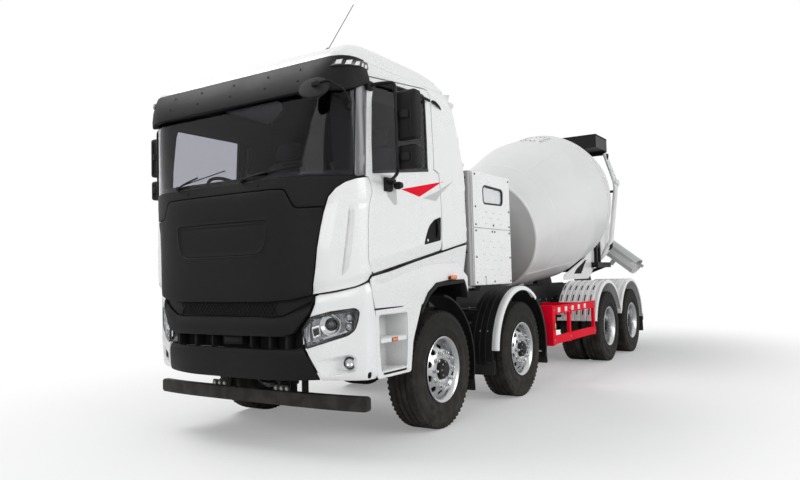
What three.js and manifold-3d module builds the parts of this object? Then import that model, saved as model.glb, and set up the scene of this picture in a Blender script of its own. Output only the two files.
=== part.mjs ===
// Four-axle concrete mixer truck: tilting cab-over cab, ladder frame, eight wheel stations (twin
// tyres on the two rear axles), inclined mixing drum on its own sub-frame, hoppers and a folding chute.
// Millimetres. +X is forward, +Y the vehicle's left, +Z up, and the tyres stand on Z = 0.
// Lengths are laid out from the first axle; the finished group is then centred on its own length.
import * as THREE from "three";
import { mergeVertices } from "three/addons/utils/BufferGeometryUtils.js";
import Module from "manifold-3d";

const wasm = await Module();
wasm.setup();

// ---------------------------------------------------------------- driving dimensions
const SEAT = 0.3; // gap between pieces that touch
const RUN = 6; // least gap between pieces that move past each other
const PIN_SIDES = 12;

// running gear
const AXLE_1_TO_2 = 1850;
const AXLE_2_TO_3 = 3450;
const BOGIE_BASE = 1350;
const AXLES = [0, -AXLE_1_TO_2, -AXLE_1_TO_2 - AXLE_2_TO_3, -AXLE_1_TO_2 - AXLE_2_TO_3 - BOGIE_BASE];
const TYRE_R = 542.5;
const TYRE_W = 300;
const TYRE_SIDES = 18;
const RIM_R = 286;
const RIM_FLANGE_R = 302;
const FRONT_TYRE_OUTER_Y = 1224;
const REAR_TYRE_OUTER_Y = 1236;
const TWIN_GAP = 36;
const KINGPIN_Y = 930;
const KINGPIN_R = 28;
const AXLE_EYE_H = 62; // half height of the axle's eye for the kingpin
const BRAKE_DRUM_R = 200;

// chassis
const RAIL_OUTER_Y = 425;
const RAIL_W = 80;
const RAIL_BOTTOM = 750;
const RAIL_TOP = 1050;
const RAIL_FRONT = 1040;
const RAIL_REAR = -7700;
const FENDER_R = 700;
const FENDER_T = 22;
const ENGINE_L = 1450;
const ENGINE_W = 640;
const ENGINE_REAR = -880;
const ENGINE_BOTTOM = 640;
const ENGINE_TOP = 1380;

// cab
const CAB_HALF_W = 1245;
const CAB_FRONT = 1600;
const CAB_SIDE_FRONT = 1200; // where the rounded front meets the flat side
const CAB_FRONT_POWER = 3.8; // how square the front is in plan
const CAB_WALL = 70;
const PIVOT_X = 1150;
const PIVOT_Z = 950;
const TILT_PIN_R = 24;
const PIVOT_R = 485; // the cab's underside clears this circle about its tilt pivot
const CAB_NOSE_Z = 1282; // lower edge of the front
const CAB_REAR_Z = 1735; // lower edge of the rear wall
const CAB_REAR_X = -545;
const BELT_Z = 2230;
const SCREEN_BASE_Z = 2200;
const SCREEN_TOP_Z = 2960;
const SCREEN_TOP_X = 1430;
const ROOF_Z = 3440;
const ROOF_FRONT_X = 1150;
const GLASS = 8;
const MIRROR_X = 1000;
const FLAP_HALF_W = 760;
const FLAP_TOP_Z = 2125;
const FLAP_T = 35;
const FLAP_STOP_Z = [1420, 2050]; // heights of the rubber stops behind the flap
const DOOR_FRONT_X = 1190;
const DOOR_REAR_X = 60;
const DOOR_GAP = 9;
const DOOR_LIP_TOP_Z = 1720; // below this the door keeps to its own thickness
const HINGE_Z = [1760, 2120];
const HINGE_H = 60;
const VISOR_LOW_Z = 2890;
const VISOR_TOP_Z = 3190;
const VISOR_REACH = 45;

// bumper and steps
const BUMPER_TOP_Z = 1262;
const BUMPER_LOW_Z = 610;
const BUMPER_WALL = 55;
const BUMPER_SPLIT_Y = 820;
const LAMP_LOW_Z = 870;
const LAMP_TOP_Z = 1125;
const STEP_FRONT_X = 1112;
const STEP_REAR_X = 612;
const STEP_LOW_Z = 600;

// drum
const DRUM_TILT = THREE.MathUtils.degToRad(14.8);
const DRUM_X = -3380; // centre of the front rim, on the drum's axis
const DRUM_Z = 1973;
const DRUM_FRONT_R = 833;
const DRUM_MAX_R = 1155;
const DRUM_FRONT_CONE = 1680;
const DRUM_BARREL = 955;
const DRUM_REAR_CONE = 1500;
const DRUM_MOUTH_R = 560;
const DRUM_RING_AT = 3150;
const DRUM_RING_STANDS = 35;
const DRUM_WALL = 12;
const DRUM_SIDES = 28;
const DRUM_HEAD = 240;

// mixer frame, hoppers and chute
const BEAM_TOP = 1200;
const PEDESTAL_X = -2860;
const HOPPER_Z = 3710; // floor of the charging hopper
const HOPPER_BAR_X = -7690;
const HOPPER_HALF_W = 600;
const DISCHARGE_HALF_W = 420;
const SWIVEL_Z = 1300; // top of the fixed pillar that the chute turns on
const CHUTE_X = -7930;
const CHUTE_PIVOT_Z = 2220;
const CHUTE_SLOPE = THREE.MathUtils.degToRad(38);
const CHUTE_L = 1290;
const CHUTE_HALF_W = 235;
const CHUTE_DEPTH = 170;
const CHUTE_WALL = 10;

// ---------------------------------------------------------------- finishes
const finish = (color, roughness, metalness = 0) =>
  new THREE.MeshStandardMaterial({ color, roughness, metalness });
const WHITE = finish(0xf2f3f2, 0.35);
const BLACK = finish(0x1b1c1e, 0.6);
const FRAME_BLACK = finish(0x202225, 0.55);
const RED = finish(0xd3141f, 0.4);
const RUBBER = finish(0x17181a, 0.9);
const ALUMINIUM = finish(0xc4c8cb, 0.3, 0.9);
const DRUM_GREY = finish(0xdedfdf, 0.45);
const STEEL_GREY = finish(0x8c9094, 0.5, 0.5);
const GLAZING = finish(0x20262b, 0.1);
const LAMP = finish(0xdfe6ea, 0.15);
const TRIM = finish(0x2b2d30, 0.8);

// ---------------------------------------------------------------- solids
// A closed three.js geometry as a solid that can be joined and cut.
function solid(geometry) {
  const bare = geometry.index ? geometry.toNonIndexed() : geometry.clone();
  for (const name of Object.keys(bare.attributes)) {
    if (name !== "position") bare.deleteAttribute(name);
  }
  const merged = mergeVertices(bare, 1e-3);
  return new wasm.Manifold(
    new wasm.Mesh({
      numProp: 3,
      vertProperties: merged.attributes.position.array,
      triVerts: new Uint32Array(merged.index.array),
    }),
  );
}

const join = (...pieces) => pieces.flat().reduce((sum, piece) => sum.add(piece));
const cut = (piece, ...tools) => tools.flat().reduce((rest, tool) => rest.subtract(tool), piece);
const common = (...pieces) => pieces.flat().reduce((shared, piece) => shared.intersect(piece));

function geometryOf(piece) {
  const mesh = piece.getMesh();
  const geometry = new THREE.BufferGeometry();
  geometry.setAttribute("position", new THREE.BufferAttribute(new Float32Array(mesh.vertProperties), 3));
  geometry.setIndex(new THREE.BufferAttribute(new Uint32Array(mesh.triVerts), 1));
  const flat = geometry.toNonIndexed();
  flat.computeVertexNormals();
  return flat;
}

// The same solid on the other side of the vehicle.
function mirrored(piece) {
  const geometry = geometryOf(piece);
  geometry.scale(1, -1, 1);
  const position = geometry.attributes.position;
  const corner = new THREE.Vector3();
  const other = new THREE.Vector3();
  for (let i = 0; i < position.count; i += 3) {
    corner.fromBufferAttribute(position, i + 1);
    other.fromBufferAttribute(position, i + 2);
    position.setXYZ(i + 1, other.x, other.y, other.z);
    position.setXYZ(i + 2, corner.x, corner.y, corner.z);
  }
  return solid(geometry);
}

function box(x, y, z) {
  const geometry = new THREE.BoxGeometry(x[1] - x[0], y[1] - y[0], z[1] - z[0]);
  return solid(geometry.translate((x[0] + x[1]) / 2, (y[0] + y[1]) / 2, (z[0] + z[1]) / 2));
}

const outline = (points) => new THREE.Shape(points.map(([u, v]) => new THREE.Vector2(u, v)));

// An outline of [x, z] points carried across the vehicle from y[0] to y[1].
function across(points, y) {
  const geometry = new THREE.ExtrudeGeometry(outline(points), { depth: y[1] - y[0], bevelEnabled: false });
  geometry.rotateX(Math.PI / 2);
  return solid(geometry.translate(0, y[1], 0));
}

// An outline of [y, z] points carried along the vehicle from x[0] to x[1].
function along(points, x) {
  const geometry = new THREE.ExtrudeGeometry(outline(points), { depth: x[1] - x[0], bevelEnabled: false });
  geometry.rotateX(Math.PI / 2);
  geometry.rotateZ(Math.PI / 2);
  return solid(geometry.translate(x[0], 0, 0));
}

// An outline of [x, y] points carried up from z[0] to z[1].
function upright(points, z) {
  const geometry = new THREE.ExtrudeGeometry(outline(points), { depth: z[1] - z[0], bevelEnabled: false });
  return solid(geometry.translate(0, 0, z[0]));
}

// A round bar between two points.
function bar(from, to, radius, sides = PIN_SIDES) {
  const a = new THREE.Vector3(...from);
  const b = new THREE.Vector3(...to);
  const geometry = new THREE.CylinderGeometry(radius, radius, a.distanceTo(b), sides);
  const turn = new THREE.Quaternion().setFromUnitVectors(
    new THREE.Vector3(0, 1, 0),
    b.clone().sub(a).normalize(),
  );
  geometry.applyQuaternion(turn);
  const middle = a.add(b).multiplyScalar(0.5);
  return solid(geometry.translate(middle.x, middle.y, middle.z));
}

// Radius of a hole whose flats clear a turning pin by the seat gap.
const boreFor = (pinR, sides = PIN_SIDES) => (pinR + SEAT) / Math.cos(Math.PI / sides);

// Round bars end to end, with a ball at each bend.
function bentBar(points, radius, sides = 8) {
  const pieces = [];
  for (let i = 0; i + 1 < points.length; i += 1) {
    pieces.push(bar(points[i], points[i + 1], radius, sides));
    if (i > 0) {
      const ball = new THREE.SphereGeometry(radius * 1.04, sides, Math.ceil(sides / 2));
      pieces.push(solid(ball.translate(...points[i])));
    }
  }
  return join(pieces);
}

// A round form about a line along Y: profile points are [radius, y].
function aboutY(profile, x, z, sides) {
  const points = profile.map(([r, y]) => new THREE.Vector2(r, y));
  const geometry = new THREE.LatheGeometry([...points, points[0].clone()], sides);
  geometry.rotateY(Math.PI / sides);
  const piece = solid(geometry.translate(x, 0, z));
  return piece.volume() < 0 ? solid(turnedOut(geometry)) : piece;
}

// The same faces, each turned round.
function turnedOut(geometry) {
  const index = geometry.index.array;
  for (let i = 0; i < index.length; i += 3) {
    [index[i + 1], index[i + 2]] = [index[i + 2], index[i + 1]];
  }
  return geometry;
}

const wheelAngle = Math.PI / TYRE_SIDES;
const tyreCorner = TYRE_R / Math.cos(wheelAngle);

// ---------------------------------------------------------------- assembly helpers
const truck = new THREE.Group();
const LEFT = "left";
const RIGHT = "right";

function add(name, piece, material) {
  const mesh = new THREE.Mesh(geometryOf(solid(geometryOf(piece))), material.clone());
  mesh.name = name;
  truck.add(mesh);
}

function addPair(name, leftPiece, material) {
  add(`${name}_${LEFT}`, leftPiece, material);
  add(`${name}_${RIGHT}`, mirrored(leftPiece), material);
}

const arc = (cx, cz, r, from, to, steps) =>
  Array.from({ length: steps + 1 }, (_, i) => {
    const a = THREE.MathUtils.degToRad(from + ((to - from) * i) / steps);
    return [cx + r * Math.cos(a), cz + r * Math.sin(a)];
  });

// ---------------------------------------------------------------- wheels
function tyre(outerY) {
  const inner = outerY - TYRE_W;
  const shoulder = 32;
  const bead = 38;
  return aboutY(
    [
      [RIM_R, inner + bead],
      [RIM_R + 115, inner],
      [TYRE_R - 45, inner + 4],
      [tyreCorner, inner + shoulder],
      [tyreCorner, outerY - shoulder],
      [TYRE_R - 45, outerY - 4],
      [RIM_R + 115, outerY],
      [RIM_R, outerY - bead],
    ],
    0,
    0,
    TYRE_SIDES,
  );
}

const FRONT_HUB_BACK = FRONT_TYRE_OUTER_Y - 135; // where the wheel's hub meets the knuckle

// Rim of a single front wheel, with its disc and hub near the outer face.
function frontRim(outerY) {
  const inner = outerY - TYRE_W + 40;
  const outer = outerY - 40;
  const seat = RIM_R - SEAT;
  const barrel = RIM_R - 26;
  return aboutY(
    [
      [0, FRONT_HUB_BACK],
      [120, FRONT_HUB_BACK],
      [140, outer - 62],
      [barrel, outer - 50],
      [barrel, inner],
      [seat, inner],
      [seat, outer],
      [barrel + 4, outer],
      [225, outer - 34],
      [165, outer - 22],
      [120, outer - 22],
      [105, outer + 32],
      [0, outer + 38],
    ],
    0,
    0,
    TYRE_SIDES,
  );
}

const REAR_DISC_T = 40;

// The pair of rims of a rear wheel, disc to disc, on a driven hub that stands out of the outer rim.
function rearRims(outerY) {
  const outer = outerY - 40;
  const inner = outerY - 2 * TYRE_W - TWIN_GAP + 40;
  const middle = outerY - TYRE_W - TWIN_GAP / 2;
  const seat = RIM_R + SEAT;
  const barrel = RIM_R - 26;
  return aboutY(
    [
      [0, middle - REAR_DISC_T],
      [230, middle - REAR_DISC_T],
      [barrel, middle - 70],
      [barrel, inner],
      [seat, inner],
      [seat, outer],
      [barrel, outer],
      [barrel, middle + 60],
      [200, middle + 30],
      [150, middle + 30],
      [140, outer - 60],
      [0, outer - 40],
    ],
    0,
    0,
    TYRE_SIDES,
  );
}

function frontKnuckle() {
  const spindleFrom = KINGPIN_Y + 62;
  const lug = (z0, z1) =>
    box([-45, 45], [KINGPIN_Y - 45, spindleFrom + 5], [z0, z1]);
  const pin = bar([0, KINGPIN_Y, -190], [0, KINGPIN_Y, 190], KINGPIN_R, PIN_SIDES);
  const plate = box([-60, 60], [spindleFrom - 5, spindleFrom + 20], [-190, 190]);
  const drum = aboutY(
    [
      [0, spindleFrom],
      [BRAKE_DRUM_R, spindleFrom],
      [BRAKE_DRUM_R, FRONT_HUB_BACK - 12],
      [60, FRONT_HUB_BACK - SEAT],
      [0, FRONT_HUB_BACK - SEAT],
    ],
    0,
    0,
    TYRE_SIDES,
  );
  return join(lug(-190, -AXLE_EYE_H - SEAT), lug(AXLE_EYE_H + SEAT, 190), pin, plate, drum);
}

function addWheels() {
  [1, 2].forEach((axle) => {
    const place = (piece) => piece.translate([AXLES[axle - 1], 0, TYRE_R]);
    addPair(`knuckle_${axle}`, place(frontKnuckle()), FRAME_BLACK);
    addPair(`front_rim_${axle}`, place(frontRim(FRONT_TYRE_OUTER_Y)), ALUMINIUM);
    addPair(`front_tyre_${axle}`, place(tyre(FRONT_TYRE_OUTER_Y)), RUBBER);
  });
  [3, 4].forEach((axle) => {
    const twin = join(
      tyre(REAR_TYRE_OUTER_Y),
      tyre(REAR_TYRE_OUTER_Y - TYRE_W - TWIN_GAP),
      rearRims(REAR_TYRE_OUTER_Y),
    );
    addPair(`rear_wheel_${axle}`, twin.translate([AXLES[axle - 1], 0, TYRE_R]), RUBBER);
  });
}

// ---------------------------------------------------------------- axles
function frontAxle() {
  const eye = (y) => bar([0, y, -AXLE_EYE_H], [0, y, AXLE_EYE_H], 52, 12);
  const bore = (y) => bar([0, y, -70], [0, y, 70], boreFor(KINGPIN_R), PIN_SIDES);
  const springY = [RAIL_OUTER_Y - RAIL_W, RAIL_OUTER_Y];
  const side = (sign) => {
    const y = springY.map((v) => v * sign).sort((a, b) => a - b);
    const pack = across([[-780, 150], [-700, 165], [-120, 112], [120, 112], [700, 165], [780, 150],
      [700, 125], [120, 60], [-120, 60], [-700, 125]], y);
    const hangers = [-740, 740].map((x) => box([x - 40, x + 40], y, [135, RAIL_BOTTOM - TYRE_R - SEAT]));
    const seat = box([-70, 70], y, [-30, 70]);
    return join(pack, hangers, seat);
  };
  const beam = box([-48, 48], [-KINGPIN_Y, KINGPIN_Y], [-60, 50]);
  const dropped = box([-48, 48], [-620, 620], [-110, -20]);
  return cut(
    join(beam, dropped, side(1), side(-1), eye(KINGPIN_Y), eye(-KINGPIN_Y)),
    bore(KINGPIN_Y),
    bore(-KINGPIN_Y),
  );
}

function rearAxle() {
  const wheelInner = REAR_TYRE_OUTER_Y - 2 * TYRE_W - TWIN_GAP;
  const hubBack = REAR_TYRE_OUTER_Y - TYRE_W - TWIN_GAP / 2 - REAR_DISC_T - SEAT;
  const tube = bar([0, -hubBack, 0], [0, hubBack, 0], 62, 12);
  const drum = (sign) =>
    bar([0, sign * (wheelInner + 30), 0], [0, sign * (wheelInner + 170), 0], BRAKE_DRUM_R, 16);
  const differential = bar([-150, 0, 0], [150, 0, 0], 190, 14);
  const nose = bar([140, 0, 0], [330, 0, 30], 90, 10);
  const seats = [1, -1].map((sign) => {
    const y = [sign * (RAIL_OUTER_Y - RAIL_W), sign * RAIL_OUTER_Y].sort((a, b) => a - b);
    return box([-75, 75], y, [-75, 86]);
  });
  return join(tube, drum(1), drum(-1), differential, nose, seats);
}

function addAxles() {
  [1, 2].forEach((axle) =>
    add(`front_axle_${axle}`, frontAxle().translate([AXLES[axle - 1], 0, TYRE_R]), FRAME_BLACK),
  );
  [3, 4].forEach((axle) =>
    add(`rear_axle_${axle}`, rearAxle().translate([AXLES[axle - 1], 0, TYRE_R]), FRAME_BLACK),
  );
}

// ---------------------------------------------------------------- cab
// How far forward the rounded front reaches at a distance y from the centre line.
function frontCurve(y, front = CAB_FRONT, depth = CAB_FRONT - CAB_SIDE_FRONT) {
  return front - depth * (Math.abs(y) / CAB_HALF_W) ** CAB_FRONT_POWER;
}

// Plan outline: a rounded front and a square rear, all drawn in by inset.
function planOutline(front, rear, inset, steps = 14) {
  const half = CAB_HALF_W - inset;
  const points = [];
  for (let i = 0; i <= steps; i += 1) {
    const t = -1 + (2 * i) / steps;
    const y = CAB_HALF_W * Math.sign(t) * (1 - (1 - Math.abs(t)) ** 1.35);
    points.push([frontCurve(y, front) - inset, THREE.MathUtils.clamp(y, -half, half)]);
  }
  points.push([rear + inset, half], [rear + inset, -half]);
  return points;
}

// Side outline of the cab, drawn in by inset.
function sideOutline(inset) {
  return [
    [CAB_FRONT + 20 - inset, CAB_NOSE_Z + inset],
    [PIVOT_X, CAB_NOSE_Z + inset],
    [PIVOT_X, PIVOT_Z + PIVOT_R + inset],
    [CAB_REAR_X + inset, CAB_REAR_Z + inset],
    [-525 + inset, 2452],
    [-360 + inset, 3040],
    [-262 + inset, 3205],
    [-82 + inset * 0.7, 3330 - inset],
    [185, 3385 - inset],
    [600, ROOF_Z - 12 - inset],
    [ROOF_FRONT_X - 250, ROOF_Z - 10 - inset],
    [ROOF_FRONT_X, ROOF_Z - 105 - inset],
    [SCREEN_TOP_X - 80 - inset * 0.8, VISOR_TOP_Z + 20 - inset * 0.5],
    [SCREEN_TOP_X - inset, SCREEN_TOP_Z],
    [CAB_FRONT - 35 - inset, SCREEN_BASE_Z],
    [CAB_FRONT + 20 - inset, 2080],
  ];
}

// Front outline of the cab: straight sides, leaning in above the belt, and a rounded roof.
function frontOutline(inset) {
  const half = CAB_HALF_W - inset;
  const right = [
    [half, 1100],
    [half, BELT_Z + 100],
    [half - 35, SCREEN_TOP_Z + 60],
    [half - 75, 3200 - inset * 0.4],
    [half - 150, 3330 - inset * 0.8],
    [half - 290, ROOF_Z - 25 - inset],
    [half - 700, ROOF_Z + 5 - inset],
  ];
  return [...right, ...right.map(([y, z]) => [-y, z]).reverse()];
}

// The round space about the tilt pins that the cab's nose swings over.
const pivotRound = (radius) =>
  bar([PIVOT_X, -CAB_HALF_W - 100, PIVOT_Z], [PIVOT_X, CAB_HALF_W + 100, PIVOT_Z], radius, 48);

function cabForm(inset) {
  const plan = upright(planOutline(CAB_FRONT, CAB_REAR_X, inset), [1000, 3600]);
  const side = across(sideOutline(inset), [-CAB_HALF_W - 50, CAB_HALF_W + 50]);
  const front = along(frontOutline(inset), [CAB_REAR_X - 100, CAB_FRONT + 100]);
  return cut(common(plan, side, front), pivotRound(PIVOT_R + inset));
}

const cabOuter = cabForm(0);
const cabInner = cabForm(CAB_WALL);

// Lower edge of the cab's side, which climbs towards the rear.
const cabLowEdge = (x) =>
  PIVOT_Z + PIVOT_R + ((PIVOT_X - x) * (CAB_REAR_Z - PIVOT_Z - PIVOT_R)) / (PIVOT_X - CAB_REAR_X);

function doorOutline(gap) {
  return [
    [DOOR_FRONT_X + gap, 1500 - gap],
    [DOOR_FRONT_X + gap, BELT_Z],
    [DOOR_FRONT_X - 25 + gap, 2990],
    [DOOR_FRONT_X - 70 + gap, 3050 + gap],
    [DOOR_REAR_X + 110, 3140 + gap],
    [DOOR_REAR_X + 40 - gap, 3090],
    [DOOR_REAR_X - gap, 2391],
    [DOOR_REAR_X - 34 - gap, 1760],
    [DOOR_REAR_X - 34 - gap, cabLowEdge(DOOR_REAR_X) + 30 - gap],
    [DOOR_FRONT_X - 60, cabLowEdge(DOOR_FRONT_X) + 30 - gap],
  ];
}

const DOOR_WINDOW = [
  [1116, 2266],
  [1079, 2969],
  [300, 3052],
  [262, 2375],
];

// The pane is let into the door's frame all round.
const PANE_LAP = 12;
const DOOR_PANE = DOOR_WINDOW.map(([x, z], i) => [
  x + PANE_LAP * [1, 1, -1, -1][i],
  z + PANE_LAP * [-1, 1, 1, -1][i],
]);

const sideBand = [CAB_HALF_W - CAB_WALL - 30, CAB_HALF_W + 60];
const doorBand = [sideBand[0] + RUN, sideBand[1]];

function door() {
  const panel = cut(common(cabOuter, across(doorOutline(0), doorBand)), cabForm(CAB_WALL - 5));
  const lowLip = box([CAB_REAR_X, CAB_FRONT], [0, CAB_HALF_W - CAB_WALL + 5], [1200, DOOR_LIP_TOP_Z]);
  const rebated = cut(panel, across(DOOR_WINDOW, sideBand), lowLip);
  const pane = cut(
    common(cabForm(22), across(DOOR_PANE, sideBand)),
    cabForm(22 + GLASS),
  );
  return join(rebated, pane);
}

const FLAP_BACK_X = CAB_FRONT - 150;

// Region of the front flap, seen from the front.
const flapRegion = (gap) =>
  along(
    [
      [-FLAP_HALF_W - gap, CAB_NOSE_Z - 10],
      [FLAP_HALF_W + gap, CAB_NOSE_Z - 10],
      [FLAP_HALF_W + gap, FLAP_TOP_Z - 150],
      [FLAP_HALF_W - 110 + gap, FLAP_TOP_Z + gap],
      [-FLAP_HALF_W + 110 - gap, FLAP_TOP_Z + gap],
      [-FLAP_HALF_W - gap, FLAP_TOP_Z - 150],
    ],
    [FLAP_BACK_X, CAB_FRONT + 100],
  );

const screenRegion = (gap) =>
  along(
    [
      [-1060 + gap, SCREEN_BASE_Z + 75 + gap],
      [-700, SCREEN_BASE_Z + 20 + gap],
      [700, SCREEN_BASE_Z + 20 + gap],
      [1060 - gap, SCREEN_BASE_Z + 75 + gap],
      [1040 - gap, SCREEN_TOP_Z - 20 - gap],
      [-1040 + gap, SCREEN_TOP_Z - 20 - gap],
    ],
    [CAB_SIDE_FRONT, CAB_FRONT + 100],
  );

const FLAP_POCKET = FLAP_T + RUN;
const flap = () => cut(common(cabOuter, flapRegion(0)), cabForm(FLAP_T),
  box([CAB_SIDE_FRONT, CAB_FRONT - 110], [-CAB_HALF_W, CAB_HALF_W], [CAB_NOSE_Z - 50, SCREEN_BASE_Z]));
const windscreen = () =>
  cut(common(cabForm(12), screenRegion(SEAT)), cabForm(12 + GLASS));

// Arms that carry the cab on its tilt pins.
function tiltArm(sign) {
  const y = [sign * 440, sign * 480].sort((a, b) => a - b);
  const plate = across(
    [
      [PIVOT_X - 60, PIVOT_Z - 60],
      [PIVOT_X + 60, PIVOT_Z - 60],
      [PIVOT_X + 60, PIVOT_Z + 60],
      [PIVOT_X - 130, PIVOT_Z + 300],
      [PIVOT_X - 230, PIVOT_Z + PIVOT_R + 90],
      [PIVOT_X - 470, PIVOT_Z + PIVOT_R + 110],
    ],
    y,
  );
  const pin = bar([PIVOT_X, sign * (RAIL_OUTER_Y - RAIL_W), PIVOT_Z], [PIVOT_X, sign * 460, PIVOT_Z], TILT_PIN_R,
    PIN_SIDES);
  return join(plate, pin);
}

function cabShell() {
  const side = (gap) => {
    const leftDoor = across(doorOutline(gap), sideBand);
    const jamb = cut(leftDoor, cabForm(CAB_WALL + 40));
    return join(jamb, mirrored(jamb));
  };
  const rearWindow = along([[-420, 2300], [420, 2300], [420, 2720], [-420, 2720]], [-800, -250]);
  const shell = cut(cabOuter, cabInner);
  const behindFlap = common(cabForm(FLAP_POCKET), flapRegion(60).translate([-200, 0, 0]));
  const firewall = cut(behindFlap, cabForm(FLAP_POCKET + CAB_WALL));
  const pocket = cut(flapRegion(8), cabForm(FLAP_POCKET));
  const hinges = common(
    cut(across(doorOutline(DOOR_GAP + 5), sideBand), across(doorOutline(SEAT), sideBand)),
    join(HINGE_Z.map((z) => box([DOOR_FRONT_X - 40, DOOR_FRONT_X + 40], [CAB_HALF_W - CAB_WALL + 10,
      CAB_HALF_W - 42], [z, z + HINGE_H]))),
  );
  const stops = common(
    cut(cabForm(FLAP_T + SEAT), cabForm(FLAP_POCKET + 10)),
    join(FLAP_STOP_Z.map((z) => [1, -1].map((sign) =>
      box([FLAP_BACK_X - 200, CAB_FRONT], [sign * 600, sign * 640].sort((a, b) => a - b), [z - 20, z + 20]))).flat()),
  );
  return join(
    cut(join(shell, firewall), pocket, side(DOOR_GAP), screenRegion(0), rearWindow),
    stops,
    hinges,
    mirrored(hinges),
    tiltArm(1),
    tiltArm(-1),
  );
}

function roofVisor() {
  const grow = VISOR_REACH;
  const plan = (inset) =>
    upright(
      [
        ...Array.from({ length: 15 }, (_, i) => {
          const t = -1 + (2 * i) / 14;
          const y = CAB_HALF_W * Math.sign(t) * (1 - (1 - Math.abs(t)) ** 1.35);
          return [frontCurve(y, CAB_FRONT + grow - 10) - inset, y];
        }),
        [CAB_SIDE_FRONT - 20, CAB_HALF_W],
        [CAB_SIDE_FRONT - 20, -CAB_HALF_W],
      ],
      [VISOR_LOW_Z - 50, VISOR_TOP_Z + 100],
    );
  const side = across(
    [
      [CAB_SIDE_FRONT - 20, VISOR_LOW_Z + 70],
      [CAB_SIDE_FRONT + 60, VISOR_LOW_Z + 60],
      [SCREEN_TOP_X + 20, VISOR_LOW_Z],
      [CAB_FRONT + grow, VISOR_LOW_Z + 10],
      [CAB_FRONT - 40 + grow, VISOR_LOW_Z + 150],
      [CAB_FRONT - 200 + grow, VISOR_TOP_Z - 20],
      [CAB_SIDE_FRONT + 60, VISOR_TOP_Z + 55],
      [CAB_SIDE_FRONT - 20, VISOR_TOP_Z + 40],
    ],
    [-CAB_HALF_W + 1, CAB_HALF_W - 1],
  );
  return cut(common(plan(0), side), cabForm(-SEAT), screenRegion(-1));
}

const seatSide = (y0) => {
  const x = 150;
  const z = 1690;
  const base = box([x + 60, x + 420], [y0 - 170, y0 + 170], [z, z + 240]);
  const cushion = box([x, x + 500], [y0 - 260, y0 + 260], [z + 235, z + 375]);
  const back = across([[x, z + 300], [x + 110, z + 300], [x + 10, z + 1000], [x - 90, z + 1000]],
    [y0 - 250, y0 + 250]);
  const head = across([[x - 88, z + 980], [x + 8, z + 980], [x - 10, z + 1180], [x - 90, z + 1180]],
    [y0 - 150, y0 + 150]);
  return join(base, cushion, back, head);
};

function seats() {
  const hump = box([-330, 560], [-300, 300], [1660, 1830]);
  return cut(join(seatSide(560), seatSide(-560), hump, box([160, 480], [-700, 700], [1690, 1720])),
    cabFloor(-SEAT));
}

// The solid below the cab's floor, used to seat what stands on it.
function cabFloor(raise) {
  return cut(box([CAB_REAR_X, CAB_FRONT], [-1300, 1300], [1200, 2000]), cabForm(CAB_WALL - raise));
}

const WHEEL_X = 945;
const WHEEL_Y = -560; // the driver sits on the right
const WHEEL_Z = 2250;
const WHEEL_LEAN = 35; // degrees back from upright of the steering column

// A point on the steering column's line, at a distance above the wheel's centre.
function onColumn(distance) {
  const lean = THREE.MathUtils.degToRad(WHEEL_LEAN);
  return [WHEEL_X - distance * Math.sin(lean), WHEEL_Y, WHEEL_Z + distance * Math.cos(lean)];
}

function dashboard() {
  const form = across(
    [
      [1120, 1900],
      [1020, 2080],
      [1090, 2200],
      [1300, 2230],
      [1480, 2190],
      [1480, 1900],
    ],
    [-1165, 1165],
  );
  const column = bar(onColumn(-60 - SEAT), onColumn(-330), 35, 10);
  return join(common(form, cabForm(CAB_WALL + FLAP_POCKET + SEAT)), column);
}

function steeringWheel() {
  const ring = new THREE.TorusGeometry(225, 17, 6, 18);
  const rim = solid(ring);
  const hub = bar([0, 0, -60], [0, 0, 20], 55, 12);
  const spokes = [0, 120, 240].map((a) => {
    const r = THREE.MathUtils.degToRad(a + 90);
    return bar([0, 0, -10], [220 * Math.cos(r), 220 * Math.sin(r), 0], 14, 6);
  });
  const piece = join(rim, hub, spokes);
  return piece.rotate([0, -WHEEL_LEAN, 0]).translate([WHEEL_X, WHEEL_Y, WHEEL_Z]);
}

// Two-glass mirror on a bracket that stands off the front of the door.
function doorMirror() {
  const standY = CAB_HALF_W + 215;
  const headY = [CAB_HALF_W + 165, CAB_HALF_W + 375];
  const arm = bentBar(
    [
      [MIRROR_X + 110, CAB_HALF_W - 60, 2965],
      [MIRROR_X + 80, standY, 2960],
      [MIRROR_X + 70, standY, 2240],
      [MIRROR_X - 110, CAB_HALF_W - 30, 2195],
    ],
    15,
  );
  const head = box([MIRROR_X - 60, MIRROR_X + 60], headY, [2500, 2900]);
  const small = box([MIRROR_X - 60, MIRROR_X + 60], headY, [2260, 2460]);
  return cut(join(arm, head, small), cabForm(-SEAT));
}

function frontMirror() {
  const arm = bentBar(
    [
      [1270, 1120, 2860],
      [1500, 1190, 2860],
      [1600, 1090, 2890],
    ],
    12,
    6,
  );
  const head = bar([1590, 1060, 2830], [1625, 1045, 2890], 120, 12);
  return cut(join(arm, head), cabForm(-SEAT), roofVisor());
}

function addCab() {
  add("cab_shell", cabShell(), WHITE);
  add("roof_visor", roofVisor(), BLACK);
  add("windscreen", windscreen(), GLAZING);
  add("front_panel", flap(), BLACK);
  addPair("door", door(), WHITE);
  addPair("mirror", doorMirror(), BLACK);
  add("front_mirror", frontMirror(), BLACK);
  add("dashboard", dashboard(), TRIM);
  add("seats", seats(), TRIM);
  add("steering_wheel", steeringWheel(), TRIM);
}

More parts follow.
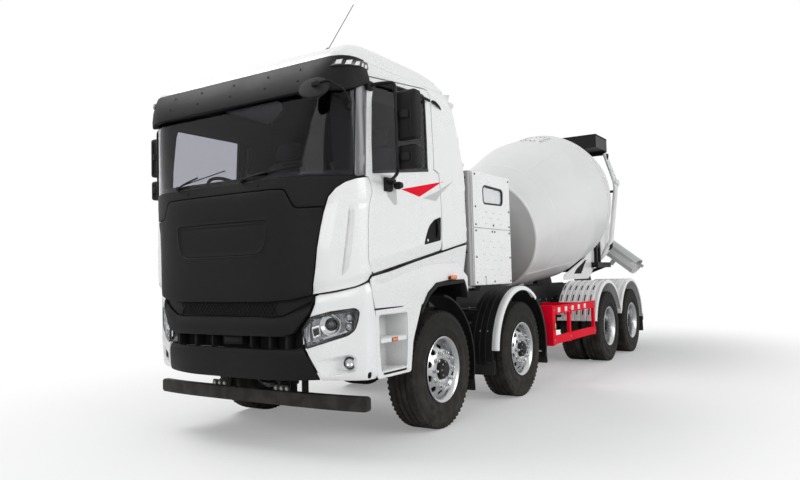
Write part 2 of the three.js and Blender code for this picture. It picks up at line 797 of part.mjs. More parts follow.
// ---------------------------------------------------------------- bumper, lamps, steps
function bumperForm(inset) {
  const plan = upright(planOutline(CAB_FRONT - 15, 300, inset), [500, 1500]);
  const side = across(
    [
      [STEP_FRONT_X + SEAT, BUMPER_LOW_Z + inset],
      [1520 - inset, BUMPER_LOW_Z - 8 + inset],
      [1700, 870],
      [1700, BUMPER_TOP_Z - inset],
      [1400, BUMPER_TOP_Z - inset],
      ...arc(PIVOT_X, PIVOT_Z, PIVOT_R - 16 - inset, 62, 90, 4),
      [STEP_FRONT_X + SEAT, PIVOT_Z + PIVOT_R - 16 - inset],
    ],
    [-CAB_HALF_W, CAB_HALF_W],
  );
  return common(plan, side);
}

const centreRegion = (gap) =>
  along(
    [
      [-990 - gap, 560],
      [990 + gap, 560],
      [990 + gap, BUMPER_LOW_Z + 6],
      [BUMPER_SPLIT_Y + gap, 862],
      [BUMPER_SPLIT_Y + gap, 1040],
      [885 + gap, 1340],
      [-885 - gap, 1340],
      [-BUMPER_SPLIT_Y - gap, 1040],
      [-BUMPER_SPLIT_Y - gap, 862],
      [-990 - gap, BUMPER_LOW_Z + 6],
    ],
    [900, 1800],
  );

const lampRegion = (gap) =>
  along(
    [
      [BUMPER_SPLIT_Y + 14 - gap, LAMP_LOW_Z - gap],
      [1200 + gap, LAMP_LOW_Z + 80 - gap],
      [1215 + gap, LAMP_LOW_Z + 170],
      [1180 + gap, LAMP_TOP_Z + 5 + gap],
      [BUMPER_SPLIT_Y + 45 - gap, LAMP_TOP_Z + gap],
    ],
    [1180 - gap, 1800],
  );

// Space ahead of the tilt pins that the bumper keeps to, so that the cab's nose swings clear of it.
const noseClear = () =>
  join(
    pivotRound(PIVOT_R - RUN),
    box([300, 1800], [-CAB_HALF_W, CAB_HALF_W], [400, PIVOT_Z]),
    box([300, PIVOT_X], [-CAB_HALF_W, CAB_HALF_W], [400, 1600]),
  );
const bumperOuter = (inset) => common(bumperForm(inset), noseClear());
const bumperShell = () => cut(bumperOuter(0), bumperForm(BUMPER_WALL), box([1000, 1440], [-900, 900], [500, 1500]));

function bumperCorner() {
  const corner = common(bumperShell(), box([900, 1700], [600, 1300], [500, 1500]));
  return cut(corner, centreRegion(3), cut(lampRegion(SEAT), bumperForm(BUMPER_WALL - 12)));
}

function bumperCentre() {
  const opening = along([[-760, 880], [760, 880], [700, 990], [-700, 990]], [1000, 1800]);
  const lip = common(
    along([[-740, 1005], [740, 1005], [860, 1120], [-860, 1120]], [1300, 1700]),
    upright(planOutline(CAB_FRONT + 25, 300, 0), [900, 1200]),
  );
  const slats = [930].map((z) => cut(
    common(bumperForm(20), box([1000, 1700], [-770, 770], [z - 8, z + 8])),
    bumperForm(45),
  ));
  const skin = cut(common(bumperShell(), centreRegion(0)), opening);
  const outer = common(lip, centreRegion(0), noseClear());
  // Arms back to the ends of the chassis rails.
  const arms = [1, -1].map((sign) => {
    const y = [sign * (RAIL_OUTER_Y - RAIL_W), sign * RAIL_OUTER_Y].sort((a, b) => a - b);
    return box([PIVOT_X + 60 + SEAT, 1545], y, [885, 935]);
  });
  return join(skin, cut(outer, bumperForm(BUMPER_WALL)), slats, arms);
}

const headlamp = () => cut(common(bumperOuter(4), lampRegion(0)), bumperForm(BUMPER_WALL - 12 - SEAT));

function guardBar() {
  const top = 483;
  const low = 363;
  const face = [];
  const half = 1215;
  for (let i = 0; i <= 12; i += 1) {
    const y = -half + (2 * half * i) / 12;
    face.push([1290 - 60 * (Math.abs(y) / half) ** 4, y]);
  }
  const back = face.map(([x, y]) => [x - 60, y]).reverse();
  const beam = upright([...face, ...back], [low, top]);
  const hangers = [1, -1].map((sign) => {
    const y = [sign * 330, sign * 400].sort((a, b) => a - b);
    return across([[1190, low + 30], [1235, low + 30], [1235, 620], [RAIL_FRONT + 80, RAIL_BOTTOM + 60],
      [RAIL_FRONT + SEAT, RAIL_BOTTOM + 60], [RAIL_FRONT + SEAT, RAIL_BOTTOM - 40], [1190, 560]], y);
  });
  return join(beam, hangers);
}

function step() {
  const skin = across(
    [
      [STEP_REAR_X, STEP_LOW_Z],
      [STEP_FRONT_X, STEP_LOW_Z],
      [STEP_FRONT_X, cabLowEdge(STEP_FRONT_X) - 14],
      [-430, cabLowEdge(-430) - 14],
      [-545, 1300],
      [-470, 1300],
      [-330, 1320],
      [230, 1290],
      [450, 1150],
      [STEP_REAR_X, 900],
    ],
    [CAB_HALF_W - 60, CAB_HALF_W],
  );
  const tread = (z, depth) =>
    box([STEP_REAR_X + 60, STEP_FRONT_X - 60], [CAB_HALF_W - depth, CAB_HALF_W - 5], [z, z + 30]);
  const recess = (z) =>
    box([STEP_REAR_X + 60, STEP_FRONT_X - 60], [CAB_HALF_W - 70, CAB_HALF_W + 10], [z + 30, z + 190]);
  const back = box([STEP_REAR_X + 40, STEP_FRONT_X - 40], [CAB_HALF_W - 250, CAB_HALF_W - 215],
    [STEP_LOW_Z, 1120]);
  const ends = [STEP_REAR_X + 40, STEP_FRONT_X - 60].map((x) =>
    box([x, x + 20], [CAB_HALF_W - 250, CAB_HALF_W - 40], [STEP_LOW_Z, 1120]));
  const bracket = box([760, 840], [RAIL_OUTER_Y + SEAT, CAB_HALF_W - 230], [800, 880]);
  return join(cut(skin, recess(620), recess(880)), tread(620, 240), tread(880, 240), back, ends, bracket);
}

function addFront() {
  add("bumper_centre", bumperCentre(), BLACK);
  addPair("bumper_corner", bumperCorner(), WHITE);
  addPair("headlamp", headlamp(), LAMP);
  add("front_guard_bar", guardBar(), BLACK);
  addPair("step", step(), WHITE);
}

// ---------------------------------------------------------------- chassis
function chassisFrame() {
  const pieces = [];
  for (const sign of [1, -1]) {
    const y = [sign * (RAIL_OUTER_Y - RAIL_W), sign * RAIL_OUTER_Y].sort((a, b) => a - b);
    pieces.push(box([RAIL_REAR, RAIL_FRONT], y, [RAIL_BOTTOM, RAIL_TOP]));
    const horn = across(
      [
        [RAIL_FRONT - 20, RAIL_BOTTOM + 90],
        [PIVOT_X + 60, PIVOT_Z - 70],
        [PIVOT_X + 60, PIVOT_Z + 60],
        [RAIL_FRONT - 20, RAIL_TOP],
      ],
      y,
    );
    pieces.push(cut(horn, bar([PIVOT_X, sign * 300, PIVOT_Z], [PIVOT_X, sign * 440, PIVOT_Z], boreFor(TILT_PIN_R))));
    const post = [-455, -345];
    const top = (x) => cabLowEdge(x) - SEAT;
    pieces.push(across([[post[0], RAIL_TOP - 20], [post[1], RAIL_TOP - 20], [post[1], top(post[1])],
      [post[0], top(post[0])]], y));
    const trunnionX = (AXLES[2] + AXLES[3]) / 2;
    pieces.push(box([trunnionX - 110, trunnionX + 110], y, [RAIL_BOTTOM - 130, RAIL_BOTTOM + 10]));
    const seatZ = TYRE_R + 86 + SEAT;
    const half = BOGIE_BASE / 2;
    pieces.push(across(
      [[trunnionX - half - 90, seatZ], [trunnionX - half + 90, seatZ], [trunnionX - 150, RAIL_BOTTOM - 150],
        [trunnionX + 150, RAIL_BOTTOM - 150], [trunnionX + half - 90, seatZ], [trunnionX + half + 90, seatZ],
        [trunnionX + half + 90, seatZ + 28], [trunnionX + 150, RAIL_BOTTOM - 40],
        [trunnionX - 150, RAIL_BOTTOM - 40], [trunnionX - half - 90, seatZ + 28]],
      y,
    ));
  }
  const inner = RAIL_OUTER_Y - RAIL_W + 10;
  const member = (x) => box([x - 50, x + 50], [-inner, inner], [RAIL_BOTTOM + 60, RAIL_TOP - 60]);
  const members = [980, -1250, -2700, -3900, -4600, -5975, -7600].map(member);
  const cabRest = across([[-455, 1560], [-345, 1560], [-345, cabLowEdge(-345) - SEAT],
    [-455, cabLowEdge(-455) - SEAT]], [-inner, inner]);
  const tail = box([RAIL_REAR - 60, RAIL_REAR], [-1150, 1150], [470, 590]);
  const tailArms = [1, -1].map((sign) =>
    box([RAIL_REAR - 40, RAIL_REAR + 20], [sign * 350, sign * 410].sort((a, b) => a - b), [480, RAIL_BOTTOM + 80]));
  // Round air tank on the left, on a bracket from the rail.
  const tankX = -3400;
  const tank = bar([tankX + 420, 690, 790], [tankX - 420, 690, 790], 140, 14);
  const tankArm = box([tankX - 60, tankX + 60], [400, 640], [RAIL_BOTTOM + 20, RAIL_BOTTOM + 90]);
  return join(pieces, members, cabRest, tail, tailArms, tank, tankArm);
}

function engine() {
  const block = box([ENGINE_REAR, ENGINE_REAR + ENGINE_L], [-ENGINE_W / 2, ENGINE_W / 2],
    [ENGINE_BOTTOM, ENGINE_TOP]);
  const mounts = [0.25, 0.75].map((share) => {
    const x = ENGINE_REAR + ENGINE_L * share;
    const reach = RAIL_OUTER_Y - RAIL_W - SEAT;
    return box([x - 50, x + 50], [-reach, reach], [RAIL_TOP - 150, RAIL_TOP - 60]);
  });
  return join(block, mounts);
}

// Arched cover over a tyre, open at the bottom.
function arch(x, radius, fromDeg, toDeg, y, thick) {
  const outer = arc(x, TYRE_R, radius + thick, fromDeg, toDeg, 12);
  const inner = arc(x, TYRE_R, radius, toDeg, fromDeg, 12);
  return across([...outer, ...inner], y);
}

function midFender() {
  const x = AXLES[1];
  const cover = arch(x, FENDER_R, -8, 188, [900, CAB_HALF_W - 5], FENDER_T);
  const bracket = (at) => box([at - 35, at + 35], [RAIL_OUTER_Y + SEAT, 960], [1000, 1050]);
  const riser = (at, z) => box([at - 35, at + 35], [905, 960], [1000, z]);
  const side = Math.sqrt(FENDER_R ** 2 - 480 ** 2);
  return cut(
    join(cover, bracket(x - side), bracket(x + side), riser(x - side, 1060), riser(x + side, 1060)),
    bar([x, 800, TYRE_R], [x, 1300, TYRE_R], FENDER_R - 5, 48),
  );
}

function rearFender() {
  const y = [REAR_TYRE_OUTER_Y - 2 * TYRE_W - 16, CAB_HALF_W - 5];
  const covers = [arch(AXLES[2], FENDER_R, 12, 164, y, FENDER_T), arch(AXLES[3], FENDER_R, 16, 175, y, FENDER_T)];
  const centre = (AXLES[2] + AXLES[3]) / 2;
  const tie = box([centre - 40, centre + 40], [RAIL_OUTER_Y + SEAT, 800], [705, 765]);
  const front = AXLES[2] + FENDER_R;
  const bracket = box([front - 25, front + 8], [RAIL_OUTER_Y + SEAT, 700], [690, 760]);
  const clear = [AXLES[2], AXLES[3]].map((x) => bar([x, 500, TYRE_R], [x, 1300, TYRE_R], FENDER_R - 5, 48));
  return cut(join(covers, tie, bracket), clear);
}

function sideGuard() {
  const y = [CAB_HALF_W - 45, CAB_HALF_W - 5];
  const front = AXLES[1] - 960;
  const rear = AXLES[2] + FENDER_R + FENDER_T + 20;
  const rails = [[871, 976], [491, 596]].map(([z0, z1]) => box([rear, front], y, [z0, z1]));
  const plate = box([front - 25, front + 15], [CAB_HALF_W - 300, CAB_HALF_W - 5], [476, 990]);
  const posts = [front - 640, rear + 60].map((x) => box([x - 30, x + 30], y, [480, 976]));
  const arms = [front - 50, rear + 60].map((x) =>
    box([x - 25, x + 25], [RAIL_OUTER_Y + SEAT, CAB_HALF_W - 10], [900, 950]));
  return join(rails, plate, posts, arms);
}

function cabinet() {
  const x = [-1570, -660];
  const skin = box(x, [-CAB_HALF_W + 5, CAB_HALF_W - 5], [1300, 2480]);
  const hollow = box([x[0] + 40, x[1] + 100], [-CAB_HALF_W + 35, CAB_HALF_W - 35], [1200, 2440]);
  const back = box([x[0], x[0] + 60], [-600, 600], [1200, 2500]);
  const feet = [1, -1].map((sign) =>
    box([-1330, -1230], [sign * (RAIL_OUTER_Y - RAIL_W), sign * RAIL_OUTER_Y].sort((a, b) => a - b),
      [RAIL_TOP + SEAT, 1360]));
  const floor = box([-1570, -1100], [-CAB_HALF_W + 10, CAB_HALF_W - 10], [1300, 1340]);
  return join(cut(skin, hollow), feet, floor, cut(back, box([-2000, 0], [-500, 500], [1400, 2400])));
}

function fuelTank() {
  const x = [-4060, -3050];
  const shell = box(x, [-1180, -620], [520, 1010]);
  const straps = [x[0] + 200, x[1] - 200].map((at) =>
    box([at - 40, at + 40], [-650, -RAIL_OUTER_Y - SEAT], [800, 950]));
  return join(shell, straps);
}

// ---------------------------------------------------------------- drum and its frame
// A point on the drum's axis, at a distance from the front rim towards the mouth.
function onDrumAxis(distance) {
  return [DRUM_X - distance * Math.cos(DRUM_TILT), 0, DRUM_Z + distance * Math.sin(DRUM_TILT)];
}

// Puts a form turned about +Z, growing towards the mouth, onto the drum's axis.
function toDrum(geometry) {
  geometry.rotateY(-Math.PI / 2 + DRUM_TILT);
  return solid(geometry.translate(DRUM_X, 0, DRUM_Z));
}

function drumProfile(points) {
  const profile = points.map(([r, z]) => new THREE.Vector2(r, z));
  const geometry = new THREE.LatheGeometry(profile, DRUM_SIDES);
  geometry.rotateX(Math.PI / 2);
  return geometry;
}

// Radius of the rear cone at a distance along the drum's axis.
const drumRearR = (at) =>
  DRUM_MAX_R -
  ((DRUM_MAX_R - DRUM_MOUTH_R) * (at - DRUM_FRONT_CONE - DRUM_BARREL)) / DRUM_REAR_CONE;
const DRUM_RING_R = drumRearR(DRUM_RING_AT) + DRUM_RING_STANDS;

function drum() {
  const barrel = DRUM_FRONT_CONE + DRUM_BARREL;
  const end = barrel + DRUM_REAR_CONE;
  const t = DRUM_WALL;
  const rearR = drumRearR;
  const ring = DRUM_RING_AT;
  const points = [
    [0, -DRUM_HEAD],
    [260, -DRUM_HEAD],
    [600, -DRUM_HEAD * 0.62],
    [DRUM_FRONT_R, 0],
    [DRUM_MAX_R - 6, DRUM_FRONT_CONE],
    [DRUM_MAX_R, DRUM_FRONT_CONE + DRUM_BARREL / 2],
    [DRUM_MAX_R - 6, barrel],
    [rearR(ring - 60), ring - 60],
    [DRUM_RING_R, ring - 60],
    [DRUM_RING_R, ring + 60],
    [rearR(ring + 60), ring + 60],
    [rearR(end), end],
    [rearR(end) - t, end],
    [rearR(end) - t, end - 10],
    [DRUM_MAX_R - 6 - t, barrel],
    [DRUM_MAX_R - t, DRUM_FRONT_CONE + DRUM_BARREL / 2],
    [DRUM_MAX_R - 6 - t, DRUM_FRONT_CONE],
    [DRUM_FRONT_R - t, 6],
    [600, -DRUM_HEAD * 0.62 + t + 4],
    [260, -DRUM_HEAD + t],
    [0, -DRUM_HEAD + t],
  ];
  const made = toDrum(drumProfile(points));
  return made.volume() < 0 ? mirrored(made) : made;
}

function mixerFrame() {
  const pieces = [];
  for (const sign of [1, -1]) {
    const y = [sign * (RAIL_OUTER_Y - RAIL_W), sign * RAIL_OUTER_Y].sort((a, b) => a - b);
    pieces.push(box([RAIL_REAR + 40, -1750], y, [RAIL_TOP + SEAT, BEAM_TOP]));
    pieces.push(across([[-3080, BEAM_TOP - 10], [-2380, BEAM_TOP - 10], [-2700, 1620], [-2960, 1640]], y));
    const ringCentre = onDrumAxis(DRUM_RING_AT);
    const postX = ringCentre[0] - 120;
    pieces.push(across([[postX - 500, BEAM_TOP - 10], [postX + 260, BEAM_TOP - 10],
      [postX + 120, 1640], [postX - 260, 1640]], y));
  }
  const table = box([-2970, -2690], [-RAIL_OUTER_Y, RAIL_OUTER_Y], [1600, 1650]);
  const axisFront = onDrumAxis(-DRUM_HEAD - SEAT);
  const gearFrom = onDrumAxis(-DRUM_HEAD - 420);
  const gearbox = bar(gearFrom, axisFront, 240, 12);
  const neck = box([-2940, -2740], [-200, 200], [1640, 1800]);
  return join(pieces, table, gearbox, neck, rearCradle(), hopperPosts());
}

// Cradle with the two rollers under the drum's ring.
function rearCradle() {
  const centre = onDrumAxis(DRUM_RING_AT);
  const rollerR = 110;
  const reach = DRUM_RING_R + rollerR + RUN;
  const pieces = [];
  for (const sign of [1, -1]) {
    const a = THREE.MathUtils.degToRad(33);
    const drop = reach * Math.cos(a);
    const y = sign * reach * Math.sin(a);
    const at = (shift) => [
      centre[0] - drop * Math.sin(DRUM_TILT) - shift * Math.cos(DRUM_TILT),
      y,
      centre[2] - drop * Math.cos(DRUM_TILT) + shift * Math.sin(DRUM_TILT),
    ];
    pieces.push(bar(at(-60), at(60), rollerR, 12));
    pieces.push(bar(at(-110), at(110), 40, 6));
    for (const shift of [-95, 95]) {
      const [px, py, pz] = at(shift);
      pieces.push(box([px - 30, px + 30], [py - 90, py + 90].sort((p, q) => p - q), [1500, pz + 20]));
    }
  }
  const [x] = onDrumAxis(DRUM_RING_AT);
  pieces.push(box([x - 720, x + 60], [-760, 760], [1470, 1560]));
  pieces.push(box([x - 520, x + 60], [-RAIL_OUTER_Y, RAIL_OUTER_Y], [1400, 1480]));
  return join(pieces);
}

// Posts that rise behind the drum and carry the hoppers, and the pillar under the chute.
function hopperPosts() {
  const pieces = [];
  for (const sign of [1, -1]) {
    const y = sign * 760;
    pieces.push(bentBar([[-7060, y * 0.6, 1500], [-7180, y, 1850], [-7700, y, 3050],
      [HOPPER_BAR_X, y * 0.75, HOPPER_Z - 35 - SEAT]], 38, 6));
    const railY = sign * (RAIL_OUTER_Y - RAIL_W / 2);
    pieces.push(bar([RAIL_REAR + 90, railY, BEAM_TOP - 60], [CHUTE_X, 0, BEAM_TOP - 60], 45, 8));
    pieces.push(bar([-7655, sign * 760, 2920], [-7655, sign * (DISCHARGE_HALF_W + SEAT), 2920], 25, 6));
  }
  pieces.push(bar([HOPPER_BAR_X, -600, HOPPER_Z - 35 - SEAT], [HOPPER_BAR_X, 600, HOPPER_Z - 35 - SEAT], 35, 8));
  pieces.push(bar([CHUTE_X, 0, 1060], [CHUTE_X, 0, SWIVEL_Z], 75, 12));
  return join(pieces);
}

function chargingHopper() {
  const x = [HOPPER_BAR_X - 60, HOPPER_BAR_X + 640];
  const wall = 15;
  const bowl = box(x, [-HOPPER_HALF_W, HOPPER_HALF_W], [HOPPER_Z, HOPPER_Z + 250]);
  const hollow = box([x[0] + wall, x[1] - wall], [-HOPPER_HALF_W + wall, HOPPER_HALF_W - wall],
    [HOPPER_Z + wall, HOPPER_Z + 300]);
  const spout = [[-7540, HOPPER_Z + 5], [-7290, HOPPER_Z + 5], [-7280, 3480], [-7180, 3260], [-7330, 3160],
    [-7530, 3350]];
  const bore = [[-7525, HOPPER_Z + 60], [-7305, HOPPER_Z + 60], [-7295, 3480], [-7160, 3190], [-7330, 3100],
    [-7515, 3350]];
  return cut(join(bowl, across(spout, [-240, 240])), hollow, across(bore, [-225, 225]));
}

function dischargeHopper() {
  const skin = [[-8070, 2345], [-7790, 2345], [-7545, 2430], [-7560, 2600], [-7640, 2960], [-8150, 3010]];
  const hollow = [[-8052, 2300], [-7808, 2300], [-7808, 2357], [-7400, 2500], [-7500, 3100], [-8130, 3100]];
  return cut(across(skin, [-DISCHARGE_HALF_W, DISCHARGE_HALF_W]),
    across(hollow, [-DISCHARGE_HALF_W + 14, DISCHARGE_HALF_W - 14]));
}

// ---------------------------------------------------------------- chute
// Built pointing left (+Y) from its pivot, then laid at its resting slope.
function trough(length, halfW, depth, wall) {
  const rim = (w, d) => [
    [-w, 0],
    [-w, -d * 0.45],
    [-w * 0.72, -d * 0.85],
    [-w * 0.3, -d],
    [w * 0.3, -d],
    [w * 0.72, -d * 0.85],
    [w, -d * 0.45],
    [w, 0],
  ];
  const outer = rim(halfW, depth);
  const inner = rim(halfW - wall, depth - wall).reverse();
  return across([...outer, ...inner], [0, length]);
}

const layChute = (piece) =>
  piece.rotate([-THREE.MathUtils.radToDeg(CHUTE_SLOPE), 0, 0]).translate([CHUTE_X, 0, CHUTE_PIVOT_Z]);

// Jack between the swivel and the chute, in the plane through both: [y, z] of its two pins.
const JACK_FOOT = [112, 1388];
const JACK_EYE_ALONG = 850; // along the chute from its pivot
const JACK_EYE_DROP = 185; // below the line through the pivot
const JACK_R = 32;
const JACK_BARREL_L = 340;
const JACK_ROD_END = 100; // distance from the foot to the rod's inner end
const ROD_R = 17;
const JACK_PIN_R = 12;
const JACK_EYE_PLAY = 9; // the rod's eye is a loose fit on its pin
const CHUTE_PIN_R = 15;
const TIP_PIN_R = 9;
const jackEye = [
  JACK_EYE_ALONG * Math.cos(CHUTE_SLOPE) - JACK_EYE_DROP * Math.sin(CHUTE_SLOPE),
  CHUTE_PIVOT_Z - JACK_EYE_ALONG * Math.sin(CHUTE_SLOPE) - JACK_EYE_DROP * Math.cos(CHUTE_SLOPE),
];

// A piece drawn along +Y from the jack's foot, turned onto the line between the two pins.
function layJack(piece) {
  const slope = Math.atan2(jackEye[1] - JACK_FOOT[1], jackEye[0] - JACK_FOOT[0]);
  return piece.rotate([THREE.MathUtils.radToDeg(slope), 0, 0]).translate([CHUTE_X, ...JACK_FOOT]);
}

const crosswise = (y, halfW, radius, sides = 12, z = 0) => bar([-halfW, y, z], [halfW, y, z], radius, sides);

function mainChute() {
  const skin = trough(CHUTE_L - 90, CHUTE_HALF_W, CHUTE_DEPTH, CHUTE_WALL).translate([0, 90, 60]);
  const ears = [1, -1].map((sign) => {
    const x = [sign * (CHUTE_HALF_W - 5), sign * (CHUTE_HALF_W + 12)].sort((a, b) => a - b);
    return cut(box(x, [-45, 200], [-45, 55]), crosswise(0, CHUTE_HALF_W + 40, boreFor(CHUTE_PIN_R)));
  });
  const lug = (sign) => {
    const x = [sign * 28, sign * 44].sort((a, b) => a - b);
    return box(x, [JACK_EYE_ALONG - 35, JACK_EYE_ALONG + 35], [-JACK_EYE_DROP - 30, -CHUTE_DEPTH + 70]);
  };
  const pin = crosswise(JACK_EYE_ALONG, 40, JACK_PIN_R, PIN_SIDES, -JACK_EYE_DROP);
  const [hingeY, hingeZ] = CHUTE_HINGE;
  const hinges = [1, -1].map((sign) => {
    const x = [sign * (CHUTE_HALF_W - 16), sign * (CHUTE_HALF_W - 2)].sort((a, b) => a - b);
    const pinEnds = [sign * (CHUTE_HALF_W - 40), sign * (CHUTE_HALF_W - 10)];
    return join(
      box(x, [CHUTE_L - 90, hingeY + 20], [45, hingeZ + 20]),
      bar([pinEnds[0], hingeY, hingeZ], [pinEnds[1], hingeY, hingeZ], TIP_PIN_R, PIN_SIDES),
    );
  });
  return layChute(join(skin, ears, lug(1), lug(-1), pin, hinges));
}

// Shorter trough that lies upside down on the main one until it is swung out.
const CHUTE_HINGE = [CHUTE_L + 15, 85];
function chuteExtension() {
  const length = 800;
  const skin = trough(length, CHUTE_HALF_W - 20, 120, CHUTE_WALL)
    .rotate([0, 180, 0])
    .translate([0, CHUTE_L - length - 25, 72]);
  const arms = [1, -1].map((sign) => {
    const x = [sign * (CHUTE_HALF_W - 37), sign * (CHUTE_HALF_W - 23)].sort((a, b) => a - b);
    return box(x, [CHUTE_L - 130, CHUTE_HINGE[0] + 22], [CHUTE_HINGE[1] - 12, CHUTE_HINGE[1] + 22]);
  });
  const bore = crosswise(CHUTE_HINGE[0], CHUTE_HALF_W, boreFor(TIP_PIN_R), PIN_SIDES, CHUTE_HINGE[1]);
  return layChute(cut(join(skin, arms), bore));
}

function chuteArm() {
  const post = bar([0, 0, SWIVEL_Z + SEAT], [0, 0, 1900], 52, 14);
  const foot = bar([0, 0, SWIVEL_Z + SEAT], [0, 0, SWIVEL_Z + 40], 80, 14);
  const yoke = box([-CHUTE_HALF_W - 40, CHUTE_HALF_W + 40], [-40, 40], [1880, 1930]);
  const cheeks = [1, -1].map((sign) => {
    const x = [sign * (CHUTE_HALF_W + 20), sign * (CHUTE_HALF_W + 40)].sort((a, b) => a - b);
    return box(x, [-40, 40], [1900, CHUTE_PIVOT_Z + 40]);
  });
  const pins = [1, -1].map((sign) =>
    bar([sign * (CHUTE_HALF_W + 25), 0, CHUTE_PIVOT_Z], [sign * (CHUTE_HALF_W - 12), 0, CHUTE_PIVOT_Z],
      CHUTE_PIN_R, PIN_SIDES));
  const footLugs = [1, -1].map((sign) => {
    const x = [sign * 38, sign * 52].sort((a, b) => a - b);
    return box(x, [0, JACK_FOOT[0] + 30], [JACK_FOOT[1] - 35, JACK_FOOT[1] + 35]);
  });
  const footPin = bar([-45, ...JACK_FOOT], [45, ...JACK_FOOT], JACK_PIN_R, PIN_SIDES);
  return join(post, foot, yoke, cheeks, pins, footLugs, footPin).translate([CHUTE_X, 0, 0]);
}

function jackBarrel() {
  const tube = bar([0, -22, 0], [0, JACK_BARREL_L, 0], JACK_R, 12);
  const bore = bar([0, 28, 0], [0, JACK_BARREL_L + 50, 0], boreFor(ROD_R), PIN_SIDES);
  return layJack(cut(tube, bore, crosswise(0, 60, boreFor(JACK_PIN_R))));
}

function jackRod() {
  const reach = Math.hypot(jackEye[0] - JACK_FOOT[0], jackEye[1] - JACK_FOOT[1]);
  const rod = bar([0, JACK_ROD_END, 0], [0, reach - 25, 0], ROD_R, PIN_SIDES);
  const eye = crosswise(reach, 22, JACK_PIN_R + JACK_EYE_PLAY + 13);
  return layJack(cut(join(rod, eye), crosswise(reach, 60, boreFor(JACK_PIN_R + JACK_EYE_PLAY))));
}

function addChute() {
  add("chute_arm", chuteArm(), WHITE);
  add("main_chute", mainChute(), WHITE);
  add("chute_extension", chuteExtension(), WHITE);
  add("jack_barrel", jackBarrel(), BLACK);
  add("jack_rod", jackRod(), ALUMINIUM);
}

function addBody() {
  add("chassis_frame", chassisFrame(), FRAME_BLACK);
  add("engine", engine(), STEEL_GREY);
  addPair("mid_fender", midFender(), WHITE);
  addPair("rear_fender", rearFender(), WHITE);
  addPair("side_guard", sideGuard(), RED);
  add("cabinet", cabinet(), WHITE);
  add("fuel_tank", fuelTank(), ALUMINIUM);
  add("mixer_frame", mixerFrame(), WHITE);
  add("charging_hopper", chargingHopper(), BLACK);
  add("discharge_hopper", dischargeHopper(), WHITE);
  add("drum", drum(), DRUM_GREY);
}

addWheels();
addAxles();
addCab();
addFront();
addBody();
addChute();

const extent = new THREE.Box3().setFromObject(truck);
truck.position.x = -(extent.min.x + extent.max.x) / 2;

export default truck;
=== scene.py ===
import math

import bmesh
import bpy
import numpy as np
from mathutils import Matrix, Vector
from mathutils.geometry import delaunay_2d_cdt


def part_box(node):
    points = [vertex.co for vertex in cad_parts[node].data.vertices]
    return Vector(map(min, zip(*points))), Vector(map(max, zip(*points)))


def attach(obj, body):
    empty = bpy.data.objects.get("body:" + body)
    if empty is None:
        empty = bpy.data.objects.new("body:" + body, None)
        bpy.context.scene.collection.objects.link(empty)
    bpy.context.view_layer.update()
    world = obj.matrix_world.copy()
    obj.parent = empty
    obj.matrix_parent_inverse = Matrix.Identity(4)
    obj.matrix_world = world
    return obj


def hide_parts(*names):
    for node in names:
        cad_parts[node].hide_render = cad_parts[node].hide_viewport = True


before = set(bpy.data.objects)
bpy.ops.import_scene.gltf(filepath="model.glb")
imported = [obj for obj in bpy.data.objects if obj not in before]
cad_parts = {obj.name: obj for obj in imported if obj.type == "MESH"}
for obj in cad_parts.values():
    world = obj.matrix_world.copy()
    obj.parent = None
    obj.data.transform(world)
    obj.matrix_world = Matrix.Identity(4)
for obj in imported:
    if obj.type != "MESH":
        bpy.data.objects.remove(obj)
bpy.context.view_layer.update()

# Looks of a four-axle concrete mixer truck. Lengths are in millimetres from the first axle, as in the
# CAD: +X forward, +Y the vehicle's left, +Z up. They become metres in the row's frame as a piece is made.
MM = 0.001
LEFT, RIGHT = 1, -1
SIDES = {"left": LEFT, "right": RIGHT}
AXLE_1 = sum(corner.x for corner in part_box("front_tyre_1_left")) / 2
AXLES = [0, -1850, -5300, -6650]


# ---------------------------------------------------------------- camera, floor and lights
def placed(points):
    """Points in millimetres from the first axle, in metres in the row's frame."""
    moved = np.asarray(points, float) * MM
    moved[..., 0] += AXLE_1
    return moved


def make_camera():
    """The camera stands ahead of the left front corner at about the height of the bumper."""
    yaw, pitch, roll = (math.radians(angle) for angle in CAMERA_ANGLES)
    ahead = Vector((math.cos(yaw) * math.cos(pitch), math.sin(yaw) * math.cos(pitch), math.sin(pitch)))
    side = ahead.cross(Vector((0, 0, 1))).normalized()
    above = side.cross(ahead)
    turned_side = side * math.cos(roll) + above * math.sin(roll)
    turned_above = above * math.cos(roll) - side * math.sin(roll)
    camera = bpy.data.objects.new("camera", bpy.data.cameras.new("camera"))
    bpy.context.scene.collection.objects.link(camera)
    turn = Matrix((turned_side, turned_above, -ahead)).transposed().to_4x4()
    camera.matrix_world = Matrix.Translation(placed(CAMERA_PLACE)) @ turn
    camera.data.sensor_width = 36
    camera.data.lens = CAMERA_LENS
    camera.data.clip_end = 200
    bpy.context.scene.camera = camera


def added(tree, kind, inputs=(), **settings):
    """A new node with its settings, each input set to a plain value or linked to another node's output."""
    node = tree.nodes.new(kind)
    for name, value in settings.items():
        setattr(node, name, value)
    for label, value in dict(inputs).items():
        if isinstance(value, bpy.types.NodeSocket):
            tree.links.new(value, node.inputs[label])
        else:
            node.inputs[label].default_value = value
    return node


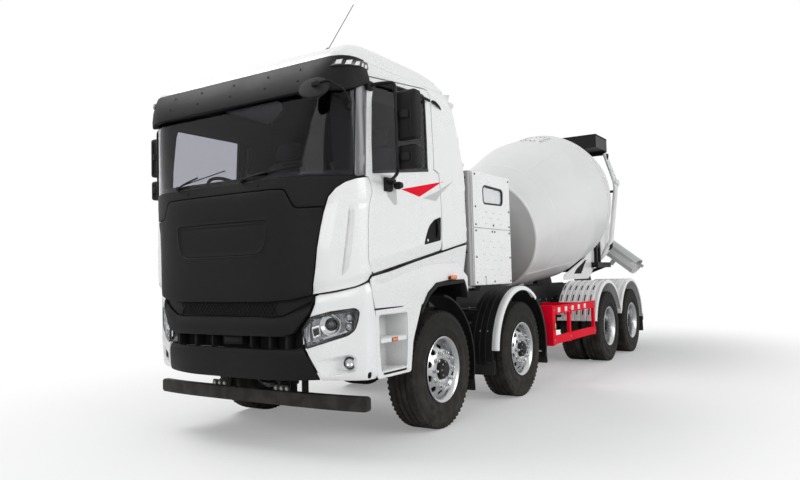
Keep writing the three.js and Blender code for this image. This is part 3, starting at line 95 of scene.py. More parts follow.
def make_world():
    """A pale room: camera, mirror and glass rays see the backdrop, and the rest gives a plain fill."""
    world = bpy.data.worlds.new("studio")
    bpy.context.scene.world = world
    world.use_nodes = True
    tree = world.node_tree
    tree.nodes.clear()
    path = added(tree, "ShaderNodeLightPath").outputs
    direct = added(tree, "ShaderNodeMath", {0: path["Is Camera Ray"], 1: path["Is Transmission Ray"]},
                   operation="MAXIMUM")
    any_of = added(tree, "ShaderNodeMath", {0: direct.outputs[0], 1: path["Is Glossy Ray"]}, operation="MAXIMUM")
    fill = added(tree, "ShaderNodeBackground", {0: (0.96, 0.98, 1.0, 1), 1: WORLD_FILL})
    seen = added(tree, "ShaderNodeBackground", {0: (1, 1, 1, 1)})
    mix = added(tree, "ShaderNodeMixShader", {0: any_of.outputs[0], 1: fill.outputs[0], 2: seen.outputs[0]})
    added(tree, "ShaderNodeOutputWorld", {0: mix.outputs[0]})


def make_floor():
    """Pale floor that keeps the truck's shadow and fades to white away from it."""
    mesh = bpy.data.meshes.new("floor")
    mesh.from_pydata([(-60, -60, 0), (60, -60, 0), (60, 60, 0), (-60, 60, 0)], [], [(0, 1, 2, 3)])
    floor = bpy.data.objects.new("floor", mesh)
    bpy.context.scene.collection.objects.link(floor)
    surface = bpy.data.materials.new("studio_floor")
    surface.use_nodes = True
    tree = surface.node_tree
    tree.nodes.clear()
    place = added(tree, "ShaderNodeTexCoord").outputs["Object"]
    squeezed = added(tree, "ShaderNodeMapping", {"Scale": FLOOR_SQUEEZE, "Vector": place}).outputs[0]
    length = added(tree, "ShaderNodeVectorMath", {0: squeezed}, operation="LENGTH").outputs["Value"]
    near, far = FADE_SPAN
    fade = added(tree, "ShaderNodeMapRange", {"From Min": near, "From Max": far, "To Min": FADE_LEAST, "Value": length},
                 interpolation_type="SMOOTHSTEP").outputs[0]
    camera_ray = added(tree, "ShaderNodeLightPath").outputs["Is Camera Ray"]
    seen = added(tree, "ShaderNodeMath", {0: fade, 1: camera_ray}, operation="MULTIPLY").outputs[0]
    plain = added(tree, "ShaderNodeBsdfDiffuse", {0: (FLOOR_TONE, FLOOR_TONE, FLOOR_TONE, 1)}).outputs[0]
    white = added(tree, "ShaderNodeEmission").outputs[0]
    mix = added(tree, "ShaderNodeMixShader", {0: seen, 1: plain, 2: white}).outputs[0]
    added(tree, "ShaderNodeOutputMaterial", {0: mix})
    mesh.materials.append(surface)


def lamp(name, where, target, size, power):
    data = bpy.data.lights.new(name, "AREA")
    data.shape, data.size, data.size_y, data.energy = "RECTANGLE", size[0], size[1], power
    light = bpy.data.objects.new(name, data)
    bpy.context.scene.collection.objects.link(light)
    light.location = where
    light.rotation_euler = (Vector(target) - Vector(where)).to_track_quat("-Z", "Y").to_euler()


CAMERA_ANGLES, CAMERA_PLACE, CAMERA_LENS = (212.879, 2.880, -1.441), [5611, 4395, 1430], 30.958
WORLD_FILL = 0.38
FLOOR_TONE = 0.93
FLOOR_SQUEEZE, FADE_SPAN, FADE_LEAST = (0.62, 1, 1), (2.6, 6.0), 0.24
bpy.context.scene.view_settings.view_transform = "Standard"
make_camera()
make_world()
make_floor()
lamp("key", (4.5, -6.5, 11), (0.5, 0, 1.6), (9, 5), 760)
lamp("side_fill", (2.5, 13, 6.0), (0, 1, 1.7), (12, 5), 760)
lamp("front_fill", (14, 2.5, 5.0), (3, 0, 1.8), (6, 5), 260)


# ---------------------------------------------------------------- shared shading effects
def effect(name, inputs, outputs):
    """An empty node group with its named inputs, each a number, and outputs, and their sockets inside it."""
    group = bpy.data.node_groups.new(name, "ShaderNodeTree")
    for label, value in inputs.items():
        group.interface.new_socket(label, in_out="INPUT", socket_type="NodeSocketFloat").default_value = value
    for label in outputs:
        group.interface.new_socket(label, in_out="OUTPUT", socket_type="NodeSocketFloat")
    return group, added(group, "NodeGroupInput").outputs, added(group, "ShaderNodeTexCoord").outputs["Object"]


def noise(tree, coordinates, scale, detail=3.0):
    """Noise over a place; its scale is a plain value or a socket."""
    return added(tree, "ShaderNodeTexNoise", {"Detail": detail, "Vector": coordinates, "Scale": scale}).outputs["Fac"]


def spread(tree, value, low, high, to_low, to_high):
    """A value moved smoothly from one range to another."""
    ends = {"Value": value, "From Min": low, "From Max": high, "To Min": to_low, "To Max": to_high}
    return added(tree, "ShaderNodeMapRange", ends, interpolation_type="SMOOTHSTEP").outputs[0]


def sums(tree, operation, first, second):
    """One step of arithmetic on two values."""
    return added(tree, "ShaderNodeMath", {0: first, 1: second}, operation=operation).outputs[0]


def blended(tree, mask, first, second):
    """Two colours mixed by a mask."""
    return added(tree, "ShaderNodeMix", {0: mask, 6: first, 7: second}, data_type="RGBA").outputs[2]


def grain_effect():
    """Fine unevenness of a sprayed, moulded or polished surface: a value between two ends, and a height."""
    group, given, place = effect("surface_grain", {"Scale": 60.0, "Low": 0.3, "High": 0.4}, ["Value", "Height"])
    fine = noise(group, place, given["Scale"], 2.0)
    broad = noise(group, place, 1.7, 3.0)
    both = sums(group, "ADD", sums(group, "MULTIPLY", fine, 0.35), sums(group, "MULTIPLY", broad, 0.65))
    value = spread(group, both, 0.3, 0.7, given["Low"], given["High"])
    added(group, "NodeGroupOutput", {"Value": value, "Height": fine})
    return group


def dust_effect():
    """Road dust: thick low down and on faces that look up, thin and patchy above."""
    group, given, place = effect("road_dust", {"Reach": 1.0, "Amount": 0.5, "Scale": 9.0}, ["Mask"])
    normal = added(group, "ShaderNodeNewGeometry").outputs["Normal"]
    height, facing = (added(group, "ShaderNodeSeparateXYZ", {0: way}).outputs["Z"] for way in (place, normal))
    low = spread(group, height, 0.0, given["Reach"], 1.0, 0.0)
    lying = spread(group, facing, 0.3, 1.0, 0.0, 0.6)
    patches = spread(group, noise(group, place, given["Scale"], 5.0), 0.35, 0.72, 0.25, 1.0)
    mask = sums(group, "MULTIPLY", sums(group, "MAXIMUM", low, lying), patches)
    added(group, "NodeGroupOutput", {"Mask": sums(group, "MULTIPLY", mask, given["Amount"])})
    return group


def streak_effect():
    """Hairline scratches round a turned or brushed face, as a height and a roughness share."""
    group, given, place = effect("brushed_lines", {"Fineness": 500.0}, ["Value", "Height"])
    stretched = added(group, "ShaderNodeMapping", {"Scale": (1, 0.02, 1), "Vector": place}).outputs[0]
    lines = noise(group, stretched, given["Fineness"], 2.0)
    added(group, "NodeGroupOutput", {"Value": spread(group, lines, 0.35, 0.65, 0.0, 1.0), "Height": lines})
    return group


GRAIN, DUST, BRUSHED = grain_effect(), dust_effect(), streak_effect()
DUST_TONE, DUST_ROUGH = (0.20, 0.175, 0.145, 1), 0.35


def use(tree, group, **values):
    """A shared effect placed in a material with its own values."""
    node = added(tree, "ShaderNodeGroup", node_tree=group)
    for name, value in values.items():
        node.inputs[name].default_value = value
    return node.outputs


def finish(name, colour, rough, metal=0.0, scale=60.0, bump=0.02, tone=0.04, dust=None, coat=0.0, lines=0.0,
           glass=0.0, ior=1.5, glow=0.0, shine=0.5):
    """A material. rough is (low, high); dust is (amount, reach in metres); lines is a share of brushed streaks."""
    surface = bpy.data.materials.new(name)
    surface.use_nodes = True
    tree = surface.node_tree
    shader = tree.nodes["Principled BSDF"].inputs
    grain = use(tree, GRAIN, Scale=scale, Low=rough[0], High=rough[1])
    shade = use(tree, GRAIN, Scale=scale * 0.07 + 1.0, Low=0.0, High=1.0)
    darker = tuple(c * (1 - tone) for c in colour) + (1,)
    lighter = tuple(min(1.0, c * (1 + tone)) for c in colour) + (1,)
    base = blended(tree, shade["Value"], darker, lighter)
    roughness, height = grain["Value"], grain["Height"]
    if lines:
        streaks = use(tree, BRUSHED)
        roughness = sums(tree, "ADD", roughness, sums(tree, "MULTIPLY", streaks["Value"], lines))
        height = streaks["Height"]
    if dust:
        mask = use(tree, DUST, Amount=dust[0], Reach=dust[1])["Mask"]
        base = blended(tree, mask, base, DUST_TONE)
        roughness = sums(tree, "ADD", roughness, sums(tree, "MULTIPLY", mask, DUST_ROUGH))
    tree.links.new(base, shader["Base Color"])
    tree.links.new(roughness, shader["Roughness"])
    if bump:
        relief = added(tree, "ShaderNodeBump", {"Strength": min(1.0, bump * 8), "Distance": 0.002, "Height": height})
        tree.links.new(relief.outputs["Normal"], shader["Normal"])
    for label, value in {"Metallic": metal, "Coat Weight": coat, "Coat Roughness": 0.06, "IOR": ior,
                         "Specular IOR Level": shine, "Transmission Weight": glass}.items():
        shader[label].default_value = value
    if glow:
        shader["Emission Color"].default_value = colour + (1,)
        shader["Emission Strength"].default_value = glow
    return surface


WHITE = finish("white_gloss_paint", (0.80, 0.80, 0.80), (0.22, 0.34), bump=0.001, tone=0.006, coat=0.4)
SILVER = finish("silver_pillar_paint", (0.13, 0.13, 0.135), (0.3, 0.4), metal=0.4, tone=0.02, bump=0.01)
DRUM_PAINT = finish("drum_grey_paint", (0.76, 0.76, 0.755), (0.34, 0.48), scale=30.0, bump=0.01, tone=0.03, coat=0.2)
# Dark grey. On the drum's front head it is painted shade: the head lies in shade, so it gets a darker copy of the
# drum's grey. The drum's spirals and the cabinet's front strips use it too.
DARK_GREY_AND_SHADE = finish("dark_grey_and_painted_shade", (0.36, 0.36, 0.355), (0.4, 0.55), scale=30.0, bump=0.01, tone=0.05)
MATT_BLACK = finish("matt_black_panel", (0.006, 0.006, 0.0065), (0.5, 0.6), scale=420.0, bump=0.05, tone=0.12,
                    shine=0.16)
GLOSS_BLACK = finish("gloss_black_plastic", (0.007, 0.007, 0.0075), (0.34, 0.44), scale=90.0, bump=0.01, tone=0.1,
                     shine=0.16)
GRAINED = finish("grained_black_plastic", (0.010, 0.010, 0.0105), (0.5, 0.66), scale=500.0, bump=0.09, tone=0.15,
                 shine=0.16)
LINER = finish("cab_underside_black", (0.009, 0.009, 0.01), (0.6, 0.8), scale=80.0, bump=0.03, tone=0.2, shine=0.16)
CHASSIS = finish("chassis_black_paint", (0.008, 0.008, 0.0085), (0.35, 0.55), scale=45.0, bump=0.03, tone=0.2,
                 dust=(0.22, 1.3), shine=0.16)
STEEL = finish("bare_steel", (0.34, 0.34, 0.335), (0.3, 0.5), metal=0.9, bump=0.03, tone=0.1, dust=(0.25, 1.2))
GREY_METAL = finish("grey_engine_paint", (0.11, 0.115, 0.12), (0.4, 0.6), metal=0.2, bump=0.03, tone=0.1)
RED = finish("red_guard_paint", (0.78, 0.002, 0.022), (0.45, 0.6), bump=0.01, tone=0.04, shine=0.08)
RUBBER = finish("tyre_rubber", (0.014, 0.0135, 0.013), (0.7, 0.85), scale=150.0, bump=0.12, tone=0.25,
                dust=(0.2, 1.25), shine=0.16)
SEAL = finish("black_rubber_seal", (0.01, 0.01, 0.01), (0.55, 0.7), scale=200.0, bump=0.03, tone=0.2)
ALLOY = finish("polished_alloy", (0.52, 0.525, 0.53), (0.16, 0.28), metal=1.0, bump=0.01, tone=0.03, lines=0.06)
CHROME = finish("chrome", (0.66, 0.67, 0.68), (0.04, 0.09), metal=1.0, bump=0.0, tone=0.01)
# glow is painted light: every amber lens, the side guard's amber reflector among them, gives a faint light of its own.
AMBER = finish("amber_lens", (0.80, 0.17, 0.02), (0.12, 0.2), scale=500.0, bump=0.1, tone=0.08, coat=0.6, glow=0.12)
REFLECTOR = finish("white_reflector", (0.80, 0.80, 0.79), (0.2, 0.3), scale=700.0, bump=0.2, tone=0.05, coat=0.5)
TAIL_RED = finish("red_lens", (0.45, 0.01, 0.012), (0.1, 0.18), scale=500.0, bump=0.1, tone=0.08, coat=0.6)
TINTED = finish("tinted_screen_glass", (0.60, 0.60, 0.64), (0.0, 0.01), bump=0.0, tone=0.01, glass=1.0, ior=1.2)
CLEAR = finish("clear_lamp_glass", (0.93, 0.94, 0.95), (0.0, 0.02), bump=0.0, tone=0.005, glass=1.0, ior=1.25)
DASH = finish("dashboard_plastic", (0.028, 0.028, 0.03), (0.5, 0.68), scale=380.0, bump=0.08, tone=0.15)
FABRIC = finish("seat_fabric", (0.035, 0.036, 0.042), (0.8, 0.95), scale=650.0, bump=0.2, tone=0.3)
LAMP_BLACK = finish("lamp_inner_black", (0.02, 0.02, 0.022), (0.2, 0.3), scale=90.0, bump=0.02, tone=0.1)
LAMP_BOWL = finish("lamp_reflector_grey", (0.42, 0.42, 0.43), (0.15, 0.25), metal=0.7, scale=90.0, bump=0.02, tone=0.1)
LAMP_EYE = finish("lamp_eye_glass", (0.03, 0.03, 0.035), (0.03, 0.06), scale=90.0, bump=0.0, tone=0.1, coat=1.0)
PALE_GREY = finish("pale_grey_paint", (0.50, 0.51, 0.51), (0.3, 0.45), bump=0.01, tone=0.03)


# ---------------------------------------------------------------- shapes: (points in mm, faces)
def merged(*shapes):
    """Several shapes as one."""
    points, faces, count = [], [], 0
    for shape in shapes:
        points.append(np.asarray(shape[0], float).reshape(-1, 3))
        faces += [tuple(i + count for i in face) for face in shape[1]]
        count += len(points[-1])
    return np.concatenate(points), faces


def moved(shape, by=(0, 0, 0), turn=None):
    """A shape turned and then moved."""
    points = np.asarray(shape[0], float)
    if turn is not None:
        points = points @ np.array(turn.to_3x3()).T
    return points + np.array(by, float), shape[1]


def on_side(shape, side):
    """The shape itself on the left, its mirror image on the right."""
    if side == LEFT:
        return shape
    return np.asarray(shape[0], float) * (1, -1, 1), [tuple(reversed(face)) for face in shape[1]]


def from_bmesh(bm):
    bm.verts.index_update()
    shape = np.array([v.co for v in bm.verts], float), [tuple(v.index for v in f.verts) for f in bm.faces]
    bm.free()
    return shape


def block(x, y, z, edge=0.0, segments=2):
    """A box with its edges rounded."""
    bm = bmesh.new()
    bmesh.ops.create_cube(bm, size=1.0)
    for v in bm.verts:
        v.co = [span[0] + (c + 0.5) * (span[1] - span[0]) for c, span in zip(v.co, (x, y, z))]
    if edge:
        bmesh.ops.bevel(bm, geom=bm.edges[:], offset=edge, segments=segments, profile=0.5, affect="EDGES")
    return from_bmesh(bm)


PLANES = {"x": lambda u, v, w: (w, u, v), "y": lambda u, v, w: (u, w, v), "z": lambda u, v, w: (u, v, w)}


def prism(outline, span, axis="y", edge=0.0, segments=2):
    """An outline carried along an axis: [y, z] points along x, [x, z] along y or [x, y] along z."""
    bm = bmesh.new()
    low = [bm.verts.new(PLANES[axis](u, v, span[0])) for u, v in outline]
    high = [bm.verts.new(PLANES[axis](u, v, span[1])) for u, v in outline]
    bm.faces.new(low)
    bm.faces.new(list(reversed(high)))
    for i in range(len(low)):
        j = (i + 1) % len(low)
        bm.faces.new((low[j], low[i], high[i], high[j]))
    if edge:
        bmesh.ops.recalc_face_normals(bm, faces=bm.faces)
        bmesh.ops.bevel(bm, geom=bm.edges[:], offset=edge, segments=segments, profile=0.5, affect="EDGES",
                        clamp_overlap=True)
    return from_bmesh(bm)


def rings_joined(rings, closed=True, caps=True):
    count = len(rings[0])
    faces = []
    for i in range(len(rings) - 1):
        for j in range(count if closed else count - 1):
            k = (j + 1) % count
            faces.append((i * count + j, i * count + k, (i + 1) * count + k, (i + 1) * count + j))
    if caps:
        last = (len(rings) - 1) * count
        faces += [tuple(range(count - 1, -1, -1)), tuple(range(last, last + count))]
    return np.concatenate([np.asarray(r, float) for r in rings]), faces


def frame_about(axis):
    ahead = Vector(axis).normalized()
    across = ahead.orthogonal().normalized()
    if abs(ahead.y) > 0.9:
        across = Vector((1, 0, 0))
    elif abs(ahead.z) < 0.9:
        across = Vector((0, 1, 0))
    across = (across - ahead * across.dot(ahead)).normalized()
    return np.array(ahead), np.array(across), np.array(ahead.cross(across))


def turned(profile, origin, axis, steps=48, closed=False):
    """A round form: profile points are [radius, distance along the axis]; closed joins the last to the first."""
    ahead, across, third = frame_about(axis)
    angles = np.arange(steps) * 2 * math.pi / steps
    round_ = np.outer(np.cos(angles), across) + np.outer(np.sin(angles), third)
    rings = [np.array(origin, float) + ahead * t + round_ * max(r, 1e-4) for r, t in profile]
    if closed:
        rings.append(rings[0])
    return rings_joined(rings, caps=not closed)


def smooth_path(points, per_span=6):
    """More points on a smooth line through the given ones."""
    p = np.array(points, float)
    if len(p) < 3:
        return p
    ends = np.concatenate([[2 * p[0] - p[1]], p, [2 * p[-1] - p[-2]]])
    out = []
    for i in range(len(p) - 1):
        a, b, c, d = ends[i:i + 4]
        for t in np.arange(per_span) / per_span:
            out.append(0.5 * (2 * b + (c - a) * t + (2 * a - 5 * b + 4 * c - d) * t * t
                              + (3 * b - a - 3 * c + d) * t ** 3))
    return np.array(out + [p[-1]])


def bend(a, b, c, radius, most, count):
    """Points of a short curve round the corner b, which takes no more than a share of each run."""
    into, away = (a - b) / np.linalg.norm(a - b), (c - b) / np.linalg.norm(c - b)
    reach = min(radius, np.linalg.norm(a - b) * most, np.linalg.norm(c - b) * most)
    return [(1 - t) ** 2 * (b + into * reach) + 2 * t * (1 - t) * b + t * t * (b + away * reach)
            for t in np.linspace(0, 1, count)]


def across(side, near, far):
    """The span between two distances from the middle, on one side of the vehicle."""
    return sorted((side * near, side * far))


def rounded_path(points, radius, steps=5):
    """Straight runs joined by short curves at the bends."""
    p = [np.array(q, float) for q in points]
    out = [p[0]]
    for a, b, c in zip(p, p[1:], p[2:]):
        out += bend(a, b, c, radius, 0.45, steps)
    return np.array(out + [p[-1]])


def tube(path, radius, sides=12, squash=1.0):
    """A round bar along a path, its ends capped."""
    path = np.asarray(path, float)
    ahead = np.gradient(path, axis=0)
    ahead /= np.linalg.norm(ahead, axis=1)[:, None]
    across = frame_about(ahead[0])[1]
    angles = np.arange(sides) * 2 * math.pi / sides
    radii = np.broadcast_to(radius, len(path))
    rings = []
    for point, direction, r in zip(path, ahead, radii):
        across = across - direction * across.dot(direction)
        across /= np.linalg.norm(across)
        third = np.cross(direction, across)
        rings.append(point + r * (np.outer(np.cos(angles), across) + np.outer(np.sin(angles) * squash, third)))
    return rings_joined(rings)


# ---------------------------------------------------------------- flat outlines and what fills them
def densified(outline, step):
    p = np.array(outline, float)
    out = []
    for a, b in zip(p, np.roll(p, -1, axis=0)):
        count = max(1, int(round(np.linalg.norm(b - a) / step)))
        out += [a + (b - a) * i / count for i in range(count)]
    return np.array(out)


def rounded(outline, radius, steps=4):
    """A closed outline with its corners rounded; radius is one length or one for each corner."""
    p = [np.array(q, float) for q in outline]
    radii = radius if isinstance(radius, (list, tuple)) else [radius] * len(p)
    out = []
    for i, b in enumerate(p):
        out += [b] if radii[i] <= 0 else bend(p[i - 1], b, p[(i + 1) % len(p)], radii[i], 0.48, steps + 1)
    return np.array(out)


def inside(points, outline):
    x, y = points[:, 0][:, None], points[:, 1][:, None]
    a, b = outline, np.roll(outline, -1, axis=0)
    crosses = (a[:, 1] > y) != (b[:, 1] > y)
    at = (b[:, 0] - a[:, 0]) * (y - a[:, 1]) / np.where(b[:, 1] == a[:, 1], 1e-9, b[:, 1] - a[:, 1]) + a[:, 0]
    return (crosses & (x < at)).sum(1) % 2 == 1


def away_from(points, outline, closed=True):
    """Distance of each point from the nearest edge of an outline."""
    a = np.asarray(outline, float)
    b = np.roll(a, -1, axis=0)
    if not closed:
        a, b = a[:-1], b[:-1]
    d = b - a
    share = ((points[:, None, :] - a) * d).sum(2) / np.maximum((d * d).sum(1), 1e-12)
    near = a + np.clip(share, 0, 1)[..., None] * d
    return np.sqrt(((points[:, None, :] - near) ** 2).sum(2)).min(1)


def drawn_in(outline, by):
    """The outline moved inwards by a distance."""
    p = np.asarray(outline, float)
    ahead = np.roll(p, -1, axis=0) - p
    ahead /= np.maximum(np.linalg.norm(ahead, axis=1), 1e-9)[:, None]
    mean = ahead + np.roll(ahead, 1, axis=0)
    mean /= np.maximum(np.linalg.norm(mean, axis=1), 1e-9)[:, None]
    turn = 1 if (p[:, 0] * np.roll(p[:, 1], -1) - np.roll(p[:, 0], -1) * p[:, 1]).sum() > 0 else -1
    return p + turn * by * np.stack([-mean[:, 1], mean[:, 0]], 1)


def filled(outline, holes=(), step=40.0, rims=(3.0, 7.0), lines=(), grid=None):
    """Points and triangles over an outline less its holes, with extra rings by each rim."""
    loops = [densified(outline, step)] + [densified(h, step) for h in holes]
    points, edges = [], []
    for loop in loops:
        start = len(points)
        points += list(loop)
        edges += [(start + i, start + (i + 1) % len(loop)) for i in range(len(loop))]
    for line in lines:
        line = np.asarray(line, float)
        start = len(points)
        points += list(line)
        edges += [(start + i, start + i + 1) for i in range(len(line) - 1)]
    everything = np.concatenate(loops)
    for i, loop in enumerate(loops):
        for by in rims:
            ring = drawn_in(loop, by if i == 0 else -by)
            good = inside(ring, loops[0]) & (np.min([away_from(ring, other) for other in loops], 0) > by * 0.8)
            points += list(ring[good])
    grid = grid or step
    low, high = everything.min(0), everything.max(0)
    u, v = np.meshgrid(np.arange(low[0] + grid / 2, high[0], grid), np.arange(low[1] + grid / 2, high[1], grid))
    field = np.stack([u.ravel(), v.ravel()], 1)
    keep = inside(field, loops[0])
    for hole in loops[1:]:
        keep &= ~inside(field, hole)
    field = field[keep]
    clear = max(rims, default=0) + grid * 0.3
    if len(field):
        field = field[np.min([away_from(field, loop) for loop in loops], 0) > clear]
    for line in lines:
        if len(field):
            field = field[away_from(field, np.asarray(line, float), closed=False) > grid * 0.3]
    points += list(field)
    made = delaunay_2d_cdt([Vector(p) for p in points], edges, [], 0, 1e-4)
    flat = np.array([v[:] for v in made[0]], float)
    triangles = np.array(made[2], int)
    middle = flat[triangles].mean(1)
    keep = inside(middle, loops[0])
    for hole in loops[1:]:
        keep &= ~inside(middle, hole)
    a, b, c = (flat[triangles[:, i]] for i in range(3))
    area = (b[:, 0] - a[:, 0]) * (c[:, 1] - a[:, 1]) - (b[:, 1] - a[:, 1]) * (c[:, 0] - a[:, 0])
    keep &= np.abs(area) > 1e-3
    triangles = np.where((area < 0)[:, None], triangles[:, ::-1], triangles)[keep]
    return flat, triangles, loops


def sheet(flat, triangles, front, back):
    """A closed solid between two images of the same filled outline."""
    count = len(flat)
    faces = [tuple(t) for t in triangles] + [tuple(i + count for i in reversed(t)) for t in triangles.tolist()]
    once = {}
    for t in triangles.tolist():
        for a, b in ((t[0], t[1]), (t[1], t[2]), (t[2], t[0])):
            once[(a, b)] = True
    faces += [(b, a, a + count, b + count) for a, b in once if (b, a) not in once]
    used = sorted({i for face in faces for i in face})
    number = {old: new for new, old in enumerate(used)}
    points = np.concatenate([front, back])[used]
    return points, [tuple(number[i] for i in face) for face in faces]


def plate(outline, holes, span, axis="y", edge=0.0, step=60.0):
    """A flat plate with holes, carried along an axis, its front rim eased."""
    flat, triangles, loops = filled(outline, holes, step, (edge,) if edge else ())
    ease = np.zeros(len(flat))
    if edge:
        near = np.min([away_from(flat, loop) for loop in loops], 0)
        ease = np.maximum(0, edge - near) * 0.7
    low = np.stack(PLANES[axis](flat[:, 0], flat[:, 1], span[0] + ease * np.sign(span[1] - span[0])), 1)
    high = np.stack(PLANES[axis](flat[:, 0], flat[:, 1], span[1] - ease * np.sign(span[1] - span[0])), 1)
    return sheet(flat, triangles, low, high)


# ---------------------------------------------------------------- pieces
def shaded(mesh, angle):
    mesh.polygons.foreach_set("use_smooth", [True] * len(mesh.polygons))
    mesh.set_sharp_from_angle(angle=math.radians(angle))


def piece(name, body, parts, replaces=(), angle=32, bevel=0.0, weld=0.02):
    """Makes one piece of the truck. parts are (shape, material) pairs; each closed form faces outwards."""
    mesh = bpy.data.meshes.new(name)
    materials = []
    bm = bmesh.new()
    for shape, material in parts:
        if material not in materials:
            materials.append(material)
        verts = [bm.verts.new(p) for p in placed(shape[0])]
        for face in shape[1]:
            corners = [verts[i] for i in face]
            if len(set(corners)) < 3:
                continue
            try:
                bm.faces.new(corners).material_index = materials.index(material)
            except ValueError:
                continue
    bmesh.ops.remove_doubles(bm, verts=bm.verts, dist=weld * MM)
    bmesh.ops.dissolve_degenerate(bm, edges=bm.edges, dist=1e-7)
    bmesh.ops.recalc_face_normals(bm, faces=bm.faces)
    bm.to_mesh(mesh)
    bm.free()
    return finished_piece(name, body, mesh, materials, replaces, angle, bevel)


def finished_piece(name, body, mesh, materials, replaces, angle, bevel):
    for material in materials:
        mesh.materials.append(material)
    shaded(mesh, angle)
    made = bpy.data.objects.new(name, mesh)
    bpy.context.scene.collection.objects.link(made)
    if bevel:
        ease = made.modifiers.new("eased_edges", "BEVEL")
        ease.width, ease.segments, ease.limit_method = bevel * MM, 2, "ANGLE"
        ease.angle_limit, ease.harden_normals = math.radians(angle), True
    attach(made, body)
    if replaces:
        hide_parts(*replaces)
    return made


def refined(name, node, body, material, bevel=3.0, angle=32, change=None, keep=None, replaces=None):
    """A merged copy of a CAD node with its edges eased, in place of the node."""
    bm = bmesh.new()
    bm.from_mesh(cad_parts[node].data)
    bmesh.ops.remove_doubles(bm, verts=bm.verts, dist=1e-5)
    if keep:
        bmesh.ops.delete(bm, geom=[f for f in bm.faces if not keep(f.calc_center_median())], context="FACES")
    bmesh.ops.dissolve_limit(bm, angle_limit=math.radians(1.5), verts=bm.verts, edges=bm.edges)
    if change:
        for v in bm.verts:
            v.co = change(v.co.copy())
    mesh = bpy.data.meshes.new(name)
    bm.to_mesh(mesh)
    bm.free()
    return finished_piece(name, body, mesh, [material], [node] if replaces is None else replaces, angle, bevel)


# ---------------------------------------------------------------- repeats by geometry nodes
def repeat_tree(name, points_of, inputs):
    """A tree that sets the modified mesh on points, turns and places them, and gives them one material."""
    tree = bpy.data.node_groups.new(name, "GeometryNodeTree")
    sockets = [("Geometry", "Geometry"), *inputs, ("Item Turn", "Vector"), ("Place", "Vector"), ("Turn", "Vector"),
               ("Finish", "Material")]
    for label, kind in sockets:
        tree.interface.new_socket(label, in_out="INPUT", socket_type="NodeSocket" + kind)
    tree.interface.new_socket("Geometry", in_out="OUTPUT", socket_type="NodeSocketGeometry")
    given = added(tree, "NodeGroupInput").outputs
    points, angle = points_of(tree, given)
    turns = {0: given["Item Turn"]} if angle is None else {0: given["Item Turn"], 1: angle}
    turn = added(tree, "ShaderNodeVectorMath", turns, operation="ADD").outputs[0]
    items = {"Points": points, "Instance": given["Geometry"], "Rotation": turn}
    setting = added(tree, "GeometryNodeInstanceOnPoints", items).outputs[0]
    placing = added(tree, "GeometryNodeTransform",
                    {"Geometry": setting, "Translation": given["Place"], "Rotation": given["Turn"]}).outputs[0]
    real = added(tree, "GeometryNodeRealizeInstances", {0: placing}).outputs[0]
    coloured = added(tree, "GeometryNodeSetMaterial", {"Geometry": real, "Material": given["Finish"]}).outputs[0]
    added(tree, "NodeGroupOutput", {"Geometry": coloured})
    return tree


def ring_points(tree, given):
    """Points on a ring, and the angle that each of them stands at."""
    ring = added(tree, "GeometryNodeMeshCircle", {"Vertices": given["Count"], "Radius": given["Radius"]})
    share = sums(tree, "DIVIDE", added(tree, "GeometryNodeInputIndex").outputs[0], given["Count"])
    about = added(tree, "ShaderNodeCombineXYZ", {"Z": sums(tree, "MULTIPLY", share, 2 * math.pi)})
    return ring.outputs[0], about.outputs[0]


def field_points(tree, given):
    """Points in rows and columns, which are not turned."""
    sizes = {"Vertices X": given["Columns"], "Vertices Y": given["Rows"], "Size X": given["Width"],
             "Size Y": given["Height"]}
    return added(tree, "GeometryNodeMeshGrid", sizes).outputs[0], None


RING = repeat_tree("ring_of_items", ring_points, [("Count", "Int"), ("Radius", "Float")])
FIELD = repeat_tree("rows_of_items", field_points,
                    [("Columns", "Int"), ("Rows", "Int"), ("Width", "Float"), ("Height", "Float")])


def repeated(name, body, item, tree, material, slot=None, angle=32, place=(0, 0, 0), turn=(0, 0, 0),
             item_turn=(0, 0, 0), **values):
    """One item, in millimetres about its own origin, set out by a tree and turned into a plain mesh."""
    mesh = bpy.data.meshes.new(name)
    mesh.from_pydata((np.asarray(item[0], float) * MM).tolist(), [], item[1])
    seed = bpy.data.objects.new(name + "_item", mesh)
    bpy.context.scene.collection.objects.link(seed)
    setting = seed.modifiers.new("repeat", "NODES")
    setting.node_group = tree
    sockets = {s.name: s.identifier for s in tree.interface.items_tree if s.in_out == "INPUT"}
    lengths = {"Radius", "Width", "Height"}
    for label, value in values.items():
        label = label.title()
        setting[sockets[label]] = value * MM if label in lengths else value
    setting[sockets["Place"]] = tuple(placed(place))
    setting[sockets["Turn"]] = tuple(turn)
    setting[sockets["Item Turn"]] = tuple(item_turn)
    setting[sockets["Finish"]] = material
    evaluated = seed.evaluated_get(bpy.context.evaluated_depsgraph_get())
    result = bpy.data.meshes.new_from_object(evaluated)
    bpy.data.objects.remove(seed)
    bm = bmesh.new()
    bm.from_mesh(result)
    bmesh.ops.recalc_face_normals(bm, faces=bm.faces)
    bm.to_mesh(result)
    bm.free()
    result.materials.clear()
    return finished_piece(name, body, result, [material], (), angle, 0)


def hexagon_nut(across_flats, height, stud=0.0):
    """A nut or bolt head on its washer, standing on z = 0."""
    r = across_flats / math.sqrt(3)
    parts = [turned([(0, 0), (r * 1.25, 0), (r * 1.25, height * 0.2), (0, height * 0.2)], (0, 0, 0), (0, 0, 1), 16),
             turned([(0, height * 0.15), (r, height * 0.15), (r, height * 0.85), (r * 0.8, height), (0, height)],
                    (0, 0, 0), (0, 0, 1), 6)]
    if stud:
        parts.append(turned([(0, height * 0.9), (r * 0.55, height * 0.9), (r * 0.55, height + stud),
                             (r * 0.4, height + stud * 1.15), (0, height + stud * 1.15)], (0, 0, 0), (0, 0, 1), 12))
    return merged(*parts)


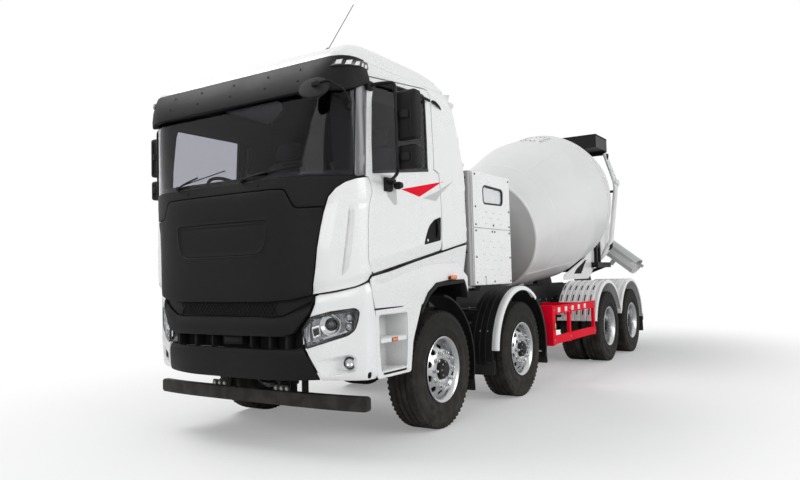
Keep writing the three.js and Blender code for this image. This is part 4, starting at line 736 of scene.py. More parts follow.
def screws(name, body, points, outward, radius=7.0, material=None):
    """Round-headed screws at the given points, standing along outward."""
    ahead = Vector(outward).normalized()
    turn = ahead.to_track_quat("Z", "Y").to_matrix()
    head = turned([(0, -2), (radius, -2), (radius, radius * 0.25), (radius * 0.7, radius * 0.6), (0, radius * 0.7)],
                  (0, 0, 0), (0, 0, 1), 12)
    return piece(name, body, [(merged(*[moved(head, p, turn) for p in points]), material or CHASSIS)])


# ---------------------------------------------------------------- the cab's outer surface
CAB_HALF_W = 1245
CAB_FRONT = 1600
CAB_SIDE_FRONT = 1200
CAB_REAR_X = -545
SIDE_PROFILE = [(1620, 900), (-545, 900), (-545, 1735), (-525, 2452), (-360, 3040), (-262, 3205), (-82, 3330),
                (185, 3385), (600, 3428), (900, 3430), (1150, 3335), (1350, 3210), (1430, 2960), (1565, 2200),
                (1620, 2080)]
FRONT_PROFILE = [(1245, 900), (1245, 2330), (1210, 3020), (1170, 3200), (1095, 3330), (955, 3415), (545, 3445),
                 (-545, 3445), (-955, 3415), (-1095, 3330), (-1170, 3200), (-1210, 3020), (-1245, 2330), (-1245, 900)]


def softened(values, spread_mm, step):
    """Gaussian average along a line of evenly spaced values, ends held."""
    reach = int(3 * spread_mm / step)
    weights = np.exp(-0.5 * (np.arange(-reach, reach + 1) * step / spread_mm) ** 2)
    weights /= weights.sum()
    padded = np.concatenate([2 * values[0] - values[reach:0:-1], values, 2 * values[-1] - values[-2:-reach - 2:-1]])
    return np.stack([np.convolve(padded[:, i], weights, "valid") for i in range(padded.shape[1])], 1)


def soft_outline(outline, step, spread_mm):
    p = densified(outline, step)
    tripled = softened(np.concatenate([p, p, p]), spread_mm, step)
    return tripled[len(p):2 * len(p)]


def plan_line():
    """Half of the cab's plan, from the middle of the front round to the rear corner, every PLAN_STEP mm."""
    y = np.linspace(0, CAB_HALF_W, 400)
    front = np.stack([CAB_FRONT - (CAB_FRONT - CAB_SIDE_FRONT) * (y / CAB_HALF_W) ** 3.8, y], 1)
    line = np.concatenate([front, [[CAB_REAR_X - 20, CAB_HALF_W]]])
    along = np.concatenate([[0], np.cumsum(np.linalg.norm(np.diff(line, axis=0), axis=1))])
    even = np.arange(0, along[-1], PLAN_STEP)
    p = np.stack([np.interp(even, along, line[:, i]) for i in (0, 1)], 1)
    mirrored = np.concatenate([(p[40:0:-1] * (1, -1)), p])
    soft = softened(mirrored, 45, PLAN_STEP)[40:]
    soft[:, 1] = np.minimum(soft[:, 1], CAB_HALF_W)
    return soft


PLAN_STEP = 12.0
PLAN = plan_line()
PLAN_AHEAD = np.gradient(PLAN, axis=0)
PLAN_AHEAD /= np.linalg.norm(PLAN_AHEAD, axis=1)[:, None]
PLAN_OUT = np.stack([PLAN_AHEAD[:, 1], -PLAN_AHEAD[:, 0]], 1)
SOFT_SIDE, SOFT_FRONT = soft_outline(SIDE_PROFILE, 25, 32), soft_outline(FRONT_PROFILE, 25, 40)
CREASE = 60.0


def signed(points, outline):
    return away_from(points, outline) * np.where(inside(points, outline), -1, 1)


def softer_max(a, b):
    near = np.maximum(CREASE - np.abs(a - b), 0) / CREASE
    return np.maximum(a, b) + near * near * CREASE / 4


FIELD_STEP = 15.0
FIELD_U, FIELD_Z = np.arange(-700, 1761, FIELD_STEP), np.arange(1000, 3661, FIELD_STEP)


def distance_field(outline):
    """Signed distance from an outline, read on a grid of its two directions."""
    u, z = np.meshgrid(FIELD_U, FIELD_Z, indexing="ij")
    return signed(np.column_stack([u.ravel(), z.ravel()]), outline).reshape(u.shape)


SIDE_FIELD, FRONT_FIELD = distance_field(SOFT_SIDE), distance_field(SOFT_FRONT)


def read_field(field, u, z):
    i, j = (u - FIELD_U[0]) / FIELD_STEP, (z - FIELD_Z[0]) / FIELD_STEP
    a, b = np.clip(i.astype(int), 0, len(FIELD_U) - 2), np.clip(j.astype(int), 0, len(FIELD_Z) - 2)
    t, v = i - a, j - b
    low = field[a, b] * (1 - t) + field[a + 1, b] * t
    high = field[a, b + 1] * (1 - t) + field[a + 1, b + 1] * t
    return low * (1 - v) + high * v


def beyond_side(p):
    """Signed distance of points outside the cab's side and front outlines."""
    return softer_max(read_field(SIDE_FIELD, p[:, 0], p[:, 2]), read_field(FRONT_FIELD, np.abs(p[:, 1]), p[:, 2]))


def beyond_plan(p):
    """Signed distance of points outside the cab's plan."""
    y = np.abs(p[:, 1])
    ahead = PLAN[:, 1] < CAB_HALF_W - 2
    front = np.interp(y, PLAN[ahead, 1], PLAN[ahead, 0])
    slope = (front - np.interp(y + 5, PLAN[ahead, 1], PLAN[ahead, 0])) / 5
    return np.maximum((p[:, 0] - front) / np.hypot(1, slope), np.maximum(y - CAB_HALF_W, CAB_REAR_X - p[:, 0]))


def skin_grid():
    """How far in from the plan the surface lies, over a grid of arc length and height."""
    s = np.arange(len(PLAN))
    z = np.arange(GRID_Z[0], GRID_Z[1] + 1, GRID_Z[2])
    ss, zz = np.meshgrid(s, z, indexing="ij")
    ss, zz = ss.ravel(), zz.ravel()
    near, far = np.full(len(ss), -60.0), np.full(len(ss), 900.0)
    for _ in range(17):
        mid = (near + far) / 2
        xy = PLAN[ss] - PLAN_OUT[ss] * mid[:, None]
        out = softer_max(beyond_side(np.column_stack([xy, zz])), -mid) > 0
        near, far = np.where(out, mid, near), np.where(out, far, mid)
    return ((near + far) / 2).reshape(len(s), len(z))


GRID_Z = (1100.0, 3220.0, 20.0)
DEPTH = skin_grid()


def cubic(values, at):
    """Smooth reading of a grid at fractional places along its first axis."""
    i = np.clip(np.floor(at).astype(int), 1, len(values) - 3)
    t = (at - i)[..., None] if values.ndim > 1 else at - i
    a, b, c, d = values[i - 1], values[i], values[i + 1], values[i + 2]
    return 0.5 * (2 * b + (c - a) * t + (2 * a - 5 * b + 4 * c - d) * t * t + (3 * b - a - 3 * c + d) * t ** 3)


def depth_at(s, z):
    at, up = np.abs(s) / PLAN_STEP, (z - GRID_Z[0]) / GRID_Z[2]
    i = np.clip(np.floor(at).astype(int), 1, len(DEPTH) - 3)
    j = np.clip(np.floor(up).astype(int), 1, DEPTH.shape[1] - 3)
    t, v = at - i, up - j

    def row(a, b, c, d, q):
        return 0.5 * (2 * b + (c - a) * q + (2 * a - 5 * b + 4 * c - d) * q * q + (3 * b - a - 3 * c + d) * q ** 3)

    rows = [row(*[DEPTH[np.abs(i + k), j + m] for m in (-1, 0, 1, 2)], v) for k in (-1, 0, 1, 2)]
    return row(*rows, t)


def behind_plan(s, z, depth):
    """Points at a depth behind the cab's rounded plan, at arc length s and height z."""
    at = np.abs(s) / PLAN_STEP
    xy = cubic(PLAN, at) - cubic(PLAN_OUT, at) * depth[:, None]
    xy[:, 1] *= np.where(s < 0, -1, 1)
    return np.column_stack([xy, z])


def on_cab(s, z):
    s, z = np.asarray(s, float), np.asarray(z, float)
    return behind_plan(s, z, depth_at(s, z))


def skin(s, z, out=0.0):
    """Points on the cab's surface at arc length s from the middle of the front (left is +) and height z."""
    s, z = np.broadcast_arrays(np.asarray(s, float), np.asarray(z, float))
    along = on_cab(s + 6, z) - on_cab(s - 6, z)
    up = on_cab(s, z + 8) - on_cab(s, z - 8)
    normal = np.cross(along, up)
    normal /= np.linalg.norm(normal, axis=1)[:, None]
    return on_cab(s, z) + normal * np.broadcast_to(out, s.shape)[:, None]


def eased(value, low, high):
    t = np.clip((np.asarray(value, float) - low) / (high - low), 0, 1)
    return t * t * (3 - 2 * t)


BUMPER_SET_BACK = 48.0


def bumper_skin(s, z, out=0.0):
    """The bumper's surface: behind the cab's front, flush with the step units at the sides, leaning back low down."""
    s, z = np.broadcast_arrays(np.asarray(s, float), np.asarray(z, float))
    front = 1 - eased(np.abs(s), 1080, 1390)
    lean = 42 * (np.clip(880 - z, 0, None) / 270) ** 1.4 * (0.3 + 0.7 * front)
    return behind_plan(s, z, BUMPER_SET_BACK * front + lean - out + 3)


# ---------------------------------------------------------------- cab panels
PANEL_OUT, PANEL_T = 4.0, 16.0


def mirrored_outline(right_half):
    """A whole outline from its left half, given from the middle line outwards and back to it."""
    half = np.array(right_half, float)
    other = (half * (-1, 1))[::-1]
    return np.concatenate([half, other[np.abs(other[:, 0]) > 1e-6]])


def surface_sheet(surface, outline, holes=(), out=PANEL_OUT, thick=PANEL_T, ease=6.0, step=34.0, relief=None, lines=()):
    """A panel that follows a surface of (s, z), its rim eased, with a relief of its own."""
    flat, triangles, loops = filled(outline, holes, step, (ease * 0.35, ease) if ease else (), lines)
    height = np.full(len(flat), float(out))
    if ease:
        near = np.min([away_from(flat, loop) for loop in loops], 0)
        share = np.clip(1 - near / ease, 0, 1)
        height -= ease * 0.8 * (1 - np.sqrt(1 - share ** 2))
    if relief is not None:
        height += relief(flat)
    front = surface(flat[:, 0], flat[:, 1], height)
    back = surface(flat[:, 0], flat[:, 1], np.minimum(out, height) - thick)
    return sheet(flat, triangles, front, back)


def sided(outline, side):
    """An outline on the left side of the cab, or its mirror image on the right one."""
    return np.array(outline, float) * (side, 1)


DOOR_FRONT = [(1401, 2216), (1432, 2166), (1446, 2099), (1428, 2045), (1408, 1992), (1388, 1862), (1380, 1700),
              (1380, 1545), (1400, 1500), (1434, 1471)]
CORNER_INNER = [(910, 1293), (942, 1490), (960, 1656), (990, 1814), (1019, 1937), (1058, 2052), (1119, 2121),
                (1192, 2167), (1278, 2196), (1366, 2211)]
FLAP_OUTLINE = mirrored_outline([(0, 1238), (400, 1239), (560, 1243), (746, 1256), (902, 1288), (934, 1490),
                                 (952, 1656), (982, 1814), (1004, 1905), (1014, 1972), (810, 1970), (784, 1977),
                                 (766, 1992), (704, 2104), (690, 2118), (660, 2126), (560, 2130), (0, 2130)])
COWL_OUTLINE = mirrored_outline([(0, 2137), (560, 2137), (664, 2133), (698, 2123), (712, 2108), (772, 1998),
                                 (788, 1984), (812, 1977), (1022, 1980), (1050, 2056), (1113, 2127), (1188, 2173),
                                 (1276, 2202), (1362, 2216), (1362, 2224), (1262, 2219), (700, 2222), (0, 2222)])
SCREEN_OUTLINE = mirrored_outline([(0, 2226), (700, 2226), (1200, 2224), (1256, 2226), (1262, 2250), (1274, 2498),
                                   (1282, 2712), (1286, 2940), (1000, 2950), (0, 2950)])


def flap_relief(p):
    """The bare badge place: a shallow rounded frame with a lower field, and a soft crease near each side."""
    frame_ = away_from(p, BADGE_FRAME)
    within = inside(p, BADGE_FRAME)
    groove = 4.0 * np.exp(-((frame_ - 7) / 5.0) ** 2) * ~within - 6.0 * np.exp(-(frame_ / 5.0) ** 2)
    low = np.where(within, -7.0, 0.0) * eased(frame_, 0, 26)
    side = -10 * eased(np.abs(p[:, 0]), 840, 960) * (1 - eased(p[:, 1], 1850, 2000))
    nose = -9 * (1 - eased(p[:, 1], 1236, 1330))
    return groove + low + side + nose


BADGE_FRAME = rounded([(-490, 1618), (490, 1618), (545, 1892), (-545, 1892)], [110, 110, 60, 60], 5)


def channel_sides(z):
    """Arc lengths of the air channel's two sides at a height."""
    return (np.interp(z, [1425, 1490, 1600, 1756, 1864, 1950], [1150, 1156, 1171, 1192, 1206, 1216]),
            np.interp(z, [1425, 1485, 1653, 1807, 1945, 1995], [1154, 1206, 1236, 1254, 1262, 1296]))


def channel_line(share):
    """A line down the corner panel's air channel, at a share of its width."""
    z = np.linspace(1432, 1986, 26)
    left, right = channel_sides(z)
    return np.column_stack([left + (right - left) * share, z])


def corner_relief(p):
    """Corner panel: falls away towards the flap and its low edge, with an upright air channel."""
    s, z = np.abs(p[:, 0]), p[:, 1]
    inner = np.interp(z, [q[1] for q in CORNER_INNER], [q[0] for q in CORNER_INNER])
    low = 1295 + (s - 910) * 0.19
    fall = -20 * (1 - eased(s - inner, 0, 120)) * (1 - eased(z, 1960, 2120))
    under = -34 * (1 - eased(z - low, 0, 84))
    left, right = channel_sides(z)
    share = (s - left) / np.maximum(right - left, 4)
    channel = -38 * eased(share, -0.06, 0.1) * (1 - np.clip((share - 0.1) / 0.9, 0, 1) ** 1.2)
    channel *= eased(z, 1425, 1480) * (1 - eased(z, 1935, 1985))
    shoulder = 6 * np.exp(-((s - left + 16) / 15) ** 2) * eased(z, 1440, 1500) * (1 - eased(z, 1900, 1960))
    ledge = -9 * np.exp(-((z - 1982 + (1230 - s) * 0.22) / 13) ** 2) * eased(s, 1100, 1200) * (1 - eased(s, 1340, 1392))
    return fall + under + channel + shoulder + ledge


def door_relief(p):
    """Door skin: a soft line below the window and an outward turn at its low edge."""
    s, z = np.abs(p[:, 0]), p[:, 1]
    above = z - low_line(s)
    hem = 4 * (1 - eased(above, 100, 170)) - 24 * np.clip(1 - above / 118, 0, 1)
    waist = -3.0 * np.exp(-((z - (2262 + (s - 1450) * 0.128)) / 14) ** 2) * eased(s, 1450, 1500)
    return hem + waist


def low_line(s, gap=0.0):
    """Height of the door's low edge, which rises towards the rear."""
    return 1429 + (s - 1439) * 0.1855 + gap


DOOR_OUTLINE = ([(s + 9, z) for s, z in reversed(DOOR_FRONT)]
                + [(1376, 2222), (1390, 2500), (1413, 2728), (1446, 2960), (1458, 3020), (1490, 3046), (2396, 3142),
                   (2440, 3138), (2462, 3098), (2455, 2391), (2538, 2362), (2564, 2180), (2574, 1962), (2568, 1738),
                   (2570, low_line(2570, 5))])
DOOR_OUTLINE[0:1] = [(1446, low_line(1446, 5)), (1443, 1471)]
WINDOW_OUTLINE = rounded([(1462, 2262), (2350, 2373), (2352, 2382), (2372, 3086), (1600, 3022), (1538, 2990),
                          (1500, 2860), (1467, 2518)], [14, 10, 10, 40, 30, 40, 0, 0])
HANDLE_OUTLINE = rounded([(2239, 1689), (2558, 1741), (2569, 1960), (2440, 1928), (2340, 1862), (2300, 1800)],
                         [26, 22, 26, 30, 30, 0])


def side_edge(z, gap=22.0):
    """Arc length of the cab's rear edge at a height, less a margin."""
    x = np.interp(z, [1735, 2452, 3040, 3205], [-545, -525, -360, -262])
    return 2566 - x - gap


def cab_side_outline():
    rear = [(float(side_edge(z)), z) for z in (1760, 2100, 2452, 2700, 2900, 3040, 3120, 3172)]
    front = [(2586, low_line(2586, 5)), (side_edge(1745) - 2, low_line(3080, 5))]
    top = [(1250, 3172), (1300, 3010), (1446, 3010)]
    door = [(1452, 3040), (1486, 3056), (2398, 3152), (2446, 3148), (2474, 3104), (2467, 2400), (2550, 2370),
            (2575, 2182), (2586, 1962), (2580, 1738)]
    return front + rear + top + door


def panel_piece(name, body, shapes, replaces=()):
    """A painted panel: sharper bends than on other pieces show as edges."""
    return piece(name, body, shapes, replaces, angle=28)


def make_front():
    """White front: the flap that lifts with its ribs, the cowl, the corner panels and the pillars."""
    shapes = [(surface_sheet(skin, FLAP_OUTLINE, out=5, relief=flap_relief, step=26,
                             lines=[np.concatenate([ring, ring[:1]]) for ring in
                                    (BADGE_FRAME, drawn_in(BADGE_FRAME, 7), drawn_in(BADGE_FRAME, 26),
                                     drawn_in(BADGE_FRAME, -7),
                                     drawn_in(BADGE_FRAME, -14))]),
               MATT_BLACK)]
    panel_piece("front_flap", "front_flap", shapes, ["front_panel"])
    ribs = [surface_sheet(skin, [(-700, z), (700, z), (700, z + 30), (-700, z + 30)], out=-14, thick=16, ease=0,
                          step=60) for z in (1450, 1700, 1990)]
    panel_piece("front_flap_ribs", "front_flap", [(merged(*ribs), GRAINED)])
    panel_piece("cowl_panel", "cab", [(surface_sheet(skin, COWL_OUTLINE, out=4), MATT_BLACK)])
    for side_name, side in SIDES.items():
        outline = sided(CORNER_INNER + [(1395, 2212)] + DOOR_FRONT[1:] + [(1418, 1402), (1409, 1391), (1256, 1347),
                                                                           (1111, 1320)], side)
        creases = [sided(line, side) for line in
                   (channel_line(-0.06), channel_line(0.1), channel_line(0.5), channel_line(1.0))]
        shapes = [(surface_sheet(skin, outline, out=6, relief=corner_relief, step=18, lines=creases), WHITE)]
        panel_piece(f"corner_panel_{side_name}", "cab", shapes)
        pillar = sided([(1290, 2214), (1350, 2226), (1364, 2400), (1376, 2560), (1394, 2725), (1420, 2950),
                        (1298, 2960), (1288, 2712), (1280, 2498), (1268, 2228)], side)
        bulge = lambda p: 12 * np.clip(1 - ((np.abs(p[:, 0]) - 1325 - (p[:, 1] - 2226) * 0.055) / 62) ** 2, 0, 1)
        panel_piece(f"windscreen_pillar_{side_name}", "cab",
                    [(surface_sheet(skin, pillar, out=0, relief=bulge, ease=3), SILVER)])


def make_screen():
    """Windscreen with its dark border, the washer nozzles and the wipers."""
    inner = mirrored_outline([(0, 2262), (700, 2262), (1218, 2262), (1230, 2280), (1240, 2498), (1246, 2712),
                              (1246, 2890), (1226, 2904), (0, 2908)])
    frit = surface_sheet(skin, SCREEN_OUTLINE, [inner], out=-13, thick=2, ease=0, step=50)
    glass = surface_sheet(skin, SCREEN_OUTLINE, out=-4, thick=6, ease=2, step=50)
    panel_piece("windscreen_glass", "cab", [(glass, TINTED)], ["windscreen"])
    panel_piece("windscreen_border", "cab", [(frit, SEAL)])
    for n, (s0, z0, s1, z1) in enumerate([(-560, 2236, -40, 2330), (240, 2236, 800, 2300)]):
        arm = skin(np.linspace(s0, (s0 + s1) / 2, 7), np.linspace(z0, z1 - 22, 7),
                   np.array([10, 26, 32, 32, 30, 28, 24]))
        blade_s = np.linspace(s0 - 130 + 200, s1 + 60, 12)
        blade = skin(blade_s, np.linspace(z0 + 30, z1 + 12, 12), 9)
        knob = turned([(0, 0), (20, 0), (20, 22), (14, 28), (0, 28)], skin([s0], [z0], 2)[0], (1, 0, 0.2), 20)
        piece(f"wiper_{n + 1}", "cab", [(merged(tube(arm, 8), tube(blade, 7, squash=0.6)), GLOSS_BLACK),
                                        (knob, GRAINED)])
    nozzle = [turned([(0, 0), (11, 0), (9, 8), (0, 9)], skin([s], [2180], 3)[0], (1, 0, 0.3), 14) for s in (-420, 420)]
    piece("washer_nozzles", "cab", [(merged(*nozzle), GLOSS_BLACK)])


def make_sides():
    """Cab sides, and doors with their windows and handles."""
    for side_name, side in SIDES.items():
        outer = cab_side_outline()
        roof_gap = surface_sheet(skin, sided(outer, side), out=4, step=34)
        panel_piece(f"cab_side_{side_name}", "cab", [(roof_gap, WHITE)])
        body = f"{side_name}_door"
        skin_ = surface_sheet(skin, sided(DOOR_OUTLINE, side),
                              [sided(WINDOW_OUTLINE, side), sided(HANDLE_OUTLINE, side)],
                              out=4.5, relief=door_relief, step=24)
        panel_piece(f"door_skin_{side_name}", body, [(skin_, WHITE)])
        rim = drawn_in(densified(WINDOW_OUTLINE, 40), 16)
        seal = surface_sheet(skin, sided(WINDOW_OUTLINE, side), [sided(rim, side)], out=2.5, thick=14, ease=3)
        belt = surface_sheet(skin, sided([(1462, 2250), (2352, 2362), (2352, 2384), (1462, 2272)], side), out=9,
                             thick=10,
                             ease=4, step=60)
        panel_piece(f"window_seal_{side_name}", body, [(seal, SEAL), (belt, SEAL)])
        pane = surface_sheet(skin, sided(drawn_in(WINDOW_OUTLINE, 3), side), out=-6, thick=5, ease=0, step=60)
        panel_piece(f"door_glass_{side_name}", body, [(pane, TINTED)])
        well = surface_sheet(skin, sided(drawn_in(HANDLE_OUTLINE, -2), side), out=-26, thick=6, ease=0,
                             relief=lambda p: 24 * (1 - eased(away_from(p, np.abs(HANDLE_OUTLINE) * (side, 1)), 0, 24)))
        grip = skin(np.full(9, 2500.0) * side, np.linspace(1770, 1925, 9), np.array([-14, -2, 3, 4, 4, 4, 3, -2, -14]))
        lock = turned([(0, 0), (15, 0), (13, 8), (0, 9)], skin([2330 * side], [1735], -14)[0], (0, side, 0), 20)
        piece(f"door_handle_{side_name}", body, [(well, GRAINED), (tube(grip, 17, squash=0.6), GLOSS_BLACK),
                                                 (lock, CHROME)])
        make_side_trim(side_name, side, body)


def make_side_trim(side_name, side, body):
    """Two painted triangles, the grab bar over the window and the deflector at the cab's rear corner."""
    red = surface_sheet(skin, sided([(1881, 2159), (2180, 2118), (2558, 2276), (2548, 2284)], side), out=5.6, thick=2,
                        ease=0)
    grey = surface_sheet(skin, sided([(2236, 2110), (2474, 2102), (2560, 2170), (2566, 2214)], side), out=5.6, thick=2,
                         ease=0)
    wing = surface_sheet(skin, sided([(1572, 2246), (1731, 2262), (1801, 2219), (1814, 2020), (1764, 2016),
                                      (1675, 2080), (1619, 2175)], side), out=5.4, thick=2, ease=0)
    panel_piece(f"door_stripe_{side_name}", body, [(red, RED), (grey, PALE_GREY), (wing, PALE_GREY)])
    tips = [surface_sheet(skin, sided(o, side), out=5.2, thick=2, ease=0) for o in
            ([(2574, 2284), (2580, 2284), (2640, 2300), (2572, 2288)], [(2582, 2186), (2841, 2331), (2582, 2226)])]
    panel_piece(f"rear_stripe_{side_name}", "cab", [(tips[0], RED), (tips[1], PALE_GREY)])
    bar_s = np.array([1592, 1620, 1700, 1900, 2100, 2300, 2400]) * side
    bar_z = np.array([3012, 3016, 3022, 3030, 3034, 3030, 3026.0])
    bar = tube(smooth_path(skin(bar_s, bar_z, np.array([0, 26, 34, 36, 36, 34, 30])), 4), 13, 10)
    piece(f"rain_rail_{side_name}", body, [(bar, GRAINED)])
    blade = skin(np.array([2478, 2520, 2600, 2650]) * side, np.array([3040.0, 3028, 3008, 2994]),
                 np.array([18, 24, 18, 6]))
    piece(f"side_deflector_{side_name}", "cab", [(tube(smooth_path(blade, 5), np.interp(np.arange(16), [0, 4, 15],
          [14, 19, 5]), 12, 0.7), GRAINED)])


# ---------------------------------------------------------------- roof and rear of the cab
def cast_in(origins, directions, reach=2600.0):
    """Where rays from inside the cab meet its surface."""
    near, far = np.zeros(len(origins)), np.full(len(origins), reach)
    for _ in range(22):
        mid = (near + far) / 2
        p = origins + directions * mid[:, None]
        out = softer_max(beyond_side(p), beyond_plan(p)) > 0
        near, far = np.where(out, near, mid), np.where(out, mid, far)
    return origins + directions * ((near + far) / 2)[:, None]


def roof_ring():
    """Anchor points on the roof's middle line and level directions out from them, once round the roof."""
    front_x, rear_x, count = 850.0, 60.0, 22
    turns = np.linspace(-math.pi / 2, math.pi / 2, 2 * count + 1)
    front = [((front_x, 0), (math.cos(a), math.sin(a))) for a in turns]
    left = [((x, 0), (0, 1)) for x in np.linspace(front_x, rear_x, 20)[1:-1]]
    rear = [((rear_x, 0), (-math.cos(a), -math.sin(a))) for a in turns]
    right = [((x, 0), (0, -1)) for x in np.linspace(rear_x, front_x, 20)[1:-1]]
    return np.array([a for a, _ in front + left + rear + right]), np.array([d for _, d in front + left + rear + right])


def make_roof():
    """Roof panel and antenna."""
    anchors, ways = roof_ring()
    base = np.column_stack([anchors, np.full(len(anchors), 3172.0)])
    rim = cast_in(base, np.column_stack([ways, np.zeros(len(ways))]))
    low = np.column_stack([anchors, np.full(len(anchors), 2700.0)])
    rings = []
    for share in np.concatenate([np.linspace(0, 0.5, 14), np.linspace(0.5, 1, 9)[1:]]):
        toward = (rim - low) * (1 - share) + np.array([0, 0, 700.0]) * share
        toward /= np.linalg.norm(toward, axis=1)[:, None]
        rings.append(cast_in(low, toward))
    outer = [r + (r - low) / np.linalg.norm(r - low, axis=1)[:, None] * 3 for r in rings]
    inner = [r - (r - low) / np.linalg.norm(r - low, axis=1)[:, None] * 16 for r in rings]
    shape = rings_joined(inner[::-1] + outer + [inner[0]], caps=False)
    piece("roof_panel", "cab", [(shape, WHITE)], angle=40)
    whip_foot = np.array([1005, 715, 3376.0])
    whip = [whip_foot + (np.array([-400, 0, 540]) * t) for t in np.linspace(0, 1, 8)]
    foot = turned([(0, -10), (24, -10), (22, 8), (9, 34), (0, 34)], whip_foot, (-0.45, 0, 0.9), 20)
    piece("antenna", "cab", [(tube(whip, 3.2, 8), CHASSIS), (foot, GRAINED)])


def make_back():
    """Rear wall of the cab with its window, following the side outline."""
    columns = np.concatenate([[-1226, -1190], np.linspace(-1130, 1130, 30), [1190, 1226]])
    rows = np.linspace(1752, 3165, 36)
    y, z = np.meshgrid(columns, rows, indexing="ij")
    lean = 1 - 0.045 * eased(z, 2330, 3170)
    start = np.column_stack([np.full(y.size, 300.0), (y * lean).ravel(), z.ravel()])
    hit = cast_in(start, np.tile([-1.0, 0, 0], (y.size, 1)))
    grid = hit.reshape(len(columns), len(rows), 3)
    rings = [np.concatenate([row, (row + (16, 0, 0))[::-1]]) for row in grid]
    piece("cab_rear_wall", "cab", [(rings_joined(rings), WHITE)], angle=35)
    x = -552
    frame_ = plate(rounded([(-430, 2290), (430, 2290), (430, 2730), (-430, 2730)], 60),
                   [rounded([(-396, 2324), (396, 2324), (396, 2696), (-396, 2696)], 40)], (x + 8, x - 4), "x", 5)
    glass = prism([(-400, 2320), (400, 2320), (400, 2700), (-400, 2700)], (x + 2, x + 7), "x")
    ribs = [block((x - 8, x + 20), (y - 22, y + 22), (1800, 2240), 8) for y in (-900, -450, 0, 450, 900)]
    piece("rear_window_frame", "cab", [(frame_, SEAL), (merged(*ribs), WHITE)])
    piece("rear_window_glass", "cab", [(glass, LAMP_BLACK)])


def shrunk(centre, factor):
    def change(co):
        c = Vector(placed(centre))
        return Vector([c[i] + (co[i] - c[i]) * factor[i] for i in range(3)])
    return change


def make_cab_inside():
    """Rim of the steering wheel and the insides of the doors."""
    refined("cab_frame", "cab_shell", "cab", LINER, bevel=0,
            change=shrunk((520, 0, 2300), (0.966, 0.974, 0.966)))
    for side_name, side in SIDES.items():
        frame_ = surface_sheet(skin, sided(drawn_in(DOOR_OUTLINE, 5), side),
                               [sided(drawn_in(WINDOW_OUTLINE, -4), side)],
                               out=-13, thick=26, ease=0, step=60)
        card = surface_sheet(skin, sided(drawn_in([(1480, 1530), (2540, 1735), (2546, 2330), (1490, 2236)], 6), side),
                             out=-38, thick=30, ease=8, step=60)
        piece(f"door_inner_{side_name}", f"{side_name}_door", [(frame_, LINER), (card, DASH)],
              [f"door_{side_name}"])
        grip = tube(rounded_path([(960, side * 1146, 1980), (960, side * 1098, 2010), (560, side * 1098, 2050),
                                  (560, side * 1146, 2030)], 30), 14)
        rest = block((300, 900), (min(side * 1110, side * 1160), max(side * 1110, side * 1160)), (1900, 1960), 12, 3)
        piece(f"door_armrest_{side_name}", f"{side_name}_door", [(grip, GRAINED), (rest, DASH)])
    refined("dashboard_top", "dashboard", "cab", DASH, bevel=18)
    wheel_centre = np.array([945, -560, 2250.0])
    lean = math.radians(35)
    ahead, third = np.array([-math.sin(lean), 0, math.cos(lean)]), np.array([math.cos(lean), 0, math.sin(lean)])
    ring = [wheel_centre + 225 * (math.cos(a) * third + math.sin(a) * np.array([0, 1, 0])) for a in
            np.linspace(0, 2 * math.pi, 49)[:-1]]
    rim_path = np.array(ring + ring[:1])
    hub = turned([(0, -58), (40, -58), (62, -20), (66, 6), (48, 22), (0, 24)], wheel_centre, ahead, 28)
    spokes = [tube(np.array([wheel_centre - ahead * 6 + 40 * d, wheel_centre - ahead * 4 + 214 * d]), 14, 10, 0.6)
              for d in [math.cos(a) * third + math.sin(a) * np.array([0, 1, 0]) for a in (math.pi, 0.7, -0.7)]]
    piece("steering_wheel_rim", "driver_wheel", [(tube(rim_path, 16, 12), GRAINED), (hub, DASH),
                                                 (merged(*spokes), DASH)], ["steering_wheel"])


def make_seats():
    """Two padded seats with their bases and head rests."""
    base_parts = []
    for name, y0 in (("driver", -560), ("passenger", 560)):
        rails = [block((210, 560), (y0 + dy - 22, y0 + dy + 22), (1704, 1740), 5) for dy in (-120, 120)]
        tub = prism([(215, 1735), (565, 1735), (590, 1925), (190, 1925)], (y0 - 165, y0 + 165), "y", 22)
        base_parts += rails + [tub]
        cushion = pad([(158, 1930), (640, 1930), (650, 2000), (600, 2062), (300, 2048), (158, 2060)], y0, 252)
        back = pad([(150, 2040), (262, 2010), (272, 2110), (178, 2660), (60, 2670)], y0, 246)
        head = pad([(64, 2690), (150, 2680), (140, 2850), (70, 2862), (62, 2780)], y0, 146)
        for label, shape in (("cushion", cushion), ("back", back), ("head_rest", head)):
            made = piece(f"{name}_seat_{label}", "cab", [(shape, FABRIC)], angle=60)
        base_parts += [tube([(105, y0 + dy, 2640), (105, y0 + dy, 2720)], 9) for dy in (-60, 60)]
    piece("seat_bases", "cab", [(merged(*base_parts), DASH),
                                (block((-320, 550), (-290, 290), (1672, 1826), 40, 4), LINER)], ["seats"])


def pad(outline, y0, half):
    """A crowned cushion: an outline carried across the seat, drawn in at its ends and swelling between them."""
    o = rounded(outline, 40, 4)
    centre = o.mean(0)
    rings = []
    for t in np.linspace(-1, 1, 17):
        swell = 1 - 0.2 * abs(t) ** 5 - 0.5 * max(0, abs(t) - 0.93) * 4
        channel = 1 - 0.018 * math.exp(-((abs(t) - 0.52) / 0.05) ** 2)
        ring = centre + (o - centre) * swell * channel
        rings.append(np.column_stack([ring[:, 0], np.full(len(ring), y0 + t * half), ring[:, 1]]))
    return rings_joined(rings)


